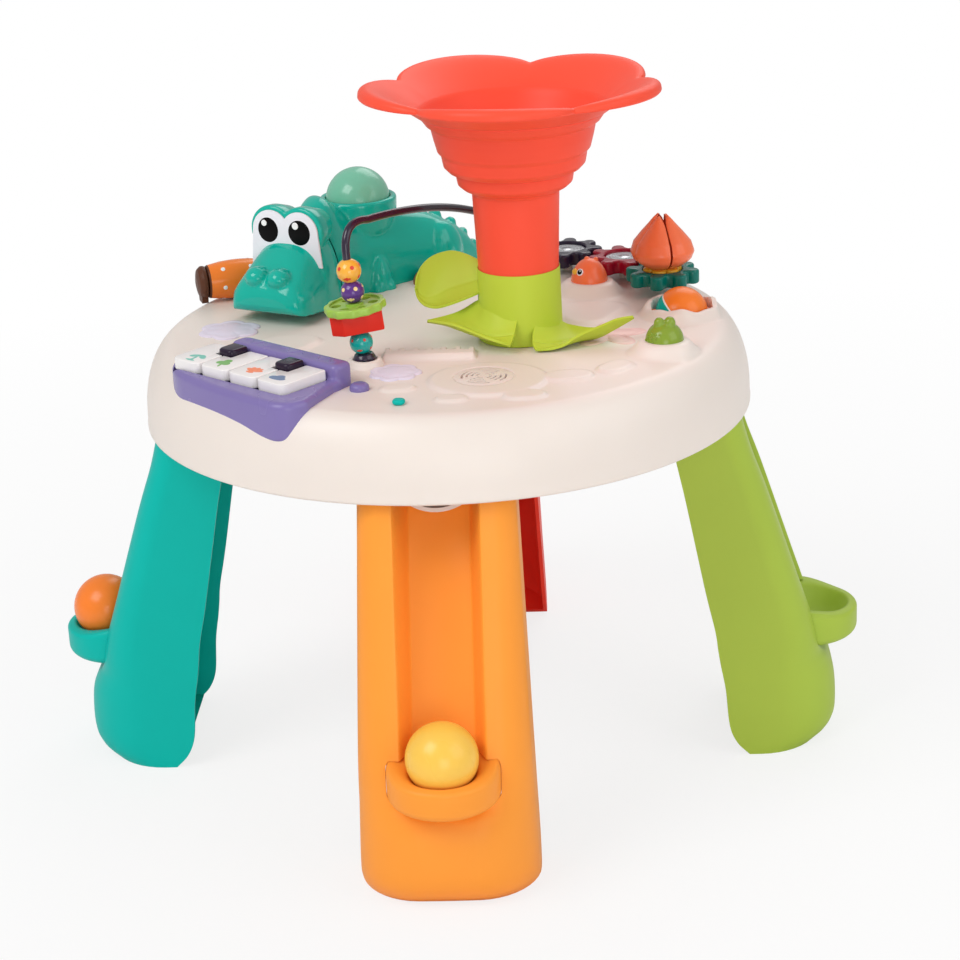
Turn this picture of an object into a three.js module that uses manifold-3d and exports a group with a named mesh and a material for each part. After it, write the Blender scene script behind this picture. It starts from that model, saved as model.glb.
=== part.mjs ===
// A child's musical activity table: a round shell on four slide legs, with toys on its top.
// Millimetres, Z up. The origin is the floor point under the middle of the table.
// The front leg points to -Y, the right leg to +X.
import * as THREE from 'three';
import { mergeVertices } from 'three/addons/utils/BufferGeometryUtils.js';
import Module from 'manifold-3d';

const wasm = await Module();
wasm.setup();

// Clearances, walls and cuts that every piece shares
const gap = 0.3;
const overrun = 6;
const shellWall = 3;

// The balls that roll down the legs
const ballDiameter = 50;
const channelPlay = 2;

// Table shell
const tableRadius = 225;
const tableHeight = 330;
const shellHeight = 58;
const tableBottom = tableHeight - shellHeight;
const bandHeight = 10;
const shoulderRun = 23;
const shoulderSteps = 4;
const tableSides = 32;

// Table base: tray, ball well and the chutes from the well to the legs
const trayRise = 4;
const lipHeight = 5;
const lipPlay = 0.8;
const wellWall = 2.5;
const wellDrop = 10;
const chuteWall = 3;
const chuteFall = 10;
const chuteMouthInset = 30;
const chuteMouthRadius = tableRadius - chuteMouthInset;
const chuteMouthDrop = 13;
const chuteMouthHeight = tableBottom - chuteMouthDrop;
const chuteWallRise = 8;
const chuteSteps = 6;
const screwBossRadius = 5;
const screwHoleRadius = 1.5;
const screwBossInset = 20;
const screwBossCircle = tableRadius - screwBossInset;
const screwBossCount = 8;

// Legs
const legTopGap = 0.3;
const legInset = 13;
const legDepthTop = 52.5;
const legSplay = 61;
const legDepthFoot = 64;
const legOuterTop = tableRadius - legInset;
const legInnerTop = legOuterTop - legDepthTop;
const legOuterFoot = tableRadius + legSplay;
const legInnerFoot = legOuterFoot - legDepthFoot;
const legTopWidth = 108;
const legFootWidth = 126;
const legWall = 3;
const legSole = 4;
const slideDepthTop = 38;
const slideDish = 4;
const railCorner = 14;
const legCrown = 3;
const shoeCorner = 42;
// Levels of a leg: height, inner edge, outer face, slide depth and corner, from foot to top
const legLevelShares = [
  [0, 0.97, 0.8, 0, 1],
  [0.036, 0.82, 0.94, 0, 1],
  [0.087, 0.73, 1, 0, 1],
  [0.185, 0.69, 0.985, 0, 1],
  [0.235, 0.655, 0.915, 0, 0.85],
  [0.265, 0.63, 0.84, 0.1, 0.6],
  [0.31, 0.6, 0.8, 0.28, 0.45],
  [0.37, 0.565, 0.745, 0.42, 0.35],
  [0.49, 0.45, 0.6, 0.58, 0.25],
  [0.74, 0.24, 0.3, 0.8, 0.15],
  [0.87, 0.12, 0.13, 0.92, 0.1],
  [1, 0.02, 0, 1, 0.1],
];
// Which of those levels shape the hollow inside
const legHollowLevels = [1, 2, 3, 5, 6, 7, 8, 10, 11];
const tongueWidth = 12;
const tongueThick = 3;
const tongueHeight = 9;
const tonguePlay = 0.4;

// Cups at the foot of the slides
const cupWidth = 78;
const cupOverhang = 21;
const cupRoot = 24;
const cupReach = legOuterFoot + cupOverhang;
const cupBack = legOuterFoot - cupRoot;
const cupTop = 99;
const cupHeight = 24;
const cupRound = 8;
const cupWall = 7;
const cupFloor = 3;
const cupLip = 2.2;
const cupSteps = 4;
// Levels of the cup's outside: how far its plan draws in, and how far up the round edge that is
const cupRoundShares = [
  [1, 0],
  [0.3, 0.3],
  [0, 1],
];
const ballNoseDistance = 31.2;
const ballSeatRadius = cupReach - ballNoseDistance;
const ballSeatRise = 11.2;
const ballSeatHeight = cupTop + ballSeatRise;

// Flower: a five-petalled bowl on a stepped cone and a tube
const flowerX = 57;
const flowerY = -33;
const flowerRise = 190;
const flowerTop = tableHeight + flowerRise;
const petalCount = 5;
const petalTipRadius = 109;
const petalNotchRadius = 90;
const petalRimDrop = 9;
const petalTurn = 262.5;
const bowlWall = 2.6;
const bowlDepth = 22;
const bowlBottom = flowerTop - bowlDepth;
const bowlBottomRadius = 70;
const coneRadii = [70, 60, 52.5, 44, 36.5, 32];
const coneDrops = [0, 11, 31, 41, 51, 59];
const coneHeights = coneDrops.map((drop) => bowlBottom - drop);
const coneStep = 2.2;
const tubeTopRadius = 31.5;
const tubeRadius = 29;
const tubeRise = 48;
const tubeBottom = tableHeight + tubeRise;
const tubeWall = 2.4;
const spigotRadius = 27.5;
const spigotSink = 7;
const spigotBottom = tableHeight - spigotSink;
const flowerSides = 30;

// Leaf collar round the tube
const collarRadius = 30.6;
const collarHeight = 47;
const collarPlay = 0.6;
const collarSides = 24;
const leafThick = 2.4;
const leafRings = 4;
const leafRows = 3;
// Leaves: turn about the tube, height of the root and of the tip, reach from the tube's middle line,
// width to the left and right of the midrib and how far each of those edges curls up
const leafSpan = 80;
const leafShares = [
  {
    turn: 237.7, root: 0.2125, tip: 0.0375, reach: 0.6725,
    left: 0.2925, right: 0.55, leftCurl: 0.075, rightCurl: 0.2125, oval: false,
  },
  {
    turn: 301.4, root: 0.1625, tip: 0.025, reach: 0.80375,
    left: 0.695, right: 0.2625, leftCurl: 0.225, rightCurl: 0.0375, oval: false,
  },
  {
    turn: 172, root: 0.35, tip: 0.3, reach: 0.95,
    left: 0.1875, right: 0.1625, leftCurl: 0.025, rightCurl: 0.475, oval: true,
  },
];
const fanWidthShares = [0.35, 0.6, 0.8, 0.94, 1];
const ovalWidthShares = [0.5, 0.85, 1, 0.9, 0.45];

// Ball guide: the turning cup under the tube
const guideRadius = 36;
const guideWall = 2.4;
const guideMouthWidth = 52;
const guideFloorDrop = 7;

// Crocodile
const crocX = -71.5;
const crocY = 125;
const crocHeading = 39;
const crocWall = 3;
const seatRimRise = 70.6;
const seatRimHeight = tableHeight + seatRimRise;
const seatRimRadius = 30.4;
const seatPlay = 1.6;
const seatSink = 2.6;
const crocLength = 170;
const crocWidth = 52;
const crocHeight = 75;
// Stations of the body: place along it, side shift, half width, height
const bodyStationShares = [
  [-0.38, -0.11, 0.95, 0.93],
  [-0.306, -0.088, 1.1, 1],
  [-0.21, -0.04, 1.14, 0.95],
  [-0.1, -0.01, 1.08, 0.76],
  [0.1, 0, 1, 0.7],
  [0.23, 0, 0.9, 0.7],
  [0.36, 0, 0.9, 0.62],
  [0.48, -0.01, 0.75, 0.5],
  [0.565, -0.02, 0.5, 0.33],
  [0.635, -0.035, 0.2, 0.12],
];
const bodyArcSteps = 7;
const footRadius = 12;
const footHeight = 28;
const footReach = 19;
// Feet: place along the body and side, as shares of the length and of the reach
const footPlaceShares = [
  [0.06, 1],
  [0.06, -1],
  [0.42, 1],
  [0.42, -1],
];
const scaleRadius = 6;
const scaleSink = 1.5;
// Ridge scales: station along the body and height above the table
const scalePlaceShares = [
  [0.28, 0, 0.68],
  [0.39, 0, 0.62],
  [0.49, -0.01, 0.5],
  [0.56, -0.02, 0.36],
];

// Crocodile head
const headX = -118;
const headY = 48;
const headHeading = 244.5;
const headLength = 76;
const headWidth = 68;
const headHeight = 84;
const headLift = 5;
const headBack = 33;
// Head stations: place along it, half width, bottom, top, and squareness of the corners
const headStationShares = [
  [0, 0.56, 0.06, 0.72, 0.3],
  [0.06, 0.78, 0.02, 0.9, 0.4],
  [0.22, 0.94, 0, 1, 0.45],
  [0.38, 0.96, 0, 0.97, 0.5],
  [0.47, 0.94, 0, 0.62, 0.5],
  [0.58, 0.93, 0, 0.5, 0.6],
  [0.74, 0.97, 0, 0.46, 0.65],
  [0.88, 0.97, 0, 0.44, 0.65],
  [0.97, 0.84, 0.03, 0.36, 0.6],
  [1, 0.62, 0.08, 0.26, 0.5],
];
const headArcSteps = 8;
const headHollowWall = 3;
const eyeRadius = 16.5;
const eyeSpread = 14;
const eyeRise = 62;
const eyeDeep = 24;
const eyeFront = 37;
const eyeBevel = 2;
const eyePlateThick = 1.4;
const nostrilRadius = 8;
const nostrilSpread = 15;
const nostrilRise = 33;
const nostrilPlace = 66;

// Bead wire and its beads
const wireX = -52.8;
const wireY = -92;
const wireRadius = 2.9;
const wireLean = 6.2;
const wireStraight = 82;
const wireBendRadius = 24;
const wireTopRise = 111;
const wireTopHeight = tableHeight + wireTopRise;
const wireBackX = 58;
const wireBackY = 82;
const wireBackRise = 58;
const wireBackHeight = tableHeight + wireBackRise;
const wireFootDepth = 6;
const wireSteps = 20;
const wireSides = 6;
const wireCapRadius = 6.6;
const wireCapHeight = 8.5;
const beadBoreRadius = 3.5;
const tealBeadRadius = 7.4;
const blockWidth = 38;
const blockDepth = 24;
const blockHeight = 15;
const blockTaper = 3;
const wheelRadius = 21.5;
const wheelThick = 7;
const wheelDish = 2;
const wheelHoleCount = 6;
const wheelHoleRadius = 3.6;
const wheelHoleCircle = 13.6;
const purpleBeadRadius = 8.2;
const yellowBeadRadius = 8.8;

// Keyboard
const keyboardX = -128;
const keyboardY = -128;
const keyboardTurn = -40;
const keyboardLength = 142;
const keyboardWidth = 80;
const keyboardSkirtDrop = 27;
const keyboardSkirtHeight = tableHeight - keyboardSkirtDrop;
const keyboardRimRise = 7;
const keyboardRimHeight = tableHeight + keyboardRimRise;
const keyboardBarRise = 17;
const keyboardBarHeight = tableHeight + keyboardBarRise;
const keyboardBarWidth = 19;
const keyboardBarRadius = 7;
const keyboardPocketRise = 3;
const keyboardPocketFloor = tableHeight + keyboardPocketRise;
const keyCount = 4;
const keyPitch = 28.6;
const keyGap = 1;
const keyLength = 42;
const keyRise = 14;
const keyTop = tableHeight + keyRise;
const keyCorner = 4;
const keySlope = 0.5;
const keyTravel = 2.4;
const keyRowShift = -5;
const darkKeyWidth = 15;
const darkKeyLength = 17;
const darkKeyRise = 4;

// Buttons and the roller
const fishX = 108;
const fishY = 79;
const fishRadius = 14.5;
const fishHeight = 20;
const frogX = 160;
const frogY = -85;
const frogRadius = 13.5;
const frogHeight = 20;
const frogEyeRadius = 5;
const frogEyeSpread = 6;
const buttonSkirt = 6;
const buttonFlange = 2;
const buttonTravel = 3;
const buttonSides = 16;
const moundRise = 9;
const moundRun = 7;
const rollerX = 176;
const rollerY = 10;
const rollerRadius = 19;
const rollerWidth = 38;
const rollerRise = 1;
const rollerPlay = 1;
const rollerRimRise = 8;
const rollerRimSides = 16;
const rollerAxleRadius = 3;
const rollerAxleLength = 5;

// Gear train
const gearX = 164;
const gearY = 68;
const gearPitch = 53;
const gearTurns = [122.5, 148];
const gearLobes = 8;
const gearBodyRadius = 20;
const gearLobeRadius = 5;
const gearTipRadius = 28.2;
const gearHeight = 11;
const gearRise = 5;
const gearBottom = tableHeight + gearRise;
const gearBoreRadius = 5;
const gearRecessRadius = 14.5;
const gearRecessDepth = 3;
const gearPostPlay = 0.4;
const gearPadRadius = 11;
const gearDiscRadius = 14;
const gearDiscThick = 1.8;
const calyxRadius = 15;
const calyxHeight = 6.5;
const budRadius = 25;
const budHeight = 41;
const budPetals = 6;
const budGroove = 2.4;
// Bud outline from the calyx up: height and radius
const budOutlineShares = [
  [0, 0.42],
  [0.06, 0.68],
  [0.18, 0.92],
  [0.32, 1],
  [0.5, 0.95],
  [0.68, 0.75],
  [0.85, 0.45],
  [1, 0.12],
];

// Barrel roller at the back left
const barrelX = -168;
const barrelY = 92;
const barrelTurn = 20;
const barrelRadius = 13;
const barrelLength = 46;
const barrelBulge = 2;
const barrelCapLength = 8;
const barrelPinRadius = 3;
const barrelPostThick = 5;
const barrelPostWidth = 11;
const barrelPostPlay = 0.6;
const barrelPostSides = 10;

// Small dome behind the left leaf
const domeX = -19;
const domeY = 116;
const domeRadius = 12;
const domeHeight = 12;

// Mode switch
const switchX = -23;
const switchInset = 42;
const switchY = switchInset - tableRadius;
const switchRadius = 4;
const switchRise = 6;
const switchTravel = 8;
const switchTurn = -7;
const switchFlange = 2;

// Speaker, grille and electronics inside the table
const speakerX = 33;
const speakerY = -133;
const speakerRadius = 26;
const speakerDepth = 14;
const grilleRings = [8, 13, 18];
const grilleSlot = 2;
const grilleArcs = 4;
const grilleBridge = 14;
const speakerDiscRadius = 46;
const speakerDiscRise = 1.6;
const boardX = 112;
const boardY = -112;
const boardLength = 60;
const boardWidth = 42;
const boardThick = 1.6;
const boardPostRadius = 3;
const boardRise = 8;
const boxX = -100;
const boxY = -100;
const boxTurn = -45;
const boxLength = 58;
const boxWidth = 50;
const boxHeight = 19;
const boxWall = 2;
const batteryCount = 3;
const batteryDiameter = 14.2;
const batteryLength = 50;
const doorMargin = 4;
const doorThick = 2.5;
const doorPinRadius = 0.7;
const doorPinReach = 2;

// Low reliefs moulded on the table top
const reliefRise = 1.6;
const reliefSides = 7;
const castleX = -8;
const castleY = -88;
const castleLength = 62;
const castleWidth = 12;
const castleTeeth = 6;
const bloomX = -28;
const bloomY = -130;
const starX = -168;
const starY = -30;
const bloomRadius = 20;
const starRadius = 26;
const pebbleRadius = 13;
// Pebble places on the top, as shares of the table radius, with a size share
const pebblePlaceShares = [
  [0.06, -0.76, 1],
  [0.46, -0.66, 1.5],
  [0.6, -0.6, 1.1],
  [0.74, -0.24, 1.2],
];

const ballRadius = ballDiameter / 2;
const channelRadius = ballRadius + channelPlay;
const bandTop = tableBottom + bandHeight;
const trayBottom = tableBottom + trayRise;
const trayTop = trayBottom + shellWall;
const legTop = trayBottom - legTopGap;
const barrelRise = tableHeight + barrelRadius + barrelBulge + 2 * gap;
const wellRadius = guideRadius + channelPlay;
const wellFloor = chuteMouthHeight + chuteFall;
const degree = Math.PI / 180;

// Solids

/** A closed geometry as a solid, faces out, with doubled points merged. */
function solid(geometry) {
  const plain = geometry.clone();
  for (const name of Object.keys(plain.attributes)) {
    if (name !== 'position') plain.deleteAttribute(name);
  }
  const merged = mergeVertices(plain, gap / 1000);
  const points = merged.attributes.position.array;
  const corners = [];
  for (let i = 0; i < merged.index.count; i += 3) {
    const [a, b, c] = [0, 1, 2].map((k) => merged.index.getX(i + k));
    if (a !== b && b !== c && c !== a) corners.push(a, b, c);
  }
  const triangles = signedVolume(points, corners) < 0 ? corners.reverse() : corners;
  return new wasm.Manifold(new wasm.Mesh({
    numProp: 3,
    vertProperties: new Float32Array(points),
    triVerts: new Uint32Array(triangles),
  }));
}

/** Six times the volume inside the triangles, below zero where the faces point in. */
function signedVolume(points, corners) {
  const at = (i) => new THREE.Vector3(points[3 * i], points[3 * i + 1], points[3 * i + 2]);
  let total = 0;
  for (let i = 0; i < corners.length; i += 3) {
    total += at(corners[i]).dot(at(corners[i + 1]).cross(at(corners[i + 2])));
  }
  return total;
}

/** The solid as a geometry for a mesh. */
function geometryOf(body) {
  const mesh = body.getMesh();
  const geometry = new THREE.BufferGeometry();
  const places = new Float32Array(mesh.numVert * 3);
  for (let i = 0; i < mesh.numVert; i += 1) {
    for (let k = 0; k < 3; k += 1) places[3 * i + k] = mesh.vertProperties[i * mesh.numProp + k];
  }
  geometry.setAttribute('position', new THREE.BufferAttribute(places, 3));
  geometry.setIndex(new THREE.BufferAttribute(new Uint32Array(mesh.triVerts), 1));
  geometry.computeVertexNormals();
  return geometry;
}

function join(first, ...rest) {
  return rest.reduce((all, next) => all.add(next), first);
}

function cut(first, ...rest) {
  return rest.reduce((left, next) => left.subtract(next), first);
}

/** A round solid about Z from [radius, height] points that start and end on the axis or close. */
function turned(points, sides) {
  const profile = points.map(([r, z]) => new THREE.Vector2(r, z));
  return solid(new THREE.LatheGeometry(profile, sides).rotateX(Math.PI / 2));
}

/** A ring-shaped solid about Z whose profile closes on itself. */
function turnedRing(points, sides) {
  return turned([...points, points[0]], sides);
}

function cylinder(radius, bottom, top, sides) {
  return turned([[0, bottom], [radius, bottom], [radius, top], [0, top]], sides);
}

function tube(inner, outer, bottom, top, sides) {
  return turnedRing([[inner, bottom], [outer, bottom], [outer, top], [inner, top]], sides);
}

function ball(radius, sides) {
  return solid(new THREE.SphereGeometry(radius, sides, Math.round(sides / 2)).rotateX(Math.PI / 2));
}

/** An outline in XY raised from bottom to top. */
function raised(shape, bottom, top, steps) {
  const options = { depth: top - bottom, bevelEnabled: false, curveSegments: steps };
  return solid(new THREE.ExtrudeGeometry(shape, options)).translate([0, 0, bottom]);
}

/** An outline in XY raised from bottom to top, with its upper edge rounded. */
function softRaised(shape, bottom, top, round, steps) {
  const options = {
    depth: top - bottom - 2 * round,
    bevelEnabled: true,
    bevelThickness: round,
    bevelSize: round,
    bevelOffset: -round,
    bevelSegments: 1,
    curveSegments: steps,
  };
  return solid(new THREE.ExtrudeGeometry(shape, options)).translate([0, 0, bottom + round]);
}

function box(x0, x1, y0, y1, z0, z1) {
  const form = new THREE.BoxGeometry(x1 - x0, y1 - y0, z1 - z0);
  return solid(form.translate((x0 + x1) / 2, (y0 + y1) / 2, (z0 + z1) / 2));
}

/** A solid through rings of points, each with as many points, closed by a face at both ends. */
function loft(rings) {
  const count = rings[0].length;
  const points = rings.flat();
  const corners = [];
  for (let i = 0; i + 1 < rings.length; i += 1) {
    for (let k = 0; k < count; k += 1) {
      const next = (k + 1) % count;
      const [a, b, c, d] = [i * count + k, i * count + next, (i + 1) * count + next, (i + 1) * count + k];
      corners.push(a, b, c, a, c, d);
    }
  }
  for (const [ring, start] of [[rings[0], 0], [rings[rings.length - 1], (rings.length - 1) * count]]) {
    const flat = flatFace(ring);
    for (const [a, b, c] of THREE.ShapeUtils.triangulateShape(flat, [])) {
      corners.push(...(start === 0 ? [start + a, start + c, start + b] : [start + a, start + b, start + c]));
    }
  }
  const geometry = new THREE.BufferGeometry();
  const places = new Float32Array(points.flatMap((p) => [p.x, p.y, p.z]));
  geometry.setAttribute('position', new THREE.BufferAttribute(places, 3));
  geometry.setIndex(corners);
  return solid(geometry);
}

/** The ring's points in a plane of its own, going round anticlockwise as the ring does. */
function flatFace(ring) {
  const normal = new THREE.Vector3();
  ring.forEach((p, i) => normal.add(p.clone().cross(ring[(i + 1) % ring.length])));
  normal.normalize();
  const side = Math.abs(normal.z) < Math.SQRT1_2 ? new THREE.Vector3(0, 0, 1) : new THREE.Vector3(1, 0, 0);
  const u = side.cross(normal).normalize();
  const v = normal.clone().cross(u);
  return ring.map((p) => new THREE.Vector2(p.dot(u), p.dot(v)));
}

/** The number between two ends at a share of the way. */
function between(start, end, share) {
  return start + (end - start) * share;
}

function vector(x, y, z) {
  return new THREE.Vector3(x, y, z);
}

// Table shell

/** Outline of the table's outside from the top of the band to the flat top, grown by a clearance. */
function shoulder(grown) {
  const points = [];
  for (let i = 0; i <= shoulderSteps; i += 1) {
    const angle = (Math.PI / 2) * (i / shoulderSteps);
    points.push([
      tableRadius - shoulderRun + (shoulderRun + grown) * Math.cos(angle),
      bandTop + (tableHeight - bandTop + grown) * Math.sin(angle),
    ]);
  }
  return points;
}

/** The space that the table fills, grown by a clearance, for seating toys on its top. */
function tableBulk(grown) {
  const skirt = [tableRadius + grown, tableBottom - overrun];
  return turned([[0, skirt[1]], skirt, ...shoulder(grown), [0, tableHeight + grown]], tableSides);
}

/** The stops of a turned toy hole: a raised ring mound round a hole. */
function mound(x, y, radius, rise) {
  const outer = radius + moundRun;
  return turned([
    [0, tableHeight - shellWall],
    [outer + moundRun, tableHeight - shellWall],
    [outer + moundRun, tableHeight],
    [outer, tableHeight + rise * 0.7],
    [radius + 2 * shellWall / 3, tableHeight + rise],
    [0, tableHeight + rise],
  ], 16).translate([x, y, 0]);
}

function gearCentres() {
  const centres = [[gearX, gearY]];
  for (const turn of gearTurns) {
    const [x, y] = centres[centres.length - 1];
    centres.push([x + gearPitch * Math.cos(turn * degree), y + gearPitch * Math.sin(turn * degree)]);
  }
  return centres;
}

/** The pad and post that carry one gear. */
function gearPost(x, y) {
  const top = gearBottom + gearHeight - gearRecessDepth - gap;
  return join(
    cylinder(gearPadRadius, tableHeight - shellWall, gearBottom - gap, 12),
    cylinder(gearBoreRadius - gearPostPlay, tableHeight - shellWall, top, 10),
  ).translate([x, y, 0]);
}

/** Curved slots in rings over the speaker. */
function grilleSlots() {
  const slots = [];
  for (const radius of grilleRings) {
    for (let arc = 0; arc < grilleArcs; arc += 1) {
      const start = (360 / grilleArcs) * arc + grilleBridge / 2;
      const end = start + 360 / grilleArcs - grilleBridge;
      const shape = new THREE.Shape();
      shape.absarc(0, 0, radius + grilleSlot / 2, start * degree, end * degree, false);
      shape.absarc(0, 0, radius - grilleSlot / 2, end * degree, start * degree, true);
      slots.push(raised(shape, tableHeight - shellWall - overrun, tableHeight + overrun, 3));
    }
  }
  return join(...slots).translate([speakerX, speakerY, 0]);
}

/** A flat outline with round lobes about its middle. */
function lobedShape(radius, lobes, depthShare, sides) {
  const points = [];
  for (let i = 0; i < sides; i += 1) {
    const angle = (2 * Math.PI * i) / sides;
    const r = radius * (1 - depthShare * (0.5 - 0.5 * Math.cos(lobes * angle)));
    points.push(new THREE.Vector2(r * Math.cos(angle), r * Math.sin(angle)));
  }
  return new THREE.Shape(points);
}

/** The row of battlements pressed into the sand. */
function castleShape() {
  const shape = new THREE.Shape();
  const tooth = castleLength / (2 * castleTeeth - 1);
  shape.moveTo(-castleLength / 2, -castleWidth / 2);
  shape.lineTo(castleLength / 2, -castleWidth / 2);
  for (let i = 0; i < castleTeeth; i += 1) {
    const right = castleLength / 2 - 2 * tooth * i;
    shape.lineTo(right, castleWidth / 2);
    shape.lineTo(right - tooth, castleWidth / 2);
    if (i + 1 < castleTeeth) shape.lineTo(right - tooth, castleWidth / 4);
    if (i + 1 < castleTeeth) shape.lineTo(right - 2 * tooth, castleWidth / 4);
  }
  return shape;
}

function reliefs() {
  const low = tableHeight - shellWall / 2;
  const high = tableHeight + reliefRise;
  const bloomShares = [0.32, 0.45];
  const pebbles = pebblePlaceShares.map(([x, y, size]) => {
    const pebble = lobedShape(pebbleRadius * size, 2, bloomShares[0], reliefSides + 1);
    return raised(pebble, low, tableHeight + reliefRise / 2, 1)
      .translate([x * tableRadius, y * tableRadius, 0]);
  });
  const bloom = lobedShape(bloomRadius, 5, bloomShares[0], 2 * reliefSides);
  const star = lobedShape(starRadius, 5, bloomShares[1], 2 * reliefSides);
  const disc = lobedShape(speakerDiscRadius, 2, bloomShares[0] / 3, 2 * reliefSides);
  return join(
    raised(castleShape(), low, high, 1).translate([castleX, castleY, 0]),
    raised(bloom, low, high, 1).translate([bloomX, bloomY, 0]),
    raised(star, low, high, 1).translate([starX, starY, 0]),
    raised(disc, low, tableHeight + speakerDiscRise, 1)
      .translate([speakerX + speakerDiscRadius / 6, speakerY - speakerDiscRadius / 6, 0]),
    ...pebbles,
  );
}

/** An oval ring of points at a height. */
function ellipseRing(halfLength, halfWidth, height) {
  return new THREE.EllipseCurve(0, 0, halfLength, halfWidth, 0, 2 * Math.PI).getPoints(rollerRimSides)
    .slice(1).map((p) => vector(p.x, p.y, height));
}

/** The wall of the opening that the roller turns in. */
function rollerRim() {
  const half = rollerWidth / 2 + rollerPlay + shellWall;
  const reach = rollerRadius + rollerPlay + shellWall;
  const rings = [[moundRun, -shellWall], [moundRun, 0], [gap, rollerRimRise]].map(([grown, rise]) => (
    ellipseRing(half + grown, reach + grown, tableHeight + rise)
  ));
  return loft(rings).translate([rollerX, rollerY, 0]);
}

/** The round space and the axle notches that the roller needs. */
function rollerSpace() {
  const centre = tableHeight + rollerRise;
  const space = rollerBody(rollerPlay);
  const notch = box(
    -rollerWidth / 2 - rollerAxleLength - gap, rollerWidth / 2 + rollerAxleLength + gap,
    -rollerAxleRadius - gearPostPlay, rollerAxleRadius + gearPostPlay,
    -overrun - shellWall - rollerRise, rollerAxleRadius + gearPostPlay,
  );
  return join(space, notch).translate([rollerX, rollerY, centre]);
}

function tableTop() {
  const inner = shoulder(-shellWall).reverse();
  const outer = shoulder(0);
  const start = bandTop + gap;
  const profile = [
    [0, tableHeight - shellWall],
    ...inner.slice(0, -1),
    [tableRadius - shellWall, start],
    [tableRadius, start],
    ...outer.slice(1),
    [0, tableHeight],
  ];
  const posts = gearCentres().map(([x, y]) => gearPost(x, y));
  const through = [tableHeight - shellWall - overrun, tableHeight + rollerRimRise + overrun];
  const hole = (x, y, radius, sides) => cylinder(radius, through[0], through[1], sides).translate([x, y, 0]);
  const sweeps = gearCentres().map(([x, y]) => (
    cylinder(gearTipRadius + 2 * gap, gearBottom - gap, through[1], buttonSides).translate([x, y, 0])
  ));
  const skin = join(
    turned(profile, tableSides),
    mound(fishX, fishY, fishRadius + gap, moundRise),
    mound(frogX, frogY, frogRadius + gap, moundRise / 2),
    rollerRim(),
    reliefs(),
  );
  return cut(
    join(cut(skin, ...sweeps), ...posts),
    hole(flowerX, flowerY, collarRadius - collarPlay + gap, collarSides),
    hole(fishX, fishY, fishRadius + gap, buttonSides),
    hole(frogX, frogY, frogRadius + gap, buttonSides),
    hole(wireX, wireY, wireRadius + 3 * gap, wireSides),
    hole(wireBackX, wireBackY, wireRadius + 3 * gap, wireSides),
    rollerSpace(),
    grilleSlots(),
    switchSlot(),
  );
}

function switchSlot() {
  const shape = new THREE.Shape();
  shape.absarc(0, 0, switchRadius + gap - switchFlange / 2, Math.PI / 2, 1.5 * Math.PI, false);
  shape.absarc(switchTravel, 0, switchRadius + gap - switchFlange / 2, -Math.PI / 2, Math.PI / 2, false);
  return raised(shape, tableHeight - shellWall - overrun, tableHeight + overrun, 6)
    .rotate([0, 0, switchTurn])
    .translate([switchX, switchY, 0]);
}

// Table base

const legTurns = { front: -90, right: 0, back: 90, left: 180 };

/** The point on a leg's centre line at a radius. */
function legPoint(turn, radius) {
  return [radius * Math.cos(turn * degree), radius * Math.sin(turn * degree)];
}

/** A U-shaped run from the well to a leg, as the ball sees it, of a given radius. */
function chuteRun(turn, radius, rise, past) {
  const [mouthX, mouthY] = legPoint(turn, chuteMouthRadius);
  const run = Math.hypot(mouthX - flowerX, mouthY - flowerY);
  const heading = Math.atan2(mouthY - flowerY, mouthX - flowerX);
  const rings = [0, run + past].map((along) => {
    const height = wellFloor + channelRadius - chuteFall * (along / run);
    const ring = [];
    for (let i = 0; i <= chuteSteps; i += 1) {
      const angle = Math.PI + (Math.PI * i) / chuteSteps;
      ring.push(vector(along, radius * Math.cos(angle), height + radius * Math.sin(angle)));
    }
    ring.push(vector(along, radius, height + rise), vector(along, -radius, height + rise));
    return ring;
  });
  return loft(rings).rotate([0, 0, heading / degree]).translate([flowerX, flowerY, 0]);
}

/** The drop from a chute's mouth into the leg's slide, cut through the tray. */
function mouthDrop(turn) {
  const reach = tableRadius - shellWall - lipPlay - shellWall - gap;
  return box(
    chuteMouthRadius, reach, -channelRadius - chuteWall - gap, channelRadius + chuteWall + gap,
    tableBottom - overrun, trayTop + lipHeight + overrun,
  ).rotate([0, 0, turn]);
}

/** The trough in which a leg's rails leave room for the chute. */
function mouthTrim(turn) {
  return box(
    chuteMouthRadius, tableRadius, -channelRadius * 2, channelRadius * 2,
    chuteMouthHeight - overrun - chuteWall, trayBottom,
  ).rotate([0, 0, turn]);
}

function bandProfile() {
  const lipOuter = tableRadius - shellWall - lipPlay;
  return [
    [0, trayBottom],
    [tableRadius - shellWall, trayBottom],
    [tableRadius - shellWall, tableBottom],
    [tableRadius, tableBottom],
    [tableRadius, bandTop],
    [lipOuter, bandTop],
    [lipOuter, bandTop + lipHeight],
    [lipOuter - shellWall, bandTop + lipHeight],
    [lipOuter - shellWall, trayTop],
    [0, trayTop],
  ];
}

/** Round columns on the screw circle, from one height to another. */
function screwColumns(radius, bottom, top) {
  const columns = [];
  for (let i = 0; i < screwBossCount; i += 1) {
    const angle = (360 / screwBossCount) * (i + 0.5) * degree;
    columns.push(
      cylinder(radius, bottom, top, 6)
        .translate([screwBossCircle * Math.cos(angle), screwBossCircle * Math.sin(angle), 0]),
    );
  }
  return join(...columns);
}

/** The open box for the batteries, as an outline grown by a wall. */
function batteryBox(grown, bottom, top) {
  const half = boxLength / 2 + grown;
  const side = boxWidth / 2 + grown;
  return box(-half, half, -side, side, bottom, top).rotate([0, 0, boxTurn]).translate([boxX, boxY, 0]);
}

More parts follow.
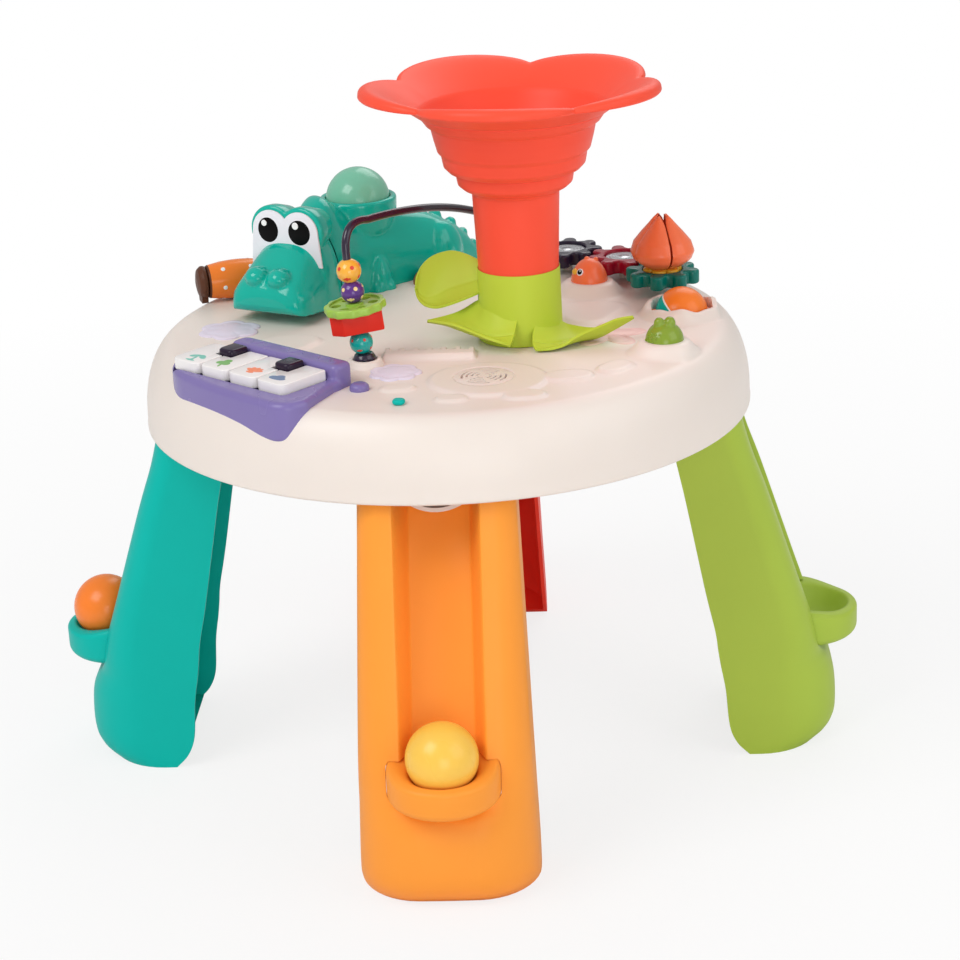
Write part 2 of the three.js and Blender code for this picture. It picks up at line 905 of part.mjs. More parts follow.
function tableBase() {
  const turns = Object.values(legTurns);
  const chutes = turns.map((turn) => chuteRun(turn, channelRadius + chuteWall, chuteWallRise, overrun));
  const runs = turns.map((turn) => chuteRun(turn, channelRadius, 2 * chuteWallRise, 2 * overrun));
  const wellTop = wellFloor + ballDiameter / 2;
  const body = join(
    turned(bandProfile(), tableSides),
    cylinder(wellRadius + wellWall, wellFloor - wellWall, wellTop, 18).translate([flowerX, flowerY, 0]),
    batteryBox(boxWall, trayBottom, trayTop + boxHeight),
    ...chutes,
    ...boardPosts(),
  );
  const bossTop = tableHeight - 4 * shellWall;
  return largest(cut(
    join(body, screwColumns(screwBossRadius, trayBottom, bossTop)),
    screwColumns(screwHoleRadius, trayBottom - overrun, bossTop + overrun),
    cylinder(wellRadius, wellFloor, tableHeight, 18).translate([flowerX, flowerY, 0]),
    ...runs,
    ...turns.map(mouthDrop),
    ...turns.map(mouthTrim),
    doorPin(doorPinRadius + gap, boxWidth / 2 + doorMargin - boxWall + doorPinReach)
      .rotate([0, 0, boxTurn]).translate([boxX, boxY, 0]),
    batteryBox(0, trayBottom + doorThick + gap, trayTop + boxHeight - boxWall),
    batteryBox(doorMargin - boxWall, trayBottom - overrun, trayBottom + doorThick + gap),
    ...turns.map(tongueSlots),
  ).decompose());
}

/** Slots in the tray for the snap tongues on top of a leg. */
function tongueSlots(turn) {
  return legTongues(tonguePlay, trayBottom - overrun, trayTop + tongueHeight + overrun).rotate([0, 0, turn]);
}

/** The two snap tongues on top of a leg that points to +X. */
function legTongues(grown, bottom, top) {
  const along = between(legInnerTop, legOuterTop, 0.35);
  const side = (channelRadius + chuteWall + legTopWidth / 2) / 2;
  const half = [tongueWidth / 2 + grown, tongueThick / 2 + grown];
  return join(
    box(along - half[0], along + half[0], side - half[1], side + half[1], bottom, top),
    box(along - half[0], along + half[0], -side - half[1], -side + half[1], bottom, top),
  );
}

// Legs

/** One closed outline of a leg that points to +X, at a level, shrunk by a wall. */
function legRing(level, wall, open) {
  const [heightShare, innerShare, outerShare, slideShare, cornerShare] = level;
  const height = legTop * heightShare;
  const inner = between(legInnerTop, legInnerFoot, innerShare) - (open ? overrun : 0);
  const outer = between(legOuterTop, legOuterFoot, outerShare) - wall;
  const half = between(legFootWidth, legTopWidth, heightShare) / 2 - wall;
  const corner = between(railCorner, shoeCorner, cornerShare);
  const depth = slideDepthTop * slideShare;
  const slideHalf = channelRadius + chuteWall + 2 * gap + wall;
  const dish = slideDish * Math.min(1, slideShare * 2);
  const side = [vector(inner, half, height)];
  const cornerSteps = 2;
  for (let i = 0; i <= cornerSteps; i += 1) {
    const angle = (Math.PI / 2) * (i / cornerSteps);
    const reach = outer - corner + corner * Math.sin(angle);
    side.push(vector(reach, half - corner + corner * Math.cos(angle), height));
  }
  const railEnd = Math.min(slideHalf, half - corner - gap);
  const faceAt = (across) => outer + legCrown * (1 - Math.pow(across / half, 2));
  side.push(
    vector(faceAt(railEnd), railEnd, height),
    vector(faceAt(railEnd * 0.95) - depth * 0.5, railEnd * 0.95, height),
    vector(faceAt(railEnd * 0.84) - depth, railEnd * 0.84, height),
    vector(faceAt(railEnd * 0.32) - depth - dish * 0.8, railEnd * 0.32, height),
  );
  const mirrored = side.map((p) => vector(p.x, -p.y, p.z)).reverse();
  return [...side, ...mirrored];
}

/** The leg's outside as one solid, without its hollow. */
function legBulk() {
  return loft(legLevelShares.map((level) => legRing(level, 0, false)));
}

/** The hollow behind the leg's outer faces, open to the middle of the table. */
function legHollow() {
  const levels = legHollowLevels.map((i) => legRing(legLevelShares[i], legWall, true));
  const floor = levels[0].map((p) => vector(p.x, p.y, legSole));
  const roof = levels[levels.length - 1].map((p) => vector(p.x, p.y, legTop - legWall));
  return loft([floor, ...levels.slice(1, -1), roof]);
}

/** The room that the chute's mouth takes out of a leg. */
function chuteSeat() {
  const radius = channelRadius + chuteWall + 2 * gap;
  const height = chuteMouthHeight + channelRadius;
  const shape = new THREE.Shape();
  shape.absarc(0, height, radius, Math.PI, 2 * Math.PI, false);
  shape.lineTo(radius, height + overrun);
  shape.lineTo(-radius, height + overrun);
  const run = legOuterFoot;
  const options = { depth: run, bevelEnabled: false, curveSegments: 8 };
  return solid(new THREE.ExtrudeGeometry(shape, options).rotateX(Math.PI / 2).rotateZ(Math.PI / 2));
}

function leg(turn) {
  const body = cut(
    join(cut(legBulk(), legHollow(), chuteSeat()), legTongues(0, legTop - legWall, trayTop + tongueHeight)),
    cupBulk(gap),
  );
  const run = chuteRun(turn, channelRadius + chuteWall + 2 * gap, 2 * chuteWallRise, overrun);
  return cut(body.rotate([0, 0, turn]), run);
}

// Cups

/** Plan of a cup on a leg that points to +X, shrunk by a wall. */
function cupShape(wall, back) {
  const half = cupWidth / 2 - wall;
  const nose = cupReach - wall;
  const start = cupReach - cupWidth / 2;
  const shape = new THREE.Shape();
  shape.moveTo(back, -half);
  shape.lineTo(start, -half);
  shape.absellipse(start, 0, nose - start, half, -Math.PI / 2, Math.PI / 2, false);
  shape.lineTo(back, half);
  return shape;
}

function cupBulk(grown) {
  return raised(cupShape(-grown, cupBack - grown), cupTop - cupHeight - grown, cupTop + grown, cupSteps);
}

/** One level of the cup's outside, drawn in by a wall. */
function cupRing(wall, height) {
  return cupShape(wall, cupBack).getPoints(cupSteps).map((p) => vector(p.x, p.y, height));
}

function cup(turn) {
  const bottom = cupTop - cupHeight;
  const outer = loft([
    ...cupRoundShares.map(([inset, rise]) => cupRing(inset * cupRound, bottom + rise * cupRound)),
    cupRing(0, cupTop - cupLip),
    cupRing(cupLip, cupTop),
  ]);
  const hollow = raised(cupShape(cupWall, cupBack - overrun), bottom + cupFloor, cupTop + overrun, cupSteps);
  return cut(outer, hollow).rotate([0, 0, turn]);
}

// Flower

/** Height and radius factor of the bowl's rim at an angle. */
function petalWave(angle) {
  const lobe = Math.abs(Math.cos((petalCount * angle) / 2));
  return Math.pow(lobe, 0.62);
}

/** One face of the bowl as rings of points, from its bottom to the rim. */
function bowlRingsOf(wall) {
  const rings = [];
  const flareShares = [0, 0.09, 0.34, 0.72, 1];
  const riseShares = [0, 0.35, 0.7, 0.92, 1];
  for (let i = 0; i < flareShares.length; i += 1) {
    const ring = [];
    for (let k = 0; k < flowerSides; k += 1) {
      const angle = (2 * Math.PI * k) / flowerSides;
      const wave = petalWave(angle);
      const edge = between(petalNotchRadius, petalTipRadius, wave);
      const top = flowerTop - petalRimDrop * (1 - wave) + wall.lift;
      const inset = wall.inset * (1 - flareShares[i] * 0.6);
      const radius = between(bowlBottomRadius, edge, flareShares[i]) - inset;
      const height = between(bowlBottom + wall.lift, top, riseShares[i]);
      ring.push(vector(radius * Math.cos(angle), radius * Math.sin(angle), height));
    }
    rings.push(ring);
  }
  return rings;
}

/** A round ring of points with as many points as the bowl has. */
function roundRing(radius, height) {
  const ring = [];
  for (let k = 0; k < flowerSides; k += 1) {
    const angle = (2 * Math.PI * k) / flowerSides;
    ring.push(vector(radius * Math.cos(angle), radius * Math.sin(angle), height));
  }
  return ring;
}

/** The stepped cone and tube from the spigot up, as rings, with the wall taken off inside. */
function stalkRings(inset, bottom) {
  const bore = tubeRadius - tubeWall;
  const inside = [roundRing(bore, bottom), roundRing(bore, tubeBottom)];
  const spigot = [roundRing(spigotRadius, bottom), roundRing(spigotRadius, tubeBottom)];
  const low = inset > 0 ? inside : [...spigot, roundRing(tubeRadius, tubeBottom)];
  const rings = [...low, roundRing(inset > 0 ? bore : tubeTopRadius, coneHeights[5])];
  if (inset > 0) return [...rings, roundRing(coneRadii[2] - 2 * inset, coneHeights[2])];
  for (let i = 4; i > 0; i -= 1) {
    rings.push(roundRing(coneRadii[i], coneHeights[i]));
    rings.push(roundRing(coneRadii[i] + coneStep, coneHeights[i] + coneStep));
  }
  return rings;
}

function flower() {
  const outer = loft([...stalkRings(0, spigotBottom), ...bowlRingsOf({ inset: 0, lift: 0 })]);
  const innerBowl = bowlRingsOf({ inset: bowlWall, lift: bowlWall });
  const innerTop = innerBowl[innerBowl.length - 1].map((p) => vector(p.x, p.y, flowerTop + overrun));
  const inner = loft([...stalkRings(bowlWall, spigotBottom - overrun), ...innerBowl, innerTop]);
  return cut(outer, inner).rotate([0, 0, petalTurn]).translate([flowerX, flowerY, 0]);
}

/** The turning cup under the tube: a ball that falls in rolls out at its one mouth. */
function ballGuide() {
  const top = tableHeight - shellWall - 2 * gap;
  const bottom = wellFloor + gap;
  const bore = tubeRadius - tubeWall;
  const outside = cylinder(guideRadius, bottom, top, 20);
  const ramp = loft([
    [
      vector(-guideRadius, -guideRadius, bottom + guideWall + guideFloorDrop),
      vector(guideRadius * 2, -guideRadius, bottom + guideWall / 2),
      vector(guideRadius * 2, -guideRadius, top - guideWall),
      vector(-guideRadius, -guideRadius, top - guideWall),
    ],
    [
      vector(-guideRadius, guideRadius, bottom + guideWall + guideFloorDrop),
      vector(guideRadius * 2, guideRadius, bottom + guideWall / 2),
      vector(guideRadius * 2, guideRadius, top - guideWall),
      vector(-guideRadius, guideRadius, top - guideWall),
    ],
  ]);
  const inside = cylinder(guideRadius - guideWall, bottom, top - guideWall, 20).intersect(ramp);
  const mouth = box(
    0, guideRadius * 2, -guideMouthWidth / 2, guideMouthWidth / 2, bottom + guideWall, top - guideWall,
  ).intersect(ramp);
  const socket = cylinder(spigotRadius + 2 * gap, spigotBottom - gap, top + overrun, flowerSides);
  const drop = cylinder(bore, bottom + guideWall + guideFloorDrop, top + overrun, 20);
  return cut(outside, inside, mouth, socket, drop)
    .rotate([0, 0, legTurns.front])
    .translate([flowerX, flowerY, 0]);
}

/** One scoop leaf that points to +X, grown from the middle of the tube to its tip. */
function leaf(form) {
  const shares = form.oval ? ovalWidthShares : fanWidthShares;
  const rings = shares.map((share, i) => {
    const along = i / leafRings;
    const place = between(collarRadius / 2, leafSpan * form.reach, along);
    const rise = leafSpan * between(form.root, form.tip, Math.sin(along * Math.PI / 2));
    const middle = tableHeight + rise;
    const upper = [];
    const lower = [];
    for (let k = -leafRows; k <= leafRows; k += 1) {
      const across = Math.abs(k) / leafRows;
      const width = leafSpan * (k < 0 ? -form.right : form.left);
      const curlShare = (k < 0 ? form.rightCurl : form.leftCurl) * Math.pow(across, 1.5) * share;
      const curl = leafSpan * curlShare;
      upper.push(vector(place, width * across * share, middle + curl + leafThick));
      lower.unshift(vector(place, width * across * share, middle + curl));
    }
    return [...upper, ...lower];
  });
  return loft(rings).rotate([0, 0, form.turn]);
}

function leafCollar() {
  const top = tableHeight + collarHeight;
  const seat = tableHeight + gap;
  const stem = turnedRing([
    [spigotRadius + gap, tableHeight - shellWall],
    [collarRadius - collarPlay, tableHeight - shellWall],
    [collarRadius - collarPlay, seat],
    [collarRadius, seat],
    [collarRadius, top],
    [spigotRadius + gap, top],
  ], collarSides);
  const leaves = leafShares.map(leaf);
  const bore = cylinder(spigotRadius + gap, tableHeight - shellWall - overrun, top + overrun, collarSides);
  const above = cylinder(tubeRadius + 2 * gap, top, flowerTop, collarSides);
  return cut(join(stem, ...leaves), bore, above).translate([flowerX, flowerY, 0]);
}

// Crocodile

/** A domed section across a body that lies along X, from one side over the top to the other. */
function domedRing(along, shift, half, bottom, top, roundness, steps) {
  const ring = [];
  for (let i = 0; i <= steps; i += 1) {
    const angle = (Math.PI * i) / steps;
    const across = Math.sign(Math.cos(angle)) * Math.pow(Math.abs(Math.cos(angle)), roundness);
    const rise = Math.pow(Math.abs(Math.sin(angle)), roundness);
    ring.push(vector(along, shift + half * across, bottom + (top - bottom) * rise));
  }
  return ring;
}

/** The crocodile's back, neck and tail as one bulk that lies along X, shrunk by a wall. */
function crocBulk(wall) {
  const floor = wall > 0 ? tableHeight - overrun : tableHeight + gap;
  const roundness = 0.72;
  const rings = bodyStationShares.map(([along, shift, half, height], i) => {
    const end = i === 0 ? wall : (i === bodyStationShares.length - 1 ? -wall : 0);
    return domedRing(
      along * crocLength + end, shift * crocLength, Math.max((half * crocWidth) / 2 - wall, wall),
      floor, Math.max(tableHeight + height * crocHeight - wall, tableHeight + wall), roundness, bodyArcSteps,
    );
  });
  return loft(rings);
}

/** The rounded cup on the back that the ball sits in. */
function seatCup() {
  const rim = seatRimHeight - tableHeight;
  const lip = seatRimRadius - ballRadius - seatPlay;
  const points = [
    [0, gap],
    [seatRimRadius - lip, gap],
    [seatRimRadius, rim * 0.5],
    [seatRimRadius, rim - lip],
    [seatRimRadius - lip * 0.25, rim - lip * 0.25],
    [seatRimRadius - lip * 0.6, rim],
    [0, rim],
  ];
  return turned(points, 18).translate([0, 0, tableHeight]);
}

/** The round hollow in which the ball rests, open at the top. */
function seatHollow() {
  const radius = ballRadius + seatPlay / 2;
  const centre = seatRimHeight - seatSink;
  return join(
    ball(radius, 16).translate([0, 0, centre]),
    cylinder(radius, centre, seatRimHeight + overrun, 16),
  );
}

function crocPlaced(body) {
  return body.rotate([0, 0, crocHeading]).translate([crocX, crocY, 0]);
}

function crocFeet() {
  const feet = footPlaceShares.map(([along, side]) => (
    ball(1, 8).scale([footRadius, footRadius, footHeight])
      .translate([along * crocLength, side * footReach, tableHeight])
  ));
  return join(...feet).intersect(box(
    -crocLength, crocLength, -crocLength, crocLength, tableHeight + gap, seatRimHeight,
  ));
}

function crocScales() {
  const scales = scalePlaceShares.map(([along, shift, rise]) => (
    ball(scaleRadius, 6).translate([
      along * crocLength, shift * crocLength, tableHeight + rise * crocHeight - scaleSink,
    ])
  ));
  return join(...scales);
}

function crocBody() {
  const rim = seatRimRadius + crocWall;
  const seatBlock = cylinder(rim, tableHeight + crocHeight / 3, seatRimHeight, 16);
  const hollow = cut(crocBulk(crocWall), seatBlock);
  const whole = cut(join(crocBulk(0), seatCup(), crocFeet(), crocScales()), hollow, seatHollow());
  const head = headPlaced(headBulk(2 * gap));
  return cut(crocPlaced(whole), head, head.translate([0, 0, -buttonTravel]));
}

/** The head's outside, facing +X with its back at the origin, grown by a clearance. */
function headBulk(grown) {
  const rings = headStationShares.map(([along, half, bottom, top, square], i) => {
    const end = i === 0 ? -grown : (i === headStationShares.length - 1 ? grown : 0);
    const low = tableHeight + headLift + bottom * headHeight - grown;
    return domedRing(
      along * headLength + end, 0, (half * headWidth) / 2 + grown,
      low, tableHeight + headLift + top * (headHeight - headLift) + grown, 1 - square / 2, headArcSteps,
    );
  });
  const eyes = [-1, 1].map((side) => (
    eyeBump(grown).translate([eyeFront + grown, side * eyeSpread, tableHeight + eyeRise])
  ));
  const nostrils = [-1, 1].map((side) => (
    ball(nostrilRadius + grown, 8)
      .translate([nostrilPlace, side * nostrilSpread, tableHeight + nostrilRise])
  ));
  return join(loft(rings), ...eyes, ...nostrils);
}

/** One round eye bump about the X axis, with its flat front at the origin. */
function eyeBump(grown) {
  const radius = eyeRadius + grown;
  return turned([
    [0, -eyeDeep - 2 * grown], [radius * 0.8, -eyeDeep * 0.8], [radius, -eyeDeep * 0.35], [radius, -eyeBevel],
    [radius - eyeBevel, 0], [0, 0],
  ], 16).rotate([0, 90, 0]);
}

/** The hollow under the head, open at the bottom. */
function headHollow() {
  const rings = headStationShares.slice(1, -1).map(([along, half, , top, square]) => domedRing(
    along * headLength, 0, (half * headWidth) / 2 - headHollowWall,
    tableHeight - overrun, tableHeight + headLift + top * (headHeight - headLift) - headHollowWall,
    1 - square / 2, headArcSteps,
  ));
  return loft(rings);
}

function headPlaced(body) {
  return body.translate([-headBack, 0, 0]).rotate([0, 0, headHeading]).translate([headX, headY, 0]);
}

function crocHead() {
  return headPlaced(cut(headBulk(0), headHollow()));
}

/** The white eye plate, laid on the flat front of the two eye bumps. */
function crocEyes() {
  const radius = eyeRadius - eyeBevel;
  const lobes = [-1, 1].map((side) => (
    cylinder(radius, 0, eyePlateThick, 18).rotate([0, 90, 0]).translate([0, side * eyeSpread, 0])
  ));
  const apron = box(0, eyePlateThick, -eyeSpread - radius, eyeSpread + radius, -eyeRadius * 1.5, 0);
  const plate = join(...lobes, apron).translate([eyeFront + gap, 0, tableHeight + eyeRise]);
  return headPlaced(largest(cut(plate, headBulk(gap)).decompose()));
}

/** The largest of several separate solids. */
function largest(parts) {
  return parts.reduce((best, part) => (part.volume() > best.volume() ? part : best));
}

// Bead wire

/** Direction of the wire's straight front end, which leans to the left. */
function wireDirection() {
  return vector(-Math.sin(wireLean * degree), 0, Math.cos(wireLean * degree));
}

/** A point on the straight front end of the wire, this far from its foot. */
function wirePoint(along) {
  return vector(wireX, wireY, tableHeight).addScaledVector(wireDirection(), along);
}

/** The wire's middle line, from under the front foot to under the back foot. */
function wireCurve() {
  const path = new THREE.CurvePath();
  const foot = wirePoint(-wireFootDepth);
  const bendStart = wirePoint(wireStraight);
  const corner = wirePoint(wireStraight + wireBendRadius);
  const backCorner = vector(wireBackX, wireBackY, wireBackHeight);
  const across = backCorner.clone().sub(corner).normalize();
  const bendEnd = corner.clone().addScaledVector(across, wireBendRadius);
  const lastStart = backCorner.clone().addScaledVector(across, -wireBendRadius);
  const lastEnd = vector(wireBackX, wireBackY, wireBackHeight - wireBendRadius);
  const backFoot = vector(wireBackX, wireBackY, tableHeight - wireFootDepth);
  const arch = lastStart.clone().sub(bendEnd).length();
  const rise = (wireTopHeight - corner.z) * 2;
  const first = bendEnd.clone().addScaledVector(across, arch / 3).add(vector(0, 0, rise));
  const second = lastStart.clone().addScaledVector(across, -arch / 3).add(vector(0, 0, rise));
  path.add(new THREE.LineCurve3(foot, bendStart));
  path.add(new THREE.QuadraticBezierCurve3(bendStart, corner, bendEnd));
  path.add(new THREE.CubicBezierCurve3(bendEnd, first, second, lastStart));
  path.add(new THREE.QuadraticBezierCurve3(lastStart, backCorner, lastEnd));
  path.add(new THREE.LineCurve3(lastEnd, backFoot));
  return path;
}

/** A round section for a rod. */
function roundShape(radius, sides) {
  const points = [];
  for (let i = 0; i < sides; i += 1) {
    const angle = (2 * Math.PI * i) / sides;
    points.push(new THREE.Vector2(radius * Math.cos(angle), radius * Math.sin(angle)));
  }
  return new THREE.Shape(points);
}

function beadWire() {
  const options = { steps: wireSteps, extrudePath: wireCurve(), bevelEnabled: false };
  const rod = solid(new THREE.ExtrudeGeometry(roundShape(wireRadius, wireSides), options));
  const cap = turned([
    [0, 0], [wireCapRadius, 0], [wireCapRadius, wireCapHeight * 0.6], [wireCapRadius * 0.7, wireCapHeight],
    [0, wireCapHeight],
  ], 10).translate([0, 0, gap]);
  const tilted = cap.rotate([0, -wireLean, 0]).translate([wireX, wireY, tableHeight])
    .intersect(box(-tableRadius, tableRadius, -tableRadius, tableRadius, tableHeight + gap, wireTopHeight));
  return join(rod, tilted, cap.translate([wireBackX, wireBackY, tableHeight]));
}

/** A bead that stands on the one below it, turned to lie along the leaning wire. */
function onWire(body, along) {
  const place = wirePoint(along);
  return body.rotate([0, -wireLean, 0]).translate([place.x, place.y, place.z]);
}

/** The beads from the foot up: name, half height and form round the wire. */
function wireBeads() {
  const bore = (half) => cylinder(beadBoreRadius, -half - overrun, half + overrun, 6);
  const round = (radius) => cut(ball(radius, 10).intersect(box(
    -radius, radius, -radius, radius, -radius * 0.94, radius * 0.94,
  )), bore(radius));
  const block = new THREE.Shape([
    new THREE.Vector2(-blockWidth / 2, -blockDepth / 4),
    new THREE.Vector2(-blockWidth / 4, -blockDepth / 2),
    new THREE.Vector2(blockWidth / 2, -blockDepth / 4),
    new THREE.Vector2(blockWidth / 2 - blockTaper, blockDepth / 2),
    new THREE.Vector2(-blockWidth / 2 + blockTaper, blockDepth / 2),
  ]);
  return [
    { name: 'bead_teal', half: tealBeadRadius * 0.94, form: round(tealBeadRadius) },
    { name: 'bead_block', half: blockHeight / 2, form: cut(
      softRaised(block, -blockHeight / 2, blockHeight / 2, blockTaper / 3, 1), bore(blockHeight),
    ) },
    { name: 'bead_wheel', half: wheelThick / 2, form: cut(beadWheel(), bore(wheelThick)) },
    { name: 'bead_purple', half: purpleBeadRadius * 0.94, form: round(purpleBeadRadius) },
    { name: 'bead_yellow', half: yellowBeadRadius * 0.94, form: round(yellowBeadRadius) },
  ];
}

/** The green wheel: a lobed rim, a dished top and a ring of holes. */
function beadWheel() {
  const low = -wheelThick / 2;
  const high = wheelThick / 2;
  const rim = raised(lobedShape(wheelRadius, wheelHoleCount * 2, 0.08, 24), low, high, 1);
  const holes = [];
  for (let i = 0; i < wheelHoleCount; i += 1) {
    const angle = (2 * Math.PI * i) / wheelHoleCount;
    holes.push(
      cylinder(wheelHoleRadius, low - overrun, high + overrun, 6)
        .translate([wheelHoleCircle * Math.cos(angle), wheelHoleCircle * Math.sin(angle), 0]),
    );
  }
  const dish = tube(beadBoreRadius * 1.8, wheelRadius * 0.84, high - wheelDish, high + overrun, 16);
  return cut(rim, dish, ...holes);
}

// Keyboard

function keyboardPlaced(body) {
  return body.rotate([0, 0, keyboardTurn]).translate([keyboardX, keyboardY, 0]);
}

/** Plan of the keyboard case, with its outer side bowed and its left end drawn in. */
function keyboardShape() {
  const half = keyboardLength / 2;
  const side = keyboardWidth / 2;
  const shape = new THREE.Shape();
  shape.moveTo(-half * 0.9, side);
  shape.quadraticCurveTo(-half * 1.08, side, -half * 1.08, side * 0.3);
  shape.lineTo(-half * 1.04, -side * 0.2);
  shape.quadraticCurveTo(-half * 0.9, -side * 0.62, -half * 0.55, -side * 0.74);
  shape.quadraticCurveTo(0, -side * 1.02, half * 0.8, -side * 0.98);
  shape.quadraticCurveTo(half * 0.98, -side * 0.94, half, -side * 0.5);
  shape.lineTo(half * 0.86, side * 0.45);
  shape.quadraticCurveTo(half * 0.86, side, half * 0.66, side);
  return shape;
}

/** Left edge and width of a white key along the keyboard. */
function keySpan(index) {
  const start = keyRowShift - (keyPitch * keyCount) / 2 + keyPitch * index;
  return [start + keyGap / 2, start + keyPitch - keyGap / 2];
}

const keyBack = () => keyboardWidth / 2 - keyboardBarWidth;

function darkKeySpan(index) {
  const middle = keyRowShift - (keyPitch * keyCount) / 2 + keyPitch * (2 * index + 1);
  return [middle - darkKeyWidth / 2, middle + darkKeyWidth / 2];
}

function roundedPlan(x0, x1, y0, y1, corner) {
  const shape = new THREE.Shape();
  shape.moveTo(x0 + corner, y0);
  shape.lineTo(x1 - corner, y0);
  shape.absarc(x1 - corner, y0 + corner, corner, -Math.PI / 2, 0, false);
  shape.absarc(x1 - corner, y1 - corner, corner, 0, Math.PI / 2, false);
  shape.absarc(x0 + corner, y1 - corner, corner, Math.PI / 2, Math.PI, false);
  shape.absarc(x0 + corner, y0 + corner, corner, Math.PI, 1.5 * Math.PI, false);
  return shape;
}

function keyboardCase() {
  const bottom = keyboardSkirtHeight;
  const [left] = keySpan(0);
  const [, right] = keySpan(keyCount - 1);
  const lip = keyboardRimHeight - keyboardPocketFloor;
  const base = softRaised(keyboardShape(), bottom, keyboardRimHeight, lip / 4, 3);
  const back = keyBack();
  const barShape = roundedPlan(
    left + keyPitch * 0.45, keyboardLength / 2 * 0.84, back + keyGap, keyboardWidth / 2, keyboardBarRadius,
  );
  const bar = softRaised(barShape, keyboardPocketFloor, keyboardBarHeight, lip / 2, 4);
  const lobe = cylinder(keyboardBarRadius, bottom, keyboardPocketFloor + lip / 2, 14)
    .translate([keyboardLength / 2, keyboardWidth / 2 - keyboardBarRadius, 0]);
  const pocketShape = roundedPlan(
    left - keyGap, right + keyGap, back - keyLength - keyGap, back + keyGap / 2, keyCorner,
  );
  const pocket = raised(pocketShape, keyboardPocketFloor, keyboardBarHeight + overrun, 3);
  const solidCase = keyboardPlaced(join(cut(join(base, lobe), pocket), bar));
  return largest(cut(solidCase, tableBulk(gap)).decompose());
}

function whiteKey(index) {
  const [x0, x1] = keySpan(index);
  const back = keyBack();
  const plan = roundedPlan(x0, x1, back - keyLength, back, keyCorner);
  const body = softRaised(plan, keyboardPocketFloor + gap + keyTravel, keyTop, keySlope * 3, 1);
  const notches = [0, 1].map((dark) => {
    const [d0, d1] = darkKeySpan(dark);
    const front = back - darkKeyLength - keyGap;
    return box(d0 - keyGap, d1 + keyGap, front, back + overrun, 0, keyboardBarHeight + overrun);
  });
  return keyboardPlaced(cut(body, ...notches));
}

function darkKey(index) {
  const [x0, x1] = darkKeySpan(index);
  const back = keyBack();
  const plan = roundedPlan(x0, x1, back - darkKeyLength, back, keyCorner);
  return keyboardPlaced(softRaised(
    plan, keyboardPocketFloor + gap + keyTravel, keyTop + darkKeyRise, keySlope * 4, 1,
  ));
}

// Buttons and roller

/** The shared form of a domed button: a dome, a skirt through the hole and a catching flange. */
function buttonBody(radius, height, rise) {
  const base = tableHeight + rise - buttonTravel;
  const points = [[0, tableHeight - shellWall - buttonFlange - gap]];
  points.push([radius + buttonFlange, tableHeight - shellWall - buttonFlange - gap]);
  points.push([radius + buttonFlange, tableHeight - shellWall - gap]);
  points.push([radius, tableHeight - shellWall - gap]);
  points.push([radius, base]);
  const steps = 4;
  for (let i = 1; i < steps; i += 1) {
    const angle = (Math.PI / 2) * (i / steps);
    points.push([radius * Math.cos(angle), base + height * Math.sin(angle)]);
  }
  points.push([0, base + height]);
  return turned(points, buttonSides);
}

function fishButton() {
  const top = tableHeight + moundRise - buttonTravel + fishHeight;
  const finShares = [0.5, 0.14, 0.2];
  const fin = ball(1, 8)
    .scale([fishRadius * finShares[0], fishRadius * finShares[1], fishRadius * finShares[2]])
    .translate([0, 0, top]);
  return join(buttonBody(fishRadius, fishHeight, moundRise), fin).translate([fishX, fishY, 0]);
}

function frogButton() {
  const top = tableHeight + moundRise / 2 - buttonTravel + frogHeight;
  const eyes = [-1, 1].map((side) => (
    ball(frogEyeRadius, 7).translate([side * frogEyeSpread, -frogEyeSpread / 3, top - frogEyeRadius / 2])
  ));
  return join(buttonBody(frogRadius, frogHeight, moundRise / 2), ...eyes).translate([frogX, frogY, 0]);
}

/** The roller's rounded body about the X axis, grown by a clearance. */
function rollerBody(grown) {
  const half = rollerWidth / 2;
  const points = [[0, -half - grown]];
  const steps = 5;
  const flat = 0.5;
  for (let i = 0; i <= steps; i += 1) {
    const angle = Math.PI * (i / steps) - Math.PI / 2;
    const radius = rollerRadius * between(flat, 1, Math.cos(angle));
    points.push([radius + grown, (half + grown) * Math.sin(angle)]);
  }
  points.push([0, half + grown]);
  return turned(points, 18).rotate([0, 90, 0]);
}

function roller() {
  const half = rollerWidth / 2 + rollerAxleLength;
  const axle = cylinder(rollerAxleRadius, -half, half, 8).rotate([0, 90, 0]);
  return join(rollerBody(0), axle).translate([rollerX, rollerY, tableHeight + rollerRise]);
}

// Gears, calyx and bud

/** Plan of a gear with round lobes. */
function gearShape() {
  const shape = new THREE.Shape();
  const lobeCircle = gearTipRadius - gearLobeRadius;
  const opening = 0.62 * Math.PI;
  for (let i = 0; i < gearLobes; i += 1) {
    const angle = (2 * Math.PI * i) / gearLobes;
    shape.absarc(
      lobeCircle * Math.cos(angle), lobeCircle * Math.sin(angle), gearLobeRadius,
      angle - opening, angle + opening, false,
    );
    const valley = angle + Math.PI / gearLobes;
    shape.lineTo(gearBodyRadius * Math.cos(valley), gearBodyRadius * Math.sin(valley));
  }
  return shape;
}

function gear() {
  const top = gearBottom + gearHeight;
  const body = raised(gearShape(), gearBottom, top, 3);
  return cut(
    body,
    cylinder(gearBoreRadius, gearBottom - overrun, top + overrun, 10),
    cylinder(gearRecessRadius, top - gearRecessDepth, top + overrun, 16),
  );
}

/** Angle of each gear's first lobe, so that lobes meet gaps along each line of centres. */
function gearPhases() {
  const step = 360 / gearLobes;
  const phases = [gearTurns[0]];
  for (let i = 0; i < gearTurns.length; i += 1) {
    const ahead = phases[i] - gearTurns[i];
    phases.push(gearTurns[i] + 180 + step / 2 - ahead);
  }
  return phases;
}

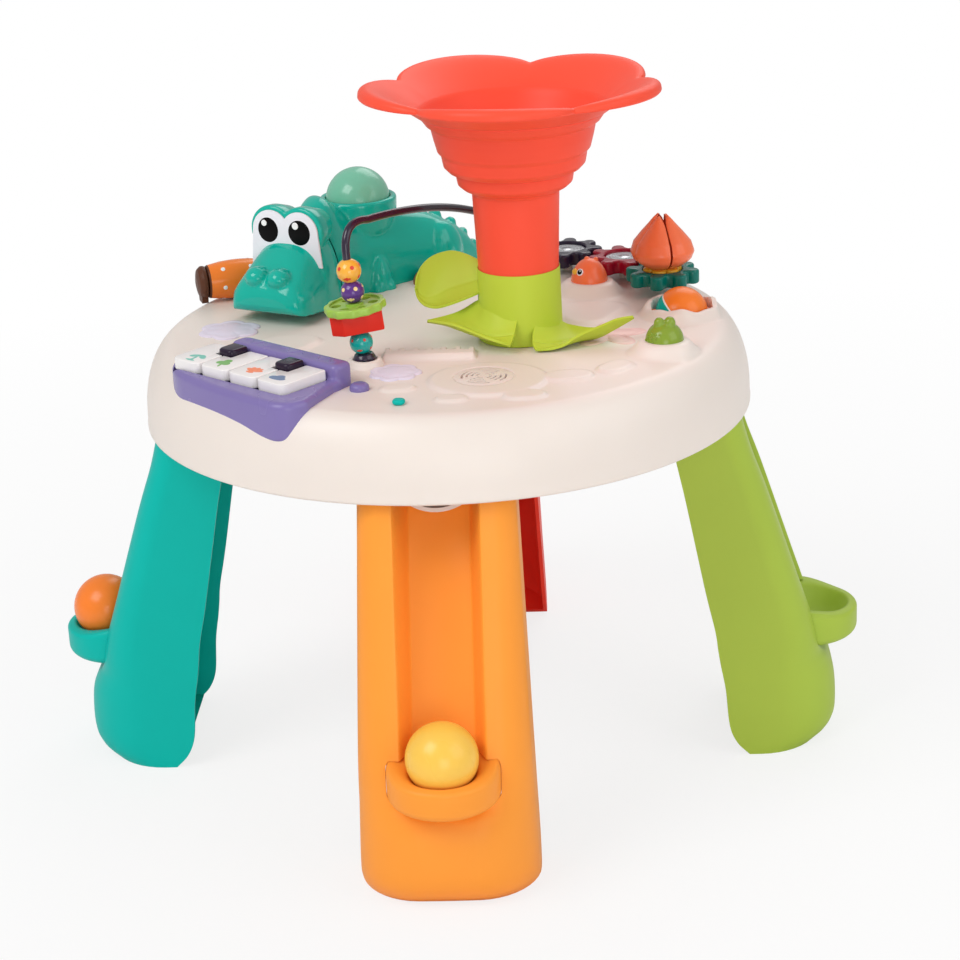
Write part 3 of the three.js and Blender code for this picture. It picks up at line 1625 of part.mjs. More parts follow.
function gearDisc() {
  const seat = gearBottom + gearHeight - gearRecessDepth + gap;
  return cylinder(gearDiscRadius, seat, seat + gearDiscThick, 20);
}

/** The yellow sepals between the gear and the bud. */
function calyx() {
  const seat = gearBottom + gearHeight - gearRecessDepth + gap;
  const sepal = lobedShape(calyxRadius, budPetals, 0.3, 24);
  const foot = cylinder(gearDiscRadius, seat, seat + gearRecessDepth + gap, 16);
  return join(foot, raised(sepal, seat + gearRecessDepth, seat + calyxHeight, 1));
}

/** The closed bud: six petals that lean together, with a groove between each two. */
function flowerBud() {
  const bottom = gearBottom + gearHeight - gearRecessDepth + 2 * gap + calyxHeight;
  const sides = budPetals * 4;
  const rings = budOutlineShares.map(([height, radius]) => {
    const ring = [];
    for (let k = 0; k < sides; k += 1) {
      const angle = (2 * Math.PI * k) / sides;
      const seam = Math.pow(Math.abs(Math.cos((budPetals * angle) / 2)), 6);
      const r = Math.max(radius * budRadius - budGroove * seam * Math.min(1, radius * 2), gap);
      ring.push(vector(r * Math.cos(angle), r * Math.sin(angle), bottom + height * budHeight));
    }
    return ring;
  });
  return loft(rings);
}

// Barrel, dome and mode switch

function barrelPlaced(body) {
  return body.rotate([0, 0, barrelTurn]).translate([barrelX, barrelY, 0]);
}

function barrelRoller() {
  const half = barrelLength / 2;
  const bulge = barrelRadius + barrelBulge;
  const body = turned([
    [0, -half], [barrelRadius * 0.72, -half], [barrelRadius, -half + barrelCapLength / 2],
    [barrelRadius + barrelBulge / 2, -half + barrelCapLength], [bulge, 0],
    [barrelRadius + barrelBulge / 2, half - barrelCapLength], [barrelRadius, half - barrelCapLength / 2],
    [barrelRadius * 0.72, half], [0, half],
  ], 14).rotate([0, 90, 0]);
  const pin = half + barrelPostThick + gap;
  const pins = cylinder(barrelPinRadius, -pin, pin, 8).rotate([0, 90, 0]);
  return barrelPlaced(join(body, pins).translate([0, 0, barrelRise]));
}

/** One of the two cheeks in which the barrel turns, at its left (-1) or right (1) end. */
function barrelCheek(side) {
  const near = barrelLength / 2 + barrelPostPlay;
  const far = near + barrelPostThick;
  const ends = [Math.min(side * near, side * far), Math.max(side * near, side * far)];
  const half = barrelPostWidth / 2;
  const head = raised(roundShape(half, barrelPostSides), ends[0], ends[1], 1).rotate([0, 90, 0]);
  const neck = box(ends[0], ends[1], -half, half, tableHeight - overrun - barrelRise, 0);
  const hole = cylinder(barrelPinRadius + gap, ends[0] - overrun, ends[1] + overrun, barrelPostSides)
    .rotate([0, 90, 0]);
  const cheek = cut(join(head, neck), hole).translate([0, 0, barrelRise]);
  return cut(barrelPlaced(cheek), tableBulk(gap));
}

function bumperDome() {
  const points = [[0, 0]];
  const steps = 3;
  for (let i = 0; i < steps; i += 1) {
    const angle = (Math.PI / 2) * (i / steps);
    points.push([domeRadius * Math.cos(angle), domeHeight * Math.sin(angle)]);
  }
  points.push([0, domeHeight]);
  return turned(points, 14).translate([domeX, domeY, tableHeight + gap]);
}

function modeSwitch() {
  const knob = softRaised(
    roundedPlan(-switchRadius, switchRadius, -switchRadius, switchRadius, switchRadius / 2),
    tableHeight + gap, tableHeight + switchRise, switchRadius / 4, 1,
  );
  const stem = cylinder(
    switchRadius - switchFlange / 2, tableHeight - shellWall - switchFlange - gap, tableHeight + 2 * gap, 8,
  );
  const foot = cylinder(
    switchRadius + switchFlange / 2,
    tableHeight - shellWall - switchFlange - gap,
    tableHeight - shellWall - gap,
    8,
  );
  return join(knob, stem, foot).rotate([0, 0, switchTurn]).translate([switchX, switchY, 0]);
}

// Electronics inside

function speaker() {
  const front = tableHeight - shellWall - gap;
  return turned([
    [0, front - speakerDepth],
    [speakerRadius * 0.45, front - speakerDepth],
    [speakerRadius * 0.45, front - speakerDepth / 2],
    [speakerRadius * 0.9, front - speakerDepth / 6],
    [speakerRadius, front - speakerDepth / 6],
    [speakerRadius, front],
    [speakerRadius * 0.9, front],
    [speakerRadius * 0.4, front - speakerDepth / 3],
    [0, front - speakerDepth / 3],
  ], 14).translate([speakerX, speakerY, 0]);
}

function boardCorners() {
  const inset = boardPostRadius * 1.5;
  return [-1, 1].flatMap((x) => [-1, 1].map((y) => (
    [boardX + x * (boardLength / 2 - inset), boardY + y * (boardWidth / 2 - inset)]
  )));
}

function boardPosts() {
  return boardCorners().map(([x, y]) => (
    cylinder(boardPostRadius, trayTop - shellWall / 2, trayTop + boardRise, 6).translate([x, y, 0])
  ));
}

function circuitBoard() {
  const bottom = trayTop + boardRise + gap;
  const plate = box(
    boardX - boardLength / 2, boardX + boardLength / 2, boardY - boardWidth / 2, boardY + boardWidth / 2,
    bottom, bottom + boardThick,
  );
  const chip = box(
    boardX - boardWidth / 6, boardX + boardWidth / 6, boardY - boardWidth / 6, boardY + boardWidth / 6,
    bottom + boardThick / 2, bottom + 2 * boardThick,
  );
  return join(plate, chip);
}

function battery(index) {
  const place = (index - (batteryCount - 1) / 2) * (batteryDiameter + gap + gap);
  const tip = batteryDiameter / 6;
  const body = turned([
    [0, -batteryLength / 2], [batteryDiameter / 2, -batteryLength / 2],
    [batteryDiameter / 2, batteryLength / 2 - gap * 2], [tip, batteryLength / 2 - gap * 2],
    [tip, batteryLength / 2 + gap * 2], [0, batteryLength / 2 + gap * 2],
  ], 12).rotate([0, index % 2 === 0 ? 90 : -90, 0]);
  return body
    .translate([0, place, trayBottom + doorThick + 2 * gap + batteryDiameter / 2])
    .rotate([0, 0, boxTurn]).translate([boxX, boxY, 0]);
}

/** Middle line of the door's hinge pin, along Y before the box is turned. */
function doorPin(radius, reach) {
  const edge = boxLength / 2 + doorMargin - boxWall - gap - (doorThick - gap) / 2;
  return cylinder(radius, -reach, reach, 10)
    .rotate([90, 0, 0]).translate([-edge, 0, trayBottom + (doorThick + gap) / 2]);
}

/** The lid under the battery box, with a round hinge edge, a pin through it and a screw hole. */
function batteryDoor() {
  const half = boxLength / 2 + doorMargin - boxWall - gap;
  const side = boxWidth / 2 + doorMargin - boxWall - gap;
  const edge = half - (doorThick - gap) / 2;
  const plate = box(-edge, half, -side, side, trayBottom + gap, trayBottom + doorThick);
  const screw = cylinder(screwHoleRadius, trayBottom - overrun, trayTop + overrun, 10)
    .translate([half - doorMargin, 0, 0]);
  const lid = join(
    cut(plate, screw),
    doorPin((doorThick - gap) / 2, side),
    doorPin(doorPinRadius, side + doorPinReach),
  );
  return lid.rotate([0, 0, boxTurn]).translate([boxX, boxY, 0]);
}

// Colours, roughness and metalness, and the finished scene

function finish(color, roughness, metalness = 0) {
  return { color: new THREE.Color(color), roughness, metalness };
}

const cream = finish('#f0e6da', 0.45);
const coral = finish('#ff5338', 0.4);
const leafGreen = finish('#b4c93e', 0.45);
const teal = finish('#00a894', 0.4);
const glossTeal = finish('#00a290', 0.12);
const orange = finish('#ff963a', 0.4);
const red = finish('#e0332c', 0.35);
const moss = finish('#a6bf4b', 0.4);
const yellow = finish('#f6c350', 0.18);
const ballOrange = finish('#fb8530', 0.2);
const mint = finish('#76c7aa', 0.2);
const lilac = finish('#8e7cba', 0.25);
const ivory = finish('#f3eeea', 0.3);
const plum = finish('#2c1d33', 0.3);
const pine = finish('#00705f', 0.3);
const maroon = finish('#a81a34', 0.25);
const navy = finish('#282030', 0.3);
const silver = finish('#c8c8cc', 0.25, 0.8);
const budCoral = finish('#fb6a45', 0.3);
const amber = finish('#f0b63c', 0.35);
const frogGreen = finish('#8fab3c', 0.25);
const brown = finish('#8a4a2a', 0.35);
const board = finish('#1f6f4a', 0.5);
const black = finish('#202022', 0.5);

const scene = new THREE.Group();

function add(name, body, look) {
  const mesh = new THREE.Mesh(geometryOf(body), new THREE.MeshStandardMaterial(look));
  mesh.name = name;
  scene.add(mesh);
}

function addGears() {
  const names = ['gear_teal', 'gear_maroon', 'gear_navy'];
  const looks = [pine, maroon, navy];
  const phases = gearPhases();
  gearCentres().forEach(([x, y], i) => {
    add(names[i], gear().rotate([0, 0, phases[i]]).translate([x, y, 0]), looks[i]);
    if (i > 0) add(`${names[i]}_disc`, gearDisc().translate([x, y, 0]), silver);
  });
  add('bud_calyx', calyx().translate([gearX, gearY, 0]), amber);
  add('flower_bud', flowerBud().translate([gearX, gearY, 0]), budCoral);
}

function addBeads() {
  const looks = [teal, red, moss, lilac, amber];
  let along = wireCapHeight + gap;
  wireBeads().forEach(({ name, half, form }, i) => {
    along += half + gap;
    add(name, onWire(form, along), looks[i]);
    along += half;
  });
}

function addKeys() {
  for (let i = 0; i < keyCount; i += 1) add(`white_key_${i + 1}`, whiteKey(i), ivory);
  for (let i = 0; i < keyCount / 2; i += 1) add(`dark_key_${i + 1}`, darkKey(i), plum);
}

function ballAt(x, y, z) {
  return ball(ballRadius, 16).translate([x, y, z]);
}

add('table_top', tableTop(), cream);
add('table_base', tableBase(), cream);
const legLooks = { front: orange, right: moss, back: red, left: teal };
for (const [side, turn] of Object.entries(legTurns)) {
  add(`leg_${side}`, leg(turn), legLooks[side]);
  add(`cup_${side}`, cup(turn), legLooks[side]);
}
add('flower', flower(), coral);
add('ball_guide', ballGuide(), coral);
add('leaf_collar', leafCollar(), leafGreen);
add('ball_yellow', ballAt(...legPoint(legTurns.front, ballSeatRadius), ballSeatHeight), yellow);
add('ball_orange', ballAt(...legPoint(legTurns.left, ballSeatRadius), ballSeatHeight), ballOrange);
add('ball_mint', ballAt(crocX, crocY, seatRimHeight - seatSink), mint);
add('croc_body', crocBody(), glossTeal);
add('croc_head', crocHead(), glossTeal);
add('croc_eyes', crocEyes(), ivory);
add('bead_wire', beadWire(), plum);
addBeads();
add('keyboard_case', keyboardCase(), lilac);
addKeys();
add('fish_button', fishButton(), budCoral);
add('frog_button', frogButton(), frogGreen);
add('roller', roller(), ballOrange);
addGears();
add('barrel_roller', barrelRoller(), ballOrange);
add('barrel_post_left', barrelCheek(-1), brown);
add('barrel_post_right', barrelCheek(1), brown);
add('back_dome', bumperDome(), brown);
add('mode_switch', modeSwitch(), teal);
add('speaker', speaker(), black);
add('circuit_board', circuitBoard(), board);
for (let i = 0; i < batteryCount; i += 1) add(`battery_${i + 1}`, battery(i), silver);
add('battery_door', batteryDoor(), cream);

export default scene;
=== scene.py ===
"""Musical activity table for toddlers: round shell on four slide legs, with toys on its top.

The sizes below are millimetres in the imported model's frame, and raw_object turns them into metres.
The studio's own sizes are metres.
"""

from __future__ import annotations

import logging
from collections.abc import Callable, Iterable, Sequence
from dataclasses import dataclass, field
from enum import Enum
from math import acos, asin, atan2, copysign, cos, degrees, exp, hypot, pi, radians, sin, sqrt, tan

import bmesh
import bpy
import numpy as np
from mathutils import Matrix, Vector

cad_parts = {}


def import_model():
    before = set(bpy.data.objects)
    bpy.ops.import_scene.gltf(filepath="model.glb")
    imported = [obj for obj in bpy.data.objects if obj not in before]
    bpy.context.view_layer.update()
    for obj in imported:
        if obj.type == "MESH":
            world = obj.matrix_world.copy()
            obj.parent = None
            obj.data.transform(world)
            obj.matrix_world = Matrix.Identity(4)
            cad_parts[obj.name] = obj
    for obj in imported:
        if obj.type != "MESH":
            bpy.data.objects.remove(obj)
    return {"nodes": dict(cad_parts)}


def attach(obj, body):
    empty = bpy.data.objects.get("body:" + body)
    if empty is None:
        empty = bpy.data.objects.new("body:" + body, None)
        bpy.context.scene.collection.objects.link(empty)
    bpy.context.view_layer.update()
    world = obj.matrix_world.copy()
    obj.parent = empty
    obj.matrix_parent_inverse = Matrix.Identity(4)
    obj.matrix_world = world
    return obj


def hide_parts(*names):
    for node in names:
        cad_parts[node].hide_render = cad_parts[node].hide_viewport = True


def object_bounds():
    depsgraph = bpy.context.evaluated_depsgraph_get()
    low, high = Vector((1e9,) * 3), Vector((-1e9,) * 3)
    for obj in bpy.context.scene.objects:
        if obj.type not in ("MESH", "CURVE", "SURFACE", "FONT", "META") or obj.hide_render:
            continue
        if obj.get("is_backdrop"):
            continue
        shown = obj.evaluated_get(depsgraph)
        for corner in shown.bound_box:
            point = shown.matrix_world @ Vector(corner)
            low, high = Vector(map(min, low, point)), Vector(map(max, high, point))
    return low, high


LOG = logging.getLogger("activity_table")
METRE = 0.001
ROOT = "table"
TABLE_TOP = 330.0  # the flat level of the table's top
STEM = (57.0, -33.0)  # where the flower's tube stands
MIX_A, MIX_B, MIX_RESULT = 6, 7, 2  # the colour sockets of a mix node

Object = bpy.types.Object
Pair = tuple[float, float]
Spot = tuple[float, float, float]
Outline = Sequence[Pair]


class Axis(Enum):
    """The three directions that a form can be turned about."""

    X = 0
    Y = 1
    Z = 2


class Side(Enum):
    """The four sides of the table that carry a leg, with the leg's turn in degrees."""

    FRONT = -90
    RIGHT = 0
    BACK = 90
    LEFT = 180

    @property
    def word(self) -> str:
        """The side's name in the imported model."""
        return self.name.lower()


class Combine(Enum):
    """How a form changes an object, in the boolean modifier's words."""

    CUT = "DIFFERENCE"
    JOIN = "UNION"


class End(Enum):
    """The two ends of the barrel, with the side of its middle that each is on."""

    LEFT = -1
    RIGHT = 1


# Forms


@dataclass
class Form:
    """Points in millimetres and the faces between them, before they become an object."""

    points: np.ndarray
    faces: list[tuple[int, ...]]

    def moved(self, x: float = 0, y: float = 0, z: float = 0) -> Form:
        """A copy shifted by a distance along each axis."""
        return Form(self.points + np.array([x, y, z]), self.faces)

    def sized(self, x: float, y: float, z: float) -> Form:
        """A copy stretched by a factor along each axis."""
        return Form(self.points * np.array([x, y, z]), self.faces)

    def turned(self, angle: float, axis: Axis = Axis.Z) -> Form:
        """A copy turned about one of the axes through the origin.

        Args:
            angle: The turn in degrees.
            axis: The axis.

        Returns:
            The turned copy.
        """
        unit = [0.0, 0.0, 0.0]
        unit[axis.value] = 1.0
        turn = np.array(Matrix.Rotation(radians(angle), 3, Vector(unit)))
        return Form(self.points @ turn.T, self.faces)

    def aimed(self, normal: Sequence[float]) -> Form:
        """A copy whose Z axis points along a direction."""
        turn = np.array(Vector(normal).normalized().to_track_quat("Z", "Y").to_matrix())
        return Form(self.points @ turn.T, self.faces)

    def upright(self) -> Form:
        """A copy whose flat plan stands up and faces +X."""
        return Form(self.points[:, [2, 0, 1]], self.faces)

    def __add__(self, other: Form) -> Form:
        """Both forms together in one."""
        faces = [tuple(i + len(self.points) for i in face) for face in other.faces]
        return Form(np.vstack([self.points, other.points]), self.faces + faces)


def together(forms: Iterable[Form]) -> Form:
    """All the forms in one."""
    return sum(forms, Form(np.zeros((0, 3)), []))


def between(start: float, end: float, share: float) -> float:
    """The number at a share of the way from start to end."""
    return start + (end - start) * share


def smooth(low: float, high: float, value: np.ndarray | float) -> np.ndarray | float:
    """A soft step from 0 at low to 1 at high."""
    share = np.clip((np.asarray(value) - low) / (high - low), 0.0, 1.0)
    return share * share * (3 - 2 * share)


def loft(rings: Sequence[np.ndarray], capped: bool = True, open_ring: bool = False) -> Form:
    """A skin through rings of points.

    Args:
        rings: Arrays of points, each of the same length.
        capped: Whether a face closes both ends.
        open_ring: Whether the first and last point of a ring stay apart.

    Returns:
        The form of the skin.
    """
    count = len(rings[0])
    points = np.vstack(rings)
    last = count - 1 if open_ring else count
    faces: list[tuple[int, ...]] = []
    for i in range(len(rings) - 1):
        for k in range(last):
            n = (k + 1) % count
            faces.append((i * count + k, i * count + n, (i + 1) * count + n, (i + 1) * count + k))
    if capped:
        faces.append(tuple(range(count))[::-1])
        faces.append(tuple((len(rings) - 1) * count + k for k in range(count)))
    return Form(points, faces)


def lathe(profile: Outline, sides: int = 96) -> Form:
    """A profile of radius and height turned about the Z axis.

    Args:
        profile: Points of radius and height.
        sides: Pieces round the axis.

    Returns:
        The turned form.
    """
    angles = np.linspace(0, 2 * pi, sides, endpoint=False)
    rings = [
        np.stack([r * np.cos(angles), r * np.sin(angles), np.full(sides, float(z))], axis=1)
        for r, z in profile
    ]
    return loft(rings, capped=False)


def rod(radius: float, low: float, high: float, sides: int = 32) -> Form:
    """An upright cylinder about the Z axis."""
    return lathe([(0, low), (radius, low), (radius, high), (0, high)], sides)


def dome_line(radius: float, low: float, rise: float, steps: int) -> list[Pair]:
    """The profile of a dome from its edge to its top."""
    return [(radius * cos(t), low + rise * sin(t)) for t in np.linspace(0, pi / 2, steps)]


def filleted(
    corners: Sequence[tuple[float, ...]], steps: int = 5, closed: bool = True
) -> list[Pair]:
    """An outline whose corners are rounded.

    Args:
        corners: Points as (x, y, radius), where the radius may be left out.
        steps: Pieces in each round.
        closed: Whether the outline joins its last point to its first.

    Returns:
        The points of the rounded outline.
    """
    result: list[Pair] = []
    count = len(corners)
    for i, corner in enumerate(corners):
        here = np.array(corner[:2], dtype=float)
        radius = corner[2] if len(corner) > 2 else 0.0
        if radius <= 0 or (not closed and i in (0, count - 1)):
            result.append(tuple(here))
            continue
        before = np.array(corners[i - 1][:2], dtype=float) - here
        after = np.array(corners[(i + 1) % count][:2], dtype=float) - here
        lengths = np.linalg.norm(before), np.linalg.norm(after)
        before, after = before / lengths[0], after / lengths[1]
        half = acos(float(np.clip(before @ after, -1, 1))) / 2
        reach = min(radius / max(tan(half), 1e-6), lengths[0] * 0.49, lengths[1] * 0.49)
        for k in range(steps + 1):
            t = k / steps
            point = here + before * reach * (1 - t) ** 2 + after * reach * t**2
            result.append((float(point[0]), float(point[1])))
    return result


def prism(outline: Outline, low: float, high: float) -> Form:
    """A flat outline raised from one height to another."""
    plan = np.array(outline, dtype=float)
    return loft([np.column_stack([plan, np.full(len(plan), z)]) for z in (low, high)])


def block(x: Pair, y: Pair, z: Pair) -> Form:
    """A box between two corners."""
    return prism([(x[0], y[0]), (x[1], y[0]), (x[1], y[1]), (x[0], y[1])], z[0], z[1])


def rounded_box(
    x: Pair, y: Pair, front: float, back: float, steps: int = 6
) -> list[Pair]:
    """A rectangle's outline with one radius at its front corners and one at its back corners."""
    return filleted([(x[0], y[0], front), (x[1], y[0], front), (x[1], y[1], back), (x[0], y[1], back)], steps)


def sphere(radius: float, sides: int = 48) -> Form:
    """A ball about the origin."""
    turns = [pi * i / (sides // 2) for i in range(sides // 2 + 1)]
    return lathe([(radius * sin(t), -radius * cos(t)) for t in turns], sides)


def pill(centre: Sequence[float], normal: Sequence[float], radius: float, rise: float, sides: int = 24) -> Form:
    """A thin domed dot that lies on a surface.

    Args:
        centre: The point on the surface.
        normal: The way out of the surface.
        radius: The dot's radius.
        rise: How far it stands proud.
        sides: Pieces round its edge.

    Returns:
        The form of the dot.
    """
    profile = [(0, -rise), (radius, -rise), (radius, rise * 0.4), (radius * 0.85, rise * 0.85), (0, rise)]
    return lathe(profile, sides).aimed(normal).moved(*centre)


def tube(path: Sequence[Sequence[float]], radius: float, sides: int = 24) -> Form:
    """A round rod along a path of points.

    Args:
        path: The points of its middle line.
        radius: Its radius.
        sides: Pieces round it.

    Returns:
        The rod.
    """
    points = [Vector(p) for p in path]
    across = (points[1] - points[0]).orthogonal().normalized()
    rings = []
    for i, point in enumerate(points):
        ahead = (points[min(i + 1, len(points) - 1)] - points[max(i - 1, 0)]).normalized()
        across = (across - ahead * across.dot(ahead)).normalized()
        other = ahead.cross(across)
        ring = [
            point + (across * cos(a) + other * sin(a)) * radius
            for a in np.linspace(0, 2 * pi, sides, endpoint=False)
        ]
        rings.append(np.array([tuple(p) for p in ring]))
    return loft(rings)


def bezier(points: Sequence[Sequence[float]], steps: int) -> list[tuple[float, ...]]:
    """Points along a Bezier curve of any degree.

    Args:
        points: The points that pull the curve.
        steps: Pieces along it.

    Returns:
        The points on the curve.
    """
    controls = [np.array(p, dtype=float) for p in points]
    result = []
    for t in np.linspace(0, 1, steps + 1):
        row = controls
        while len(row) > 1:
            row = [a + (b - a) * t for a, b in zip(row, row[1:])]
        result.append(tuple(float(v) for v in row[0]))
    return result


def through(knots: Sequence[Sequence[float]], steps: int) -> np.ndarray:
    """A smooth curve that passes through every knot, with each column eased on its own.

    Args:
        knots: Rows of numbers.
        steps: Pieces between two knots.

    Returns:
        The rows of the curve.
    """
    rows = np.array(knots, dtype=float)
    padded = np.vstack([2 * rows[0] - rows[1], rows, 2 * rows[-1] - rows[-2]])
    result = []
    for i in range(1, len(padded) - 2):
        p0, p1, p2, p3 = padded[i - 1 : i + 3]
        for k in range(steps):
            t = k / steps
            result.append(
                0.5 * (2 * p1 + (p2 - p0) * t + (2 * p0 - 5 * p1 + 4 * p2 - p3) * t**2
                       + (3 * p1 - p0 - 3 * p2 + p3) * t**3)
            )
    result.append(padded[-2])
    return np.array(result)


# Objects


def bake(thing: Object) -> None:
    """Puts the result of an object's modifiers into its mesh.

    Args:
        thing: The object.
    """
    depsgraph = bpy.context.evaluated_depsgraph_get()
    mesh = bpy.data.meshes.new_from_object(thing.evaluated_get(depsgraph), depsgraph=depsgraph)
    old = thing.data
    thing.modifiers.clear()
    thing.data = mesh
    bpy.data.meshes.remove(old)


def raw_object(name: str, form: Form) -> Object:
    """An object with a form's mesh in metres, faces out and doubled points merged.

    Args:
        name: The object's name.
        form: Its form in millimetres.

    Returns:
        The object.
    """
    mesh = bpy.data.meshes.new(name)
    mesh.from_pydata((form.points * METRE).tolist(), [], form.faces)
    work = bmesh.new()
    work.from_mesh(mesh)
    bmesh.ops.remove_doubles(work, verts=work.verts, dist=1e-6)
    bmesh.ops.dissolve_degenerate(work, edges=work.edges, dist=1e-7)
    bmesh.ops.recalc_face_normals(work, faces=work.faces)
    work.to_mesh(mesh)
    work.free()
    thing = bpy.data.objects.new(name, mesh)
    bpy.context.collection.objects.link(thing)
    return thing


def modified(thing: Object, kind: str, **values: object) -> None:
    """Adds one modifier with its values and bakes it.

    Args:
        thing: The object.
        kind: The modifier's type.
        **values: Its settings.
    """
    modifier = thing.modifiers.new(kind.lower(), kind)
    for key, value in values.items():
        setattr(modifier, key, value)
    bake(thing)


def soften_edges(thing: Object, width: float, steps: int = 3, angle: float = 40) -> None:
    """Rounds an object's sharp edges.

    Args:
        thing: The object.
        width: The width of the round in millimetres.
        steps: Pieces in the round.
        angle: The bend in degrees from which an edge is sharp.
    """
    modified(
        thing, "BEVEL", width=width * METRE, segments=steps, limit_method="ANGLE",
        angle_limit=radians(angle), use_clamp_overlap=True,
    )


def combined(thing: Object, way: Combine, forms: Sequence[Form]) -> None:
    """Changes an object's solid by forms, one after the other.

    Args:
        thing: The object.
        way: What the forms do to it.
        forms: The forms.
    """
    for form in forms:
        tool = raw_object("tool", form)
        modified(thing, "BOOLEAN", operation=way.value, solver="EXACT", object=tool)
        bpy.data.objects.remove(tool)


def cut(thing: Object, *forms: Form) -> None:
    """Takes forms away from an object."""
    combined(thing, Combine.CUT, forms)


def fuse(thing: Object, *forms: Form) -> None:
    """Joins forms to an object."""
    combined(thing, Combine.JOIN, forms)


def settle(thing: Object, x: float, y: float, turn: float = 0.0) -> None:
    """Turns an object's mesh about Z, in degrees, and moves it to its place, in millimetres."""
    shift = Matrix.Translation(Vector((x, y, 0)) * METRE)
    thing.data.transform(shift @ Matrix.Rotation(radians(turn), 4, "Z"))


def joined(things: Sequence[Object]) -> Object:
    """The first of some objects with the meshes of the others added to it.

    Args:
        things: The objects, of which all but the first go.

    Returns:
        The first object.
    """
    work = bmesh.new()
    for thing in things:
        work.from_mesh(thing.data)
    work.to_mesh(things[0].data)
    work.free()
    for thing in things[1:]:
        bpy.data.objects.remove(thing)
    return things[0]


def merge_soft(thing: Object, voxel: float, rounds: int = 6) -> None:
    """Joins an object's crossing bodies into one skin with soft fillets.

    Args:
        thing: The object to change.
        voxel: The finest detail that stays, in millimetres.
        rounds: How often the skin is smoothed.
    """
    modified(thing, "REMESH", mode="VOXEL", voxel_size=voxel * METRE, use_smooth_shade=True)
    modified(thing, "SMOOTH", factor=0.5, iterations=rounds)


@dataclass(frozen=True)
class Dress:
    """What a finished piece rides on and stands for."""

    body: str = ROOT
    slot: str = "cream"
    replaces: tuple[str, ...] = ()


def place(thing: Object, dress: Dress, *finishes: Finish, sharp: float = 35) -> Object:
    """Shades a piece, gives it its finishes and hangs it on its body.

    Args:
        thing: The piece.
        dress: Its body, material slot and the nodes it replaces.
        finishes: Its finishes, in the order of its material slots.
        sharp: The angle in degrees above which an edge stays crisp.

    Returns:
        The same piece.
    """
    mesh = thing.data
    mesh.shade_smooth()
    mesh.set_sharp_from_angle(angle=radians(sharp))
    if len(mesh.materials):
        mesh.materials.clear()
    for finish in finishes:
        mesh.materials.append(finish.material())
    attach(thing, dress.body)
    if dress.replaces:
        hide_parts(*dress.replaces)
    LOG.info("%s: %d faces on %s", thing.name, len(mesh.polygons), dress.body)
    return thing


def piece(name: str, form: Form, dress: Dress, *finishes: Finish, sharp: float = 35) -> Object:
    """A finished piece straight from its form."""
    return place(raw_object(name, form), dress, *finishes, sharp=sharp)


def paint(thing: Object, rule: Callable[[Vector], int]) -> None:
    """Chooses each face's material slot from its middle, in millimetres."""
    for face in thing.data.polygons:
        face.material_index = rule(face.center / METRE)


# Finishes

_MADE: dict[str, bpy.types.Material] = {}


def to_linear(color: tuple[int, int, int]) -> tuple[float, float, float, float]:
    """A colour of 0 to 255 as the shader wants it."""
    parts = [part / 255 for part in color]
    return (*(c / 12.92 if c <= 0.04045 else ((c + 0.055) / 1.055) ** 2.4 for c in parts), 1.0)


def new_node(
    nodes: bpy.types.Nodes, kind: str, values: dict[str, object] | None = None, operation: str = ""
) -> bpy.types.Node:
    """Adds a node and sets its sockets.

    Args:
        nodes: The tree's nodes.
        kind: The node's type.
        values: The numbers or colours of its sockets.
        operation: What a math node does.

    Returns:
        The node.
    """
    node = nodes.new(kind)
    if operation:
        node.operation = operation
    for socket, value in (values or {}).items():
        node.inputs[socket].default_value = value
    return node


@dataclass(frozen=True)
class Finish:
    """A moulded plastic: its colour, shine and the fine unevenness of its skin."""

    name: str
    color: tuple[int, int, int]
    rough: float = 0.35
    coat: float = 0.0
    uneven: float = 0.05
    shade: float = 0.06
    grain: float = 900.0
    bump: float = 0.04
    metal: float = 0.0
    see_in: float = 0.0
    gloss: float = 0.4

    def material(self) -> bpy.types.Material:
        """The node material of this finish, made once.

        Returns:
            The material.
        """
        if self.name not in _MADE:
            _MADE[self.name] = self._make()
        return _MADE[self.name]

    def _make(self) -> bpy.types.Material:
        """Builds the node tree.

        Returns:
            The new material.
        """
        material = bpy.data.materials.new(self.name)
        material.use_nodes = True
        nodes, links = material.node_tree.nodes, material.node_tree.links
        shader = nodes["Principled BSDF"]
        for socket, value in {
            "Metallic": self.metal, "Specular IOR Level": self.gloss, "Coat Weight": self.coat,
            "Coat Roughness": 0.08, "Subsurface Weight": self.see_in, "Subsurface Radius": (0.004, 0.003, 0.002),
        }.items():
            shader.inputs[socket].default_value = value
        spot = nodes.new("ShaderNodeTexCoord")
        cloud = new_node(nodes, "ShaderNodeTexNoise", {"Scale": 22.0, "Detail": 3.0})
        fine = new_node(nodes, "ShaderNodeTexNoise", {"Scale": self.grain, "Detail": 2.0})
        tint = nodes.new("ShaderNodeMix")
        tint.data_type = "RGBA"
        base = to_linear(self.color)[:3]
        tint.inputs[MIX_A].default_value = (*(c * (1 - self.shade) for c in base), 1.0)
        tint.inputs[MIX_B].default_value = (*(min(c * (1 + self.shade), 1.0) for c in base), 1.0)
        rough = new_node(nodes, "ShaderNodeMapRange", {
            "To Min": max(self.rough - self.uneven, 0.03), "To Max": self.rough + self.uneven})
        bump = new_node(nodes, "ShaderNodeBump", {"Strength": self.bump, "Distance": 0.0004})
        links.new(spot.outputs["Object"], cloud.inputs["Vector"])
        links.new(spot.outputs["Object"], fine.inputs["Vector"])
        links.new(cloud.outputs["Fac"], tint.inputs[0])
        links.new(tint.outputs[MIX_RESULT], shader.inputs["Base Color"])
        links.new(cloud.outputs["Fac"], rough.inputs["Value"])
        links.new(rough.outputs["Result"], shader.inputs["Roughness"])
        links.new(fine.outputs["Fac"], bump.inputs["Height"])
        links.new(bump.outputs["Normal"], shader.inputs["Normal"])
        return material


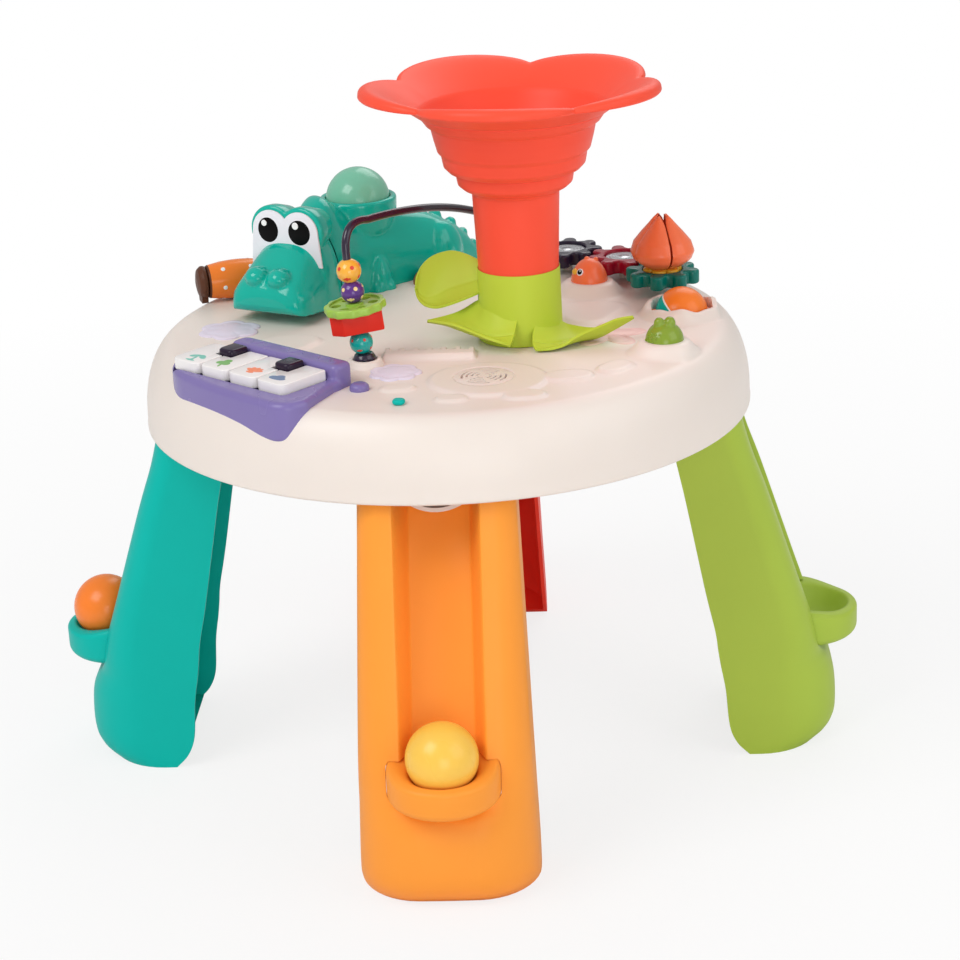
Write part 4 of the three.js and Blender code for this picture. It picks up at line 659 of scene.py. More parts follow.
CREAM = Finish("cream_shell", (236, 225, 216), 0.38, see_in=0.05, shade=0.02)
CORAL = Finish("coral_flower", (255, 84, 58), 0.42, shade=0.03, see_in=0.05, gloss=0.25)
LEAF = Finish("leaf_green", (188, 208, 64), 0.45, shade=0.03, gloss=0.2)
ORANGE = Finish("orange_leg", (255, 158, 58), 0.4, shade=0.03, gloss=0.2)
TEAL = Finish("teal_leg", (0, 184, 172), 0.4, shade=0.03, gloss=0.15)
RED = Finish("red_leg", (255, 66, 50), 0.4, shade=0.03, gloss=0.15)
MOSS = Finish("green_leg", (170, 194, 73), 0.4, shade=0.03, gloss=0.2)
CROC = Finish("crocodile_teal", (0, 180, 160), 0.14, coat=0.3, uneven=0.03, bump=0.01, gloss=0.3)
YELLOW_BALL = Finish("yellow_ball", (250, 200, 82), 0.28, shade=0.03)
ORANGE_BALL = Finish("orange_ball", (255, 132, 45), 0.24, shade=0.03, gloss=0.35)
MINT_BALL = Finish("mint_ball", (120, 196, 166), 0.25, coat=0.3, shade=0.03)
LILAC = Finish("lilac_case", (128, 114, 172), 0.26, coat=0.15, shade=0.03, gloss=0.3)
IVORY = Finish("ivory_key", (242, 238, 236), 0.22, coat=0.4, shade=0.015)
PLUM = Finish("plum_key", (38, 24, 46), 0.2, coat=0.2, gloss=0.2)
WIRE = Finish("plum_sleeve", (40, 28, 50), 0.22, coat=0.4)
PINE = Finish("pine_gear", (0, 118, 106), 0.22, coat=0.2, gloss=0.25)
MAROON = Finish("maroon_gear", (160, 18, 46), 0.22, coat=0.2, gloss=0.25)
NAVY = Finish("navy_gear", (38, 28, 50), 0.22, coat=0.2, gloss=0.25)
SILVER = Finish("silver_disc", (196, 196, 200), 0.25, metal=0.9, shade=0.1)
BUD = Finish("bud_coral", (255, 122, 76), 0.24, coat=0.15, shade=0.03, gloss=0.3)
AMBER = Finish("amber_sepal", (244, 184, 52), 0.3, shade=0.04)
OLIVE = Finish("frog_olive", (134, 160, 52), 0.18, coat=0.3, gloss=0.25)
BARREL = Finish("barrel_orange", (250, 130, 42), 0.22, coat=0.15, gloss=0.3)
BROWN = Finish("brown_cap", (92, 54, 36), 0.4, gloss=0.2)
RUST = Finish("rust_dome", (158, 84, 50), 0.3)
VIOLET = Finish("violet_bead", (90, 46, 132), 0.18, coat=0.4)
BLOCK = Finish("block_red", (232, 50, 36), 0.35, gloss=0.15)
WHEEL = Finish("wheel_green", (158, 198, 76), 0.3, coat=0.2)
BEAD_TEAL = Finish("bead_teal", (0, 168, 158), 0.16, coat=0.5)
BEAD_AMBER = Finish("bead_amber", (250, 180, 60), 0.16, coat=0.5)
DOT_CREAM = Finish("dot_cream", (246, 214, 150), 0.3)
DOT_RED = Finish("dot_red", (222, 66, 44), 0.3)
DOT_WHITE = Finish("dot_white", (250, 250, 250), 0.25)
EYE_WHITE = Finish("eye_white", (240, 240, 246), 0.25, coat=0.3, shade=0.01)
PUPIL = Finish("pupil_black", (8, 7, 8), 0.3, gloss=0.1)
PALE_LILAC = Finish("pale_lilac", (228, 220, 236), 0.4, shade=0.01)
PALE_PINK = Finish("pale_pink", (240, 206, 200), 0.4, shade=0.01)
PRINT_GREEN = Finish("print_green", (120, 178, 100), 0.35)
PRINT_BLUE = Finish("print_blue", (110, 130, 165), 0.35)
PRINT_CORAL = Finish("print_coral", (244, 140, 100), 0.35)
PRINT_MINT = Finish("print_mint", (120, 196, 180), 0.35)
# Dark plastic of the loudspeaker, also used as painted shade for the grille's well and the switch's opening.
DARK_AND_SHADE = Finish("dark_and_painted_shade", (34, 32, 34), 0.6)
BOARD = Finish("board_green", (30, 110, 74), 0.45)
CELL = Finish("cell_sleeve", (190, 190, 196), 0.3, metal=0.6)


# Table shell


@dataclass
class Relief:
    """A low shape moulded on the table's top."""

    x: float
    y: float
    radius: float
    rise: float
    lobes: int = 2
    depth: float = 0.2
    edge: float = 4.0
    turn: float = 0.0
    point: float = 0.6

    def reach(self, angle: np.ndarray | float) -> np.ndarray | float:
        """The outline's distance from its middle, round-petalled where it has many lobes.

        Args:
            angle: The angle in radians.

        Returns:
            The distance.
        """
        if self.lobes < 5:
            return self.radius * (1 - self.depth * (0.5 - 0.5 * np.cos(self.lobes * (angle - self.turn))))
        petal = np.abs(np.cos(self.lobes * (angle - self.turn) / 2)) ** self.point
        return self.radius * (1 - self.depth * (1 - petal))

    def height(self, x: np.ndarray, y: np.ndarray) -> np.ndarray:
        """How far the shape lifts the surface at each point.

        Args:
            x: The points' X.
            y: The points' Y.

        Returns:
            The lift of each point.
        """
        dx, dy = x - self.x, y - self.y
        edge = self.reach(np.arctan2(dy, dx))
        return self.rise * (1 - smooth(edge - self.edge, edge, np.hypot(dx, dy)))

    def outline(self, sides: int) -> np.ndarray:
        """The outline as points about its middle."""
        angles = np.linspace(0, 2 * pi, sides, endpoint=False)
        return np.column_stack([self.reach(angles) * np.cos(angles), self.reach(angles) * np.sin(angles)])


@dataclass
class TableShell:
    """The cream shell: a flat top with low reliefs, a big round shoulder and a plain wall."""

    radius: float = 225.0
    bottom: float = 272.0
    band_top: float = 282.0
    shoulder_run: float = 23.0
    cells: int = 250
    speaker: Pair = (33.0, -133.0)
    speaker_depth: float = 2.5
    roller: Pair = (176.0, 10.0)
    roller_space: float = 24.0
    castle: Pair = (-8.0, -76.0)
    castle_length: float = 66.0
    castle_teeth: float = 6.5
    castle_rise: float = 4.6
    mounds: tuple[tuple[float, float, float, float], ...] = ((108, 79, 21.5, 9.0), (160, -83, 20.5, 9.5))
    reliefs: list[Relief] = field(default_factory=lambda: [
        Relief(36, -136, 44, 2.2, 2, 0.1, 5),
        Relief(12, -176, 13, 2.0, 2, 0.3, 3.5),
        Relief(92, -133, 19.5, 2.4, 2, 0.3, 4, 0.2),
        Relief(124, -116, 17, 2.2, 2, 0.3, 4, 0.9),
        Relief(158, -58, 15.6, 2.2, 2, 0.3, 4, 1.4),
        Relief(-112, -38, 26, 2.4, 3, 0.15, 6, 0.5),
        Relief(-26, -150, 14, 2.0, 2, 0.3, 3.5, 0.1),
        Relief(62, -172, 17, 2.0, 2, 0.35, 4, 0.1),
        Relief(105, 20, 40, 2.4, 3, 0.2, 12, 0.6),
    ])
    bloom: Relief = field(default_factory=lambda: Relief(-30, -114, 19, 1.6, 7, 0.2))
    starfish: Relief = field(default_factory=lambda: Relief(120, -40, 30, 1.5, 5, 0.5, turn=0.3, point=1.3))
    small_bloom: Relief = field(default_factory=lambda: Relief(-162, 2, 24, 1.4, 6, 0.22, turn=0.5))

    def lift(self, x: np.ndarray, y: np.ndarray) -> np.ndarray:
        """The height of the moulded top above its flat level at each point.

        Args:
            x: The points' X.
            y: The points' Y.

        Returns:
            The height of each point.
        """
        dunes = 0.5 * np.sin(x / 31 + 0.8) * np.sin(y / 27 + 0.3) + 0.35 * np.sin((x + y) / 45)
        inland = 1 - smooth(178, 200, np.hypot(x, y))
        height = dunes * inland
        for relief in self.reliefs:
            height = np.maximum(height, relief.height(x, y) + dunes * inland * 0.5)
        height = height + self._castle(x, y)
        for mound in self.mounds:
            height = np.maximum(height, self._mound(x, y, mound))
        return self._roller_rim(x, y, self._speaker_well(x, y, height))

    def _castle(self, x: np.ndarray, y: np.ndarray) -> np.ndarray:
        """The row of battlements pressed into the sand.

        Args:
            x: The points' X.
            y: The points' Y.

        Returns:
            The castle's height at each point.
        """
        along, across = x - self.castle[0], y - self.castle[1]
        half = self.castle_length / 2
        teeth = smooth(-0.3, 0.3, np.sin(along / self.castle_length * 2 * pi * self.castle_teeth + 1.57))
        body = (1 - smooth(half - 1, half + 1, np.abs(along))) * smooth(-13.0, -8.0, across)
        wall = body * (1 - smooth(2.0, 3.6, across))
        top = body * (1 - smooth(8.0, 9.6, across)) * teeth
        return self.castle_rise * np.maximum(wall, top)

    @staticmethod
    def _mound(x: np.ndarray, y: np.ndarray, mound: tuple[float, float, float, float]) -> np.ndarray:
        """The soft heap of sand that a button stands in.

        Args:
            x: The points' X.
            y: The points' Y.
            mound: The heap's X, Y, radius and rise.

        Returns:
            The heap's height at each point.
        """
        cx, cy, radius, rise = mound
        angle = np.arctan2(y - cy, x - cx)
        reach = np.hypot(x - cx, y - cy) * (1 + 0.05 * np.sin(3 * angle + 0.6))
        return rise * (1 - smooth(radius - 5, radius + 7.5, reach))

    def _speaker_well(self, x: np.ndarray, y: np.ndarray, height: np.ndarray) -> np.ndarray:
        """Lowers the surface under the loudspeaker's slotted disc."""
        reach = np.hypot(x - self.speaker[0], y - self.speaker[1])
        return between(-self.speaker_depth, height, smooth(19.5, 21.0, reach))

    def _roller_rim(self, x: np.ndarray, y: np.ndarray, height: np.ndarray) -> np.ndarray:
        """Raises the wavy rim round the roller and opens the space inside it.

        Args:
            x: The points' X.
            y: The points' Y.
            height: The height without the rim.

        Returns:
            The height with the rim.
        """
        dx, dy = x - self.roller[0], y - self.roller[1]
        angle = np.arctan2(dy / 23, dx / 23)
        reach = np.hypot(dx / 24.0, dy / 23.5) * (1 + 0.025 * np.sin(5 * angle))
        crest = 8.0 + 1.6 * np.sin(3 * angle + 0.5) + 0.8 * np.sin(7 * angle)
        outside = crest * (1 - smooth(1.06, 1.42, reach))
        raised = np.maximum(height, outside)
        return between(-self.roller_space, raised, smooth(0.86, 0.93, reach))

    def form(self) -> Form:
        """The whole shell as one skin.

        Returns:
            The form, from the middle of the top to the lower edge.
        """
        flat = self.radius - self.shoulder_run
        steps = np.linspace(-1, 1, self.cells + 1)
        a, b = np.meshgrid(steps, steps)
        wide = np.abs(a) > np.abs(b)
        safe_a, safe_b = np.where(a == 0, 1e-9, a), np.where(b == 0, 1e-9, b)
        reach = np.where(wide, a, b)
        angle = np.where(wide, (pi / 4) * (b / safe_a), pi / 2 - (pi / 4) * (a / safe_b))
        x, y = flat * reach * np.cos(angle), flat * reach * np.sin(angle)
        z = TABLE_TOP + self.lift(x, y)
        points = np.stack([x, y, z], axis=2).reshape(-1, 3)
        n = self.cells + 1
        faces: list[tuple[int, ...]] = [
            (i * n + k, i * n + k + 1, (i + 1) * n + k + 1, (i + 1) * n + k)
            for i in range(self.cells) for k in range(self.cells)
        ]
        return self._skirt(Form(points, faces), n)

    def _skirt(self, top: Form, n: int) -> Form:
        """Adds the shoulder, the wall and the lower edge to the top.

        Args:
            top: The top's points and faces.
            n: Points along one side of its grid.

        Returns:
            The whole skin.
        """
        rim = list(range(n)) + [i * n + n - 1 for i in range(1, n)]
        rim += [(n - 1) * n + k for k in range(n - 2, -1, -1)] + [i * n for i in range(n - 2, 0, -1)]
        edge = top.points[rim]
        heading = edge[:, :2] / np.linalg.norm(edge[:, :2], axis=1)[:, None]
        profile = []
        for turn in np.linspace(0, pi / 2, 15)[1:]:
            profile.append((
                self.radius - self.shoulder_run + self.shoulder_run * sin(turn),
                self.band_top + (TABLE_TOP - self.band_top) * cos(turn),
            ))
        profile += [(self.radius + 0.1, 277), (self.radius + 0.5, 274), (self.radius + 0.4, 272.6)]
        profile += [(self.radius - 0.6, self.bottom), (self.radius - 2.6, self.bottom)]
        profile += [(self.radius - 3.2, 273), (self.radius - 3.2, 280)]
        points, faces, last = [top.points], list(top.faces), rim
        start = len(top.points)
        for radius, height in profile:
            points.append(np.column_stack([heading * radius, np.full(len(rim), height)]))
            ring = list(range(start, start + len(rim)))
            for k in range(len(rim)):
                m = (k + 1) % len(rim)
                faces.append((last[k], last[m], ring[m], ring[k]))
            last, start = ring, start + len(rim)
        return Form(np.vstack(points), faces)

    def build(self) -> None:
        """Makes the shell, its tinted reliefs and the loudspeaker's disc."""
        piece("table_shell", self.form(), Dress(replaces=("table_top",)), CREAM, sharp=60)
        blooms = ((self.bloom, PALE_LILAC), (self.small_bloom, PALE_LILAC), (self.starfish, PALE_PINK))
        for i, (relief, finish) in enumerate(blooms):
            thing = raw_object(f"tinted_relief_{i + 1}", self._tinted(relief))
            place(thing, Dress(), finish, sharp=60)
        self._grille()
        self._wire_feet()

    @staticmethod
    def _tinted(relief: Relief) -> Form:
        """A low domed shape with a pressed line inside its edge.

        Args:
            relief: The shape.

        Returns:
            Its form on the table.
        """
        rings = []
        steps = ((1.0, -1.0), (1.0, 0.6), (0.95, 1.3), (0.82, 1.5), (0.76, 1.1), (0.7, 1.5), (0.3, 1.9))
        for share, rise in steps:
            ring = relief.outline(120) * share + np.array([relief.x, relief.y])
            rings.append(np.column_stack([ring, np.full(len(ring), TABLE_TOP + rise)]))
        return loft(rings)

    def _grille(self) -> None:
        """The slotted disc over the loudspeaker, and a dark disc under it, painted as the shade behind its slots."""
        disc = raw_object("speaker_grille", lathe(
            [(0, -0.6), (22, -0.6), (22, 0.9), (21, 1.5), (14, 2.0), (0, 2.2)], 96))
        slots, half, sweep = [], 0.8, 62
        for radius in (5.0, 8.5, 12.0, 15.5):
            for arc in range(4):
                start = 90 * arc + 14 + radius * 2
                angles = np.radians(np.linspace(start, start + sweep, 14))
                outline = [((radius + half) * cos(t), (radius + half) * sin(t)) for t in angles]
                outline += [((radius - half) * cos(t), (radius - half) * sin(t)) for t in angles[::-1]]
                slots.append(prism(outline, -3, 6))
        cut(disc, together(slots))
        disc.data.transform(Matrix.Translation(Vector((*self.speaker, TABLE_TOP + 0.4)) * METRE))
        place(disc, Dress(), CREAM, sharp=40)
        # A flat dark disc in the well under the grille: painted shade, so the slots read dark.
        cone = lathe([(0, 0), (20.5, 0), (20.5, 0.6), (0, 0.2)], 64).moved(*self.speaker, TABLE_TOP - 2.4)
        piece("speaker_painted_shade", cone, Dress(slot="black"), DARK_AND_SHADE)

    @staticmethod
    def _wire_feet() -> None:
        """The low cream bosses that the bead wire's ends stand in."""
        profile = filleted([(0, -2), (14.5, -2), (11.5, 4.6, 1.8), (8.6, 5.0, 0.8), (8.6, 3.0), (0, 3.0)], 4, False)
        maze = BeadMaze()
        for i, (x, y) in enumerate(((maze.x, maze.y), maze.back[:2])):
            piece(f"wire_boss_{i + 1}", lathe(profile, 64).moved(x, y, TABLE_TOP), Dress(), CREAM)


@dataclass
class Chutes:
    """The way from the well under the flower to the four mouths."""

    well_floor: float = 269.0
    fall: float = 10.0
    channel: float = 27.0
    mouth: float = 195.0

    def run(self, side: Side, radius: float, rise: float, past: float) -> Form:
        """A U-shaped run from the well to a leg.

        Args:
            side: The leg it leads to.
            radius: The radius of its round floor.
            rise: How far its walls stand above the round part.
            past: How far it runs past the mouth.

        Returns:
            The solid run.
        """
        angle = radians(side.value)
        dx = self.mouth * cos(angle) - STEM[0]
        dy = self.mouth * sin(angle) - STEM[1]
        length = hypot(dx, dy)
        rings = []
        for along in np.linspace(0, length + past, 8):
            height = self.well_floor + self.channel - self.fall * along / length
            ring = [(along, radius * cos(t), height + radius * sin(t))
                    for t in np.linspace(pi, 2 * pi, 25)]
            ring += [(along, radius, height + rise), (along, -radius, height + rise)]
            rings.append(np.array(ring))
        heading = degrees(atan2(dy, dx))
        return loft(rings).turned(heading).moved(*STEM)


@dataclass
class Underside:
    """The tray that closes the shell from below, with the chutes and the battery bay."""

    radius: float = 225.0
    tray: float = 276.0
    wall: float = 3.0
    well: float = 38.0
    well_wall: float = 2.5
    bay: Pair = (29.0, 25.0)
    bay_wall: float = 2.0
    bay_top: float = 298.0
    bay_place: Pair = (-100.0, -100.0)
    bay_turn: float = -45.0
    door_floor: float = 278.8
    chutes: Chutes = field(default_factory=Chutes)

    def build(self) -> None:
        """Makes the tray, the mouths and the chutes as one moulding."""
        inner, top = self.radius - 3.6, self.tray + self.wall
        tray = raw_object("table_tray", lathe(
            [(0, self.tray), (inner, self.tray), (inner, 279.5), (inner - 2.6, 280), (inner - 2.6, top), (0, top)],
            180))
        fuse(tray, *(self.chutes.run(side, 30.0, 8.0, 6.0) for side in Side))
        floor = self.chutes.well_floor
        fuse(tray, rod(self.well + self.well_wall, floor - self.well_wall, 294, 72).moved(*STEM))
        fuse(tray, self._bay(self.bay_wall, self.tray, self.bay_top))
        cut(tray, rod(self.well, floor, 340, 72).moved(*STEM))
        for side in Side:
            drop = block((195, 214.9), (-30.3, 30.3), (266, 290)).turned(side.value)
            trim = block((195, 225), (-54, 54), (250, self.tray)).turned(side.value)
            cut(tray, self.chutes.run(side, self.chutes.channel, 16.0, 12.0), drop, trim)
        cells = self._bay(0, self.door_floor, self.bay_top - self.bay_wall)
        cut(tray, cells + self._bay(self.bay_wall, 270, self.door_floor))
        place(tray, Dress(replaces=("table_base",)), CREAM)

    def _bay(self, grown: float, low: float, high: float) -> Form:
        """A box in the battery bay's place, larger than the bay by a distance."""
        across, along = self.bay[0] + grown, self.bay[1] + grown
        return block((-across, across), (-along, along), (low, high)).turned(self.bay_turn).moved(*self.bay_place)


# Legs, cups and balls


@dataclass
class LegLevel:
    """One level of a leg, as shares of its sizes."""

    height: float
    inner: float
    outer: float
    slide: float
    corner: float


@dataclass
class Leg:
    """A splayed leg with a dished ball slide between two rails, smooth at its shoe."""

    side: Side
    finish: Finish
    slot: str
    top: float = 275.7
    inner: Pair = (159.5, 222.0)
    outer: Pair = (212.0, 286.0)
    widths: Pair = (108.0, 126.0)
    slide_depth: float = 38.0
    dish: float = 5.0
    slide_half: float = 30.6
    gully: float = 5.0
    bulge: float = 3.0
    corners: Pair = (14.0, 42.0)
    wall: float = 3.0
    levels: tuple[tuple[float, ...], ...] = (
        (0, 0.97, 0.8, 0, 1), (0.036, 0.82, 0.94, 0, 1), (0.087, 0.73, 1, 0, 1), (0.185, 0.69, 0.985, 0, 1),
        (0.235, 0.655, 0.915, 0, 0.85), (0.265, 0.63, 0.84, 0.1, 0.6), (0.31, 0.6, 0.8, 0.28, 0.45),
        (0.37, 0.565, 0.745, 0.42, 0.35), (0.49, 0.45, 0.6, 0.58, 0.25), (0.74, 0.24, 0.3, 0.8, 0.15),
        (0.87, 0.12, 0.13, 0.92, 0.1), (1, 0.02, 0, 1, 0.1),
    )

    def _crown(self, across: float, half: float) -> float:
        """How far the leg's front bulges at a distance from its middle."""
        return self.bulge * (1 - (across / half) ** 2)

    def ring(self, level: LegLevel, wall: float, past: float) -> np.ndarray:
        """The outline of the leg at a level.

        Args:
            level: The level.
            wall: How far the outline is drawn in.
            past: How far it runs out at the open inner side.

        Returns:
            The points of the outline, for a leg that points to +X.
        """
        height = self.top * level.height
        inner = between(*self.inner, level.inner) - past
        outer = between(*self.outer, level.outer) - wall
        half = between(self.widths[1], self.widths[0], level.height) / 2 - wall
        corner = min(between(*self.corners, level.corner), half * 0.8)
        slide = min(max(level.slide, 0.0), 1.0)
        depth = self.slide_depth * slide
        dish = self.dish * min(1.0, slide * 2) + self.gully * float(smooth(0.72, 0.98, level.height))
        rail = min(self.slide_half + wall, half - corner - 0.3)
        side = [(inner + (outer - corner - inner) * s, half) for s in np.linspace(0, 1, 6)[:-1]]
        for turn in np.linspace(0, pi / 2, 11):
            across = half - corner + corner * cos(turn)
            side.append((outer - corner + corner * sin(turn) + self._crown(across, half), across))
        for across in np.concatenate([
            np.linspace(half - corner, rail, 6)[1:-1], np.linspace(rail, rail * 0.6, 20),
            np.linspace(rail * 0.6, 0, 9)[1:-1],
        ]):
            drop = depth * (1 - smooth(0.68 * rail, 0.99 * rail, across))
            bowl = dish * max(0.0, 1 - (across / (0.75 * rail)) ** 2)
            side.append((outer + self._crown(across, half) - float(drop) - bowl, across))
        middle = [(outer + self._crown(0, half) - depth - dish, 0.0)]
        plan = side + middle + [(x, -y) for x, y in reversed(side)]
        return np.array([(x, y, height) for x, y in plan])

    def bulk(self, wall: float = 0.0, past: float = 0.0) -> Form:
        """The leg's outside, or the space inside its walls.

        Args:
            wall: How far it is drawn in.
            past: How far it runs out at the open inner side.

        Returns:
            The solid, for a leg that points to +X.
        """
        rows = through(self.levels, 5)
        rings = [self.ring(LegLevel(*row), wall, past) for row in rows]
        if wall > 0:
            low, high = rings[2].copy(), rings[-3].copy()
            low[:, 2], high[:, 2] = 4.0, self.top - self.wall
            inside = [r for r in rings[3:-3] if 5.0 < r[0, 2] < self.top - self.wall - 1.5]
            rings = [low, *inside, high]
        return loft(rings)

    def build(self) -> None:
        """Makes the leg, hollow behind and open for the chute and the cup."""
        leg = raw_object(f"leg_{self.side.word}_shell", self.bulk().turned(self.side.value))
        cut(leg, self.bulk(self.wall, 6.0).turned(self.side.value))
        chutes, wide = Chutes(), self.slide_half
        middle = chutes.well_floor + chutes.channel - chutes.fall
        seat = [(wide * cos(t), middle + wide * sin(t)) for t in np.linspace(pi, 2 * pi, 25)]
        seat += [(wide, 300), (-wide, 300)]
        cut(leg, prism(seat, 100, 290).upright().turned(self.side.value))
        cut(leg, chutes.run(self.side, wide, 16.0, 6.0))
        cut(leg, Cup(self.side, self.finish, self.slot).pocket().turned(self.side.value))
        node = f"leg_{self.side.word}"
        place(leg, Dress(slot=self.slot, replaces=(node,)), self.finish, sharp=38)


@dataclass
class Cup:
    """The open cup that stands out of a shoe and stops the ball."""

    side: Side
    finish: Finish
    slot: str
    width: float = 78.0
    reach: float = 307.0
    back: float = 251.5
    top: float = 99.0
    height: float = 24.0
    rounding: float = 10.0
    lip: float = 3.2
    arm: float = 6.0
    ball_x: float = 275.8
    ball_z: float = 110.2
    ball_space: float = 25.7

    def plan(self, inset: float) -> np.ndarray:
        """The cup's outline, drawn in by a distance.

        Args:
            inset: The distance.

        Returns:
            The points of the outline.
        """
        half, start = self.width / 2 - inset, self.reach - self.width / 2
        sides = np.linspace(self.back, start, 8, endpoint=False)
        points = [(x, -half) for x in sides]
        for turn in np.linspace(-pi / 2, pi / 2, 49):
            points.append((start + (self.reach - inset - start) * cos(turn), half * sin(turn)))
        points += [(x, half) for x in sides[::-1]]
        return np.array(points)

    def trough(self, radius: float) -> np.ndarray:
        """The round outline of the ball's space.

        Args:
            radius: The space's radius.

        Returns:
            As many points as the plan has.
        """
        turns = [*np.linspace(-pi * 0.98, -pi / 2, 8, endpoint=False),
                 *np.linspace(-pi / 2, pi / 2, 49),
                 *np.linspace(pi * 0.98, pi / 2, 8, endpoint=False)[::-1]]
        return np.array([(self.ball_x + radius * cos(t), radius * sin(t)) for t in turns])

    def level(self, plan: np.ndarray, height: float, arm: float) -> np.ndarray:
        """A ring at a height, lifted towards the arms."""
        rise = arm * (1 - smooth(self.back + 11, self.reach - 10, plan[:, 0]))
        return np.column_stack([plan, height + rise])

    def outside(self, grown: float = 0.0) -> list[np.ndarray]:
        """The rings of the round belly and the outer half of the lip.

        Args:
            grown: How much larger than the cup.

        Returns:
            The rings from the bottom up.
        """
        low, rings = self.top - self.height, []
        for turn in np.linspace(0, pi / 2, 9):
            inset = self.rounding * (1 - sin(turn)) - grown
            height = low - grown + self.rounding * 0.8 * (1 - cos(turn))
            rings.append(self.level(self.plan(inset), height, 0))
        for turn in np.linspace(0, pi / 2, 6):
            inset = self.lip * (1 - cos(turn)) - grown
            height = self.top - self.lip + self.lip * sin(turn) + grown
            rings.append(self.level(self.plan(inset), height, self.arm * (0.4 + 0.6 * sin(turn))))
        return rings

    def pocket(self) -> Form:
        """The space that the cup takes out of the leg, a fine seam wider than the cup."""
        return loft(self.outside(0.3))

    def build(self) -> None:
        """Makes the cup with a round lip that hugs the ball."""
        rings = self.outside()
        edge, inner = rings[-1], self.level(self.trough(23.6), self.top - 0.6, self.arm * 0.35)
        for share in (0.25, 0.5, 0.75, 0.92):
            ring = edge + (inner - edge) * share
            ring[:, 2] += 1.1 * sin(share * pi)
            rings.append(ring)
        rings.append(self.level(self.trough(23.0), self.top - 1.8, self.arm * 0.1))
        for height in (95.0, 92.5, 90.0, 87.5, 85.6, 84.7):
            radius = sqrt(max(self.ball_space**2 - (self.ball_z - height) ** 2, 1.0))
            rings.append(self.level(self.trough(radius), height, 0))
        cup = raw_object(f"cup_{self.side.word}_bowl", loft(rings).turned(self.side.value))
        node = f"cup_{self.side.word}"
        place(cup, Dress(slot=self.slot, replaces=(node,)), self.finish, sharp=50)


@dataclass
class Ball:
    """A hollow ball with a fine moulding seam round its middle."""

    name: str
    finish: Finish
    centre: tuple[float, float, float]
    slot: str
    radius: float = 25.0
    tilt: float = 35.0
    seam: float = 0.12

    def build(self) -> None:
        """Makes the ball."""
        steps = 48
        profile = []
        for i in range(steps + 1):
            turn = pi * i / steps
            radius = self.radius - (self.seam if i == steps // 2 else 0.0)
            profile.append((radius * sin(turn), -self.radius * cos(turn)))
        form = lathe(profile, 96).turned(self.tilt, Axis.X).turned(self.tilt).moved(*self.centre)
        piece(f"{self.name}_skin", form, Dress(self.name, self.slot, (self.name,)), self.finish, sharp=60)


# Flower and leaves


@dataclass
class Flower:
    """The five-petalled funnel on its stepped cone and tube."""

    petals: int = 5
    turn: float = 262.5
    wall: float = 2.6
    bore: float = 26.6
    sides: int = 300
    petal_line: Outline = (
        (68.2, 498.2), (76, 503.5), (87, 510.5), (97, 516.0), (103.5, 517.9), (107.2, 516.2), (108.0, 512.5),
    )
    notch_line: Outline = (
        (68.2, 498.2), (74, 503), (80, 507), (85, 509.8), (88, 511), (89.3, 511), (90, 510.6),
    )

    def wave(self, angle: np.ndarray) -> np.ndarray:
        """1 at the middle of a petal and 0 in the notch between two."""
        lobe = np.sqrt(np.cos(self.petals * angle / 2) ** 2 + 0.0009)
        return np.clip(lobe, 0, 1) ** 0.62

    def bowl(self, angles: np.ndarray) -> tuple[list[np.ndarray], list[np.ndarray]]:
        """The outer and inner rings of the bowl, from its bottom to its rolled lip.

        Args:
            angles: The angles of the points round the bowl.

        Returns:
            Both lists of rings.
        """
        wave = self.wave(angles)[:, None]
        tips, notches = through(self.petal_line, 5), through(self.notch_line, 5)
        radius = notches[:, 0] + (tips[:, 0] - notches[:, 0]) * wave
        height = notches[:, 1] + (tips[:, 1] - notches[:, 1]) * wave
        run, rise = np.gradient(radius, axis=1), np.gradient(height, axis=1)
        length = np.hypot(run, rise)
        across, up = -rise / length * self.wall / 2, run / length * self.wall / 2
        outer, inner = [], []
        for k in range(radius.shape[1]):
            for rings, sign in ((outer, -1), (inner, 1)):
                reach, level = radius[:, k] + sign * across[:, k], height[:, k] + sign * up[:, k]
                rings.append(np.stack([reach * np.cos(angles), reach * np.sin(angles), level], axis=1))
        return outer, inner

    def build(self) -> None:
        """Makes the funnel as one skin, round at its rim."""
        outside = filleted([
            (27.5, 323), (27.5, 378, 0.4), (29.0, 378, 0.4), (31.4, 438, 0.6), (33.0, 440.5, 1), (37.5, 442.3, 1),
            (41.2, 445.5, 2), (42.4, 452, 0.6), (42.6, 454, 0.3), (47.5, 455.5, 1), (50.8, 459, 1), (51.8, 464, 0.6),
            (52.2, 467, 0.3), (54.8, 470, 1), (57.2, 479, 1), (58.6, 485.5, 0.6), (59.2, 487.5, 0.3), (62.5, 490, 1),
            (66.0, 495, 0.6), (66.5, 497, 0.3)], 3, False)
        inside = [(65.6, 496.2), (63.6, 492.6), (56.0, 484.0), (48.5, 467), (38.0, 456), (self.bore + 2, 445)]
        inside += [(self.bore, 440), (self.bore, 380), (self.bore, 323), (27.5, 323)]
        angles = np.linspace(0, 2 * pi, self.sides, endpoint=False)

        def circle(radius: float, height: float) -> np.ndarray:
            """A round ring of as many points as the bowl's."""
            return np.stack([radius * np.cos(angles), radius * np.sin(angles), np.full(self.sides, height)], axis=1)

        rings = [circle(r, z) for r, z in outside]
        outer, inner = self.bowl(angles)
        rings += outer
        end = inner[-1] - outer[-1]
        past = (outer[-1] + inner[-1]) / 2 - (outer[-2] + inner[-2]) / 2
        past = past / np.linalg.norm(past, axis=1)[:, None] * self.wall / 2
        for share in (0.15, 0.5, 0.85):
            rings.append(outer[-1] + end * share + past * sin(share * pi))
        rings += inner[::-1]
        rings += [circle(r, z) for r, z in inside]
        form = loft(rings, capped=False).turned(self.turn).moved(*STEM)
        piece("flower_funnel", form, Dress("flower", "coral", ("flower",)), CORAL, sharp=42)


LeafRow = tuple[Spot, Spot, Spot]


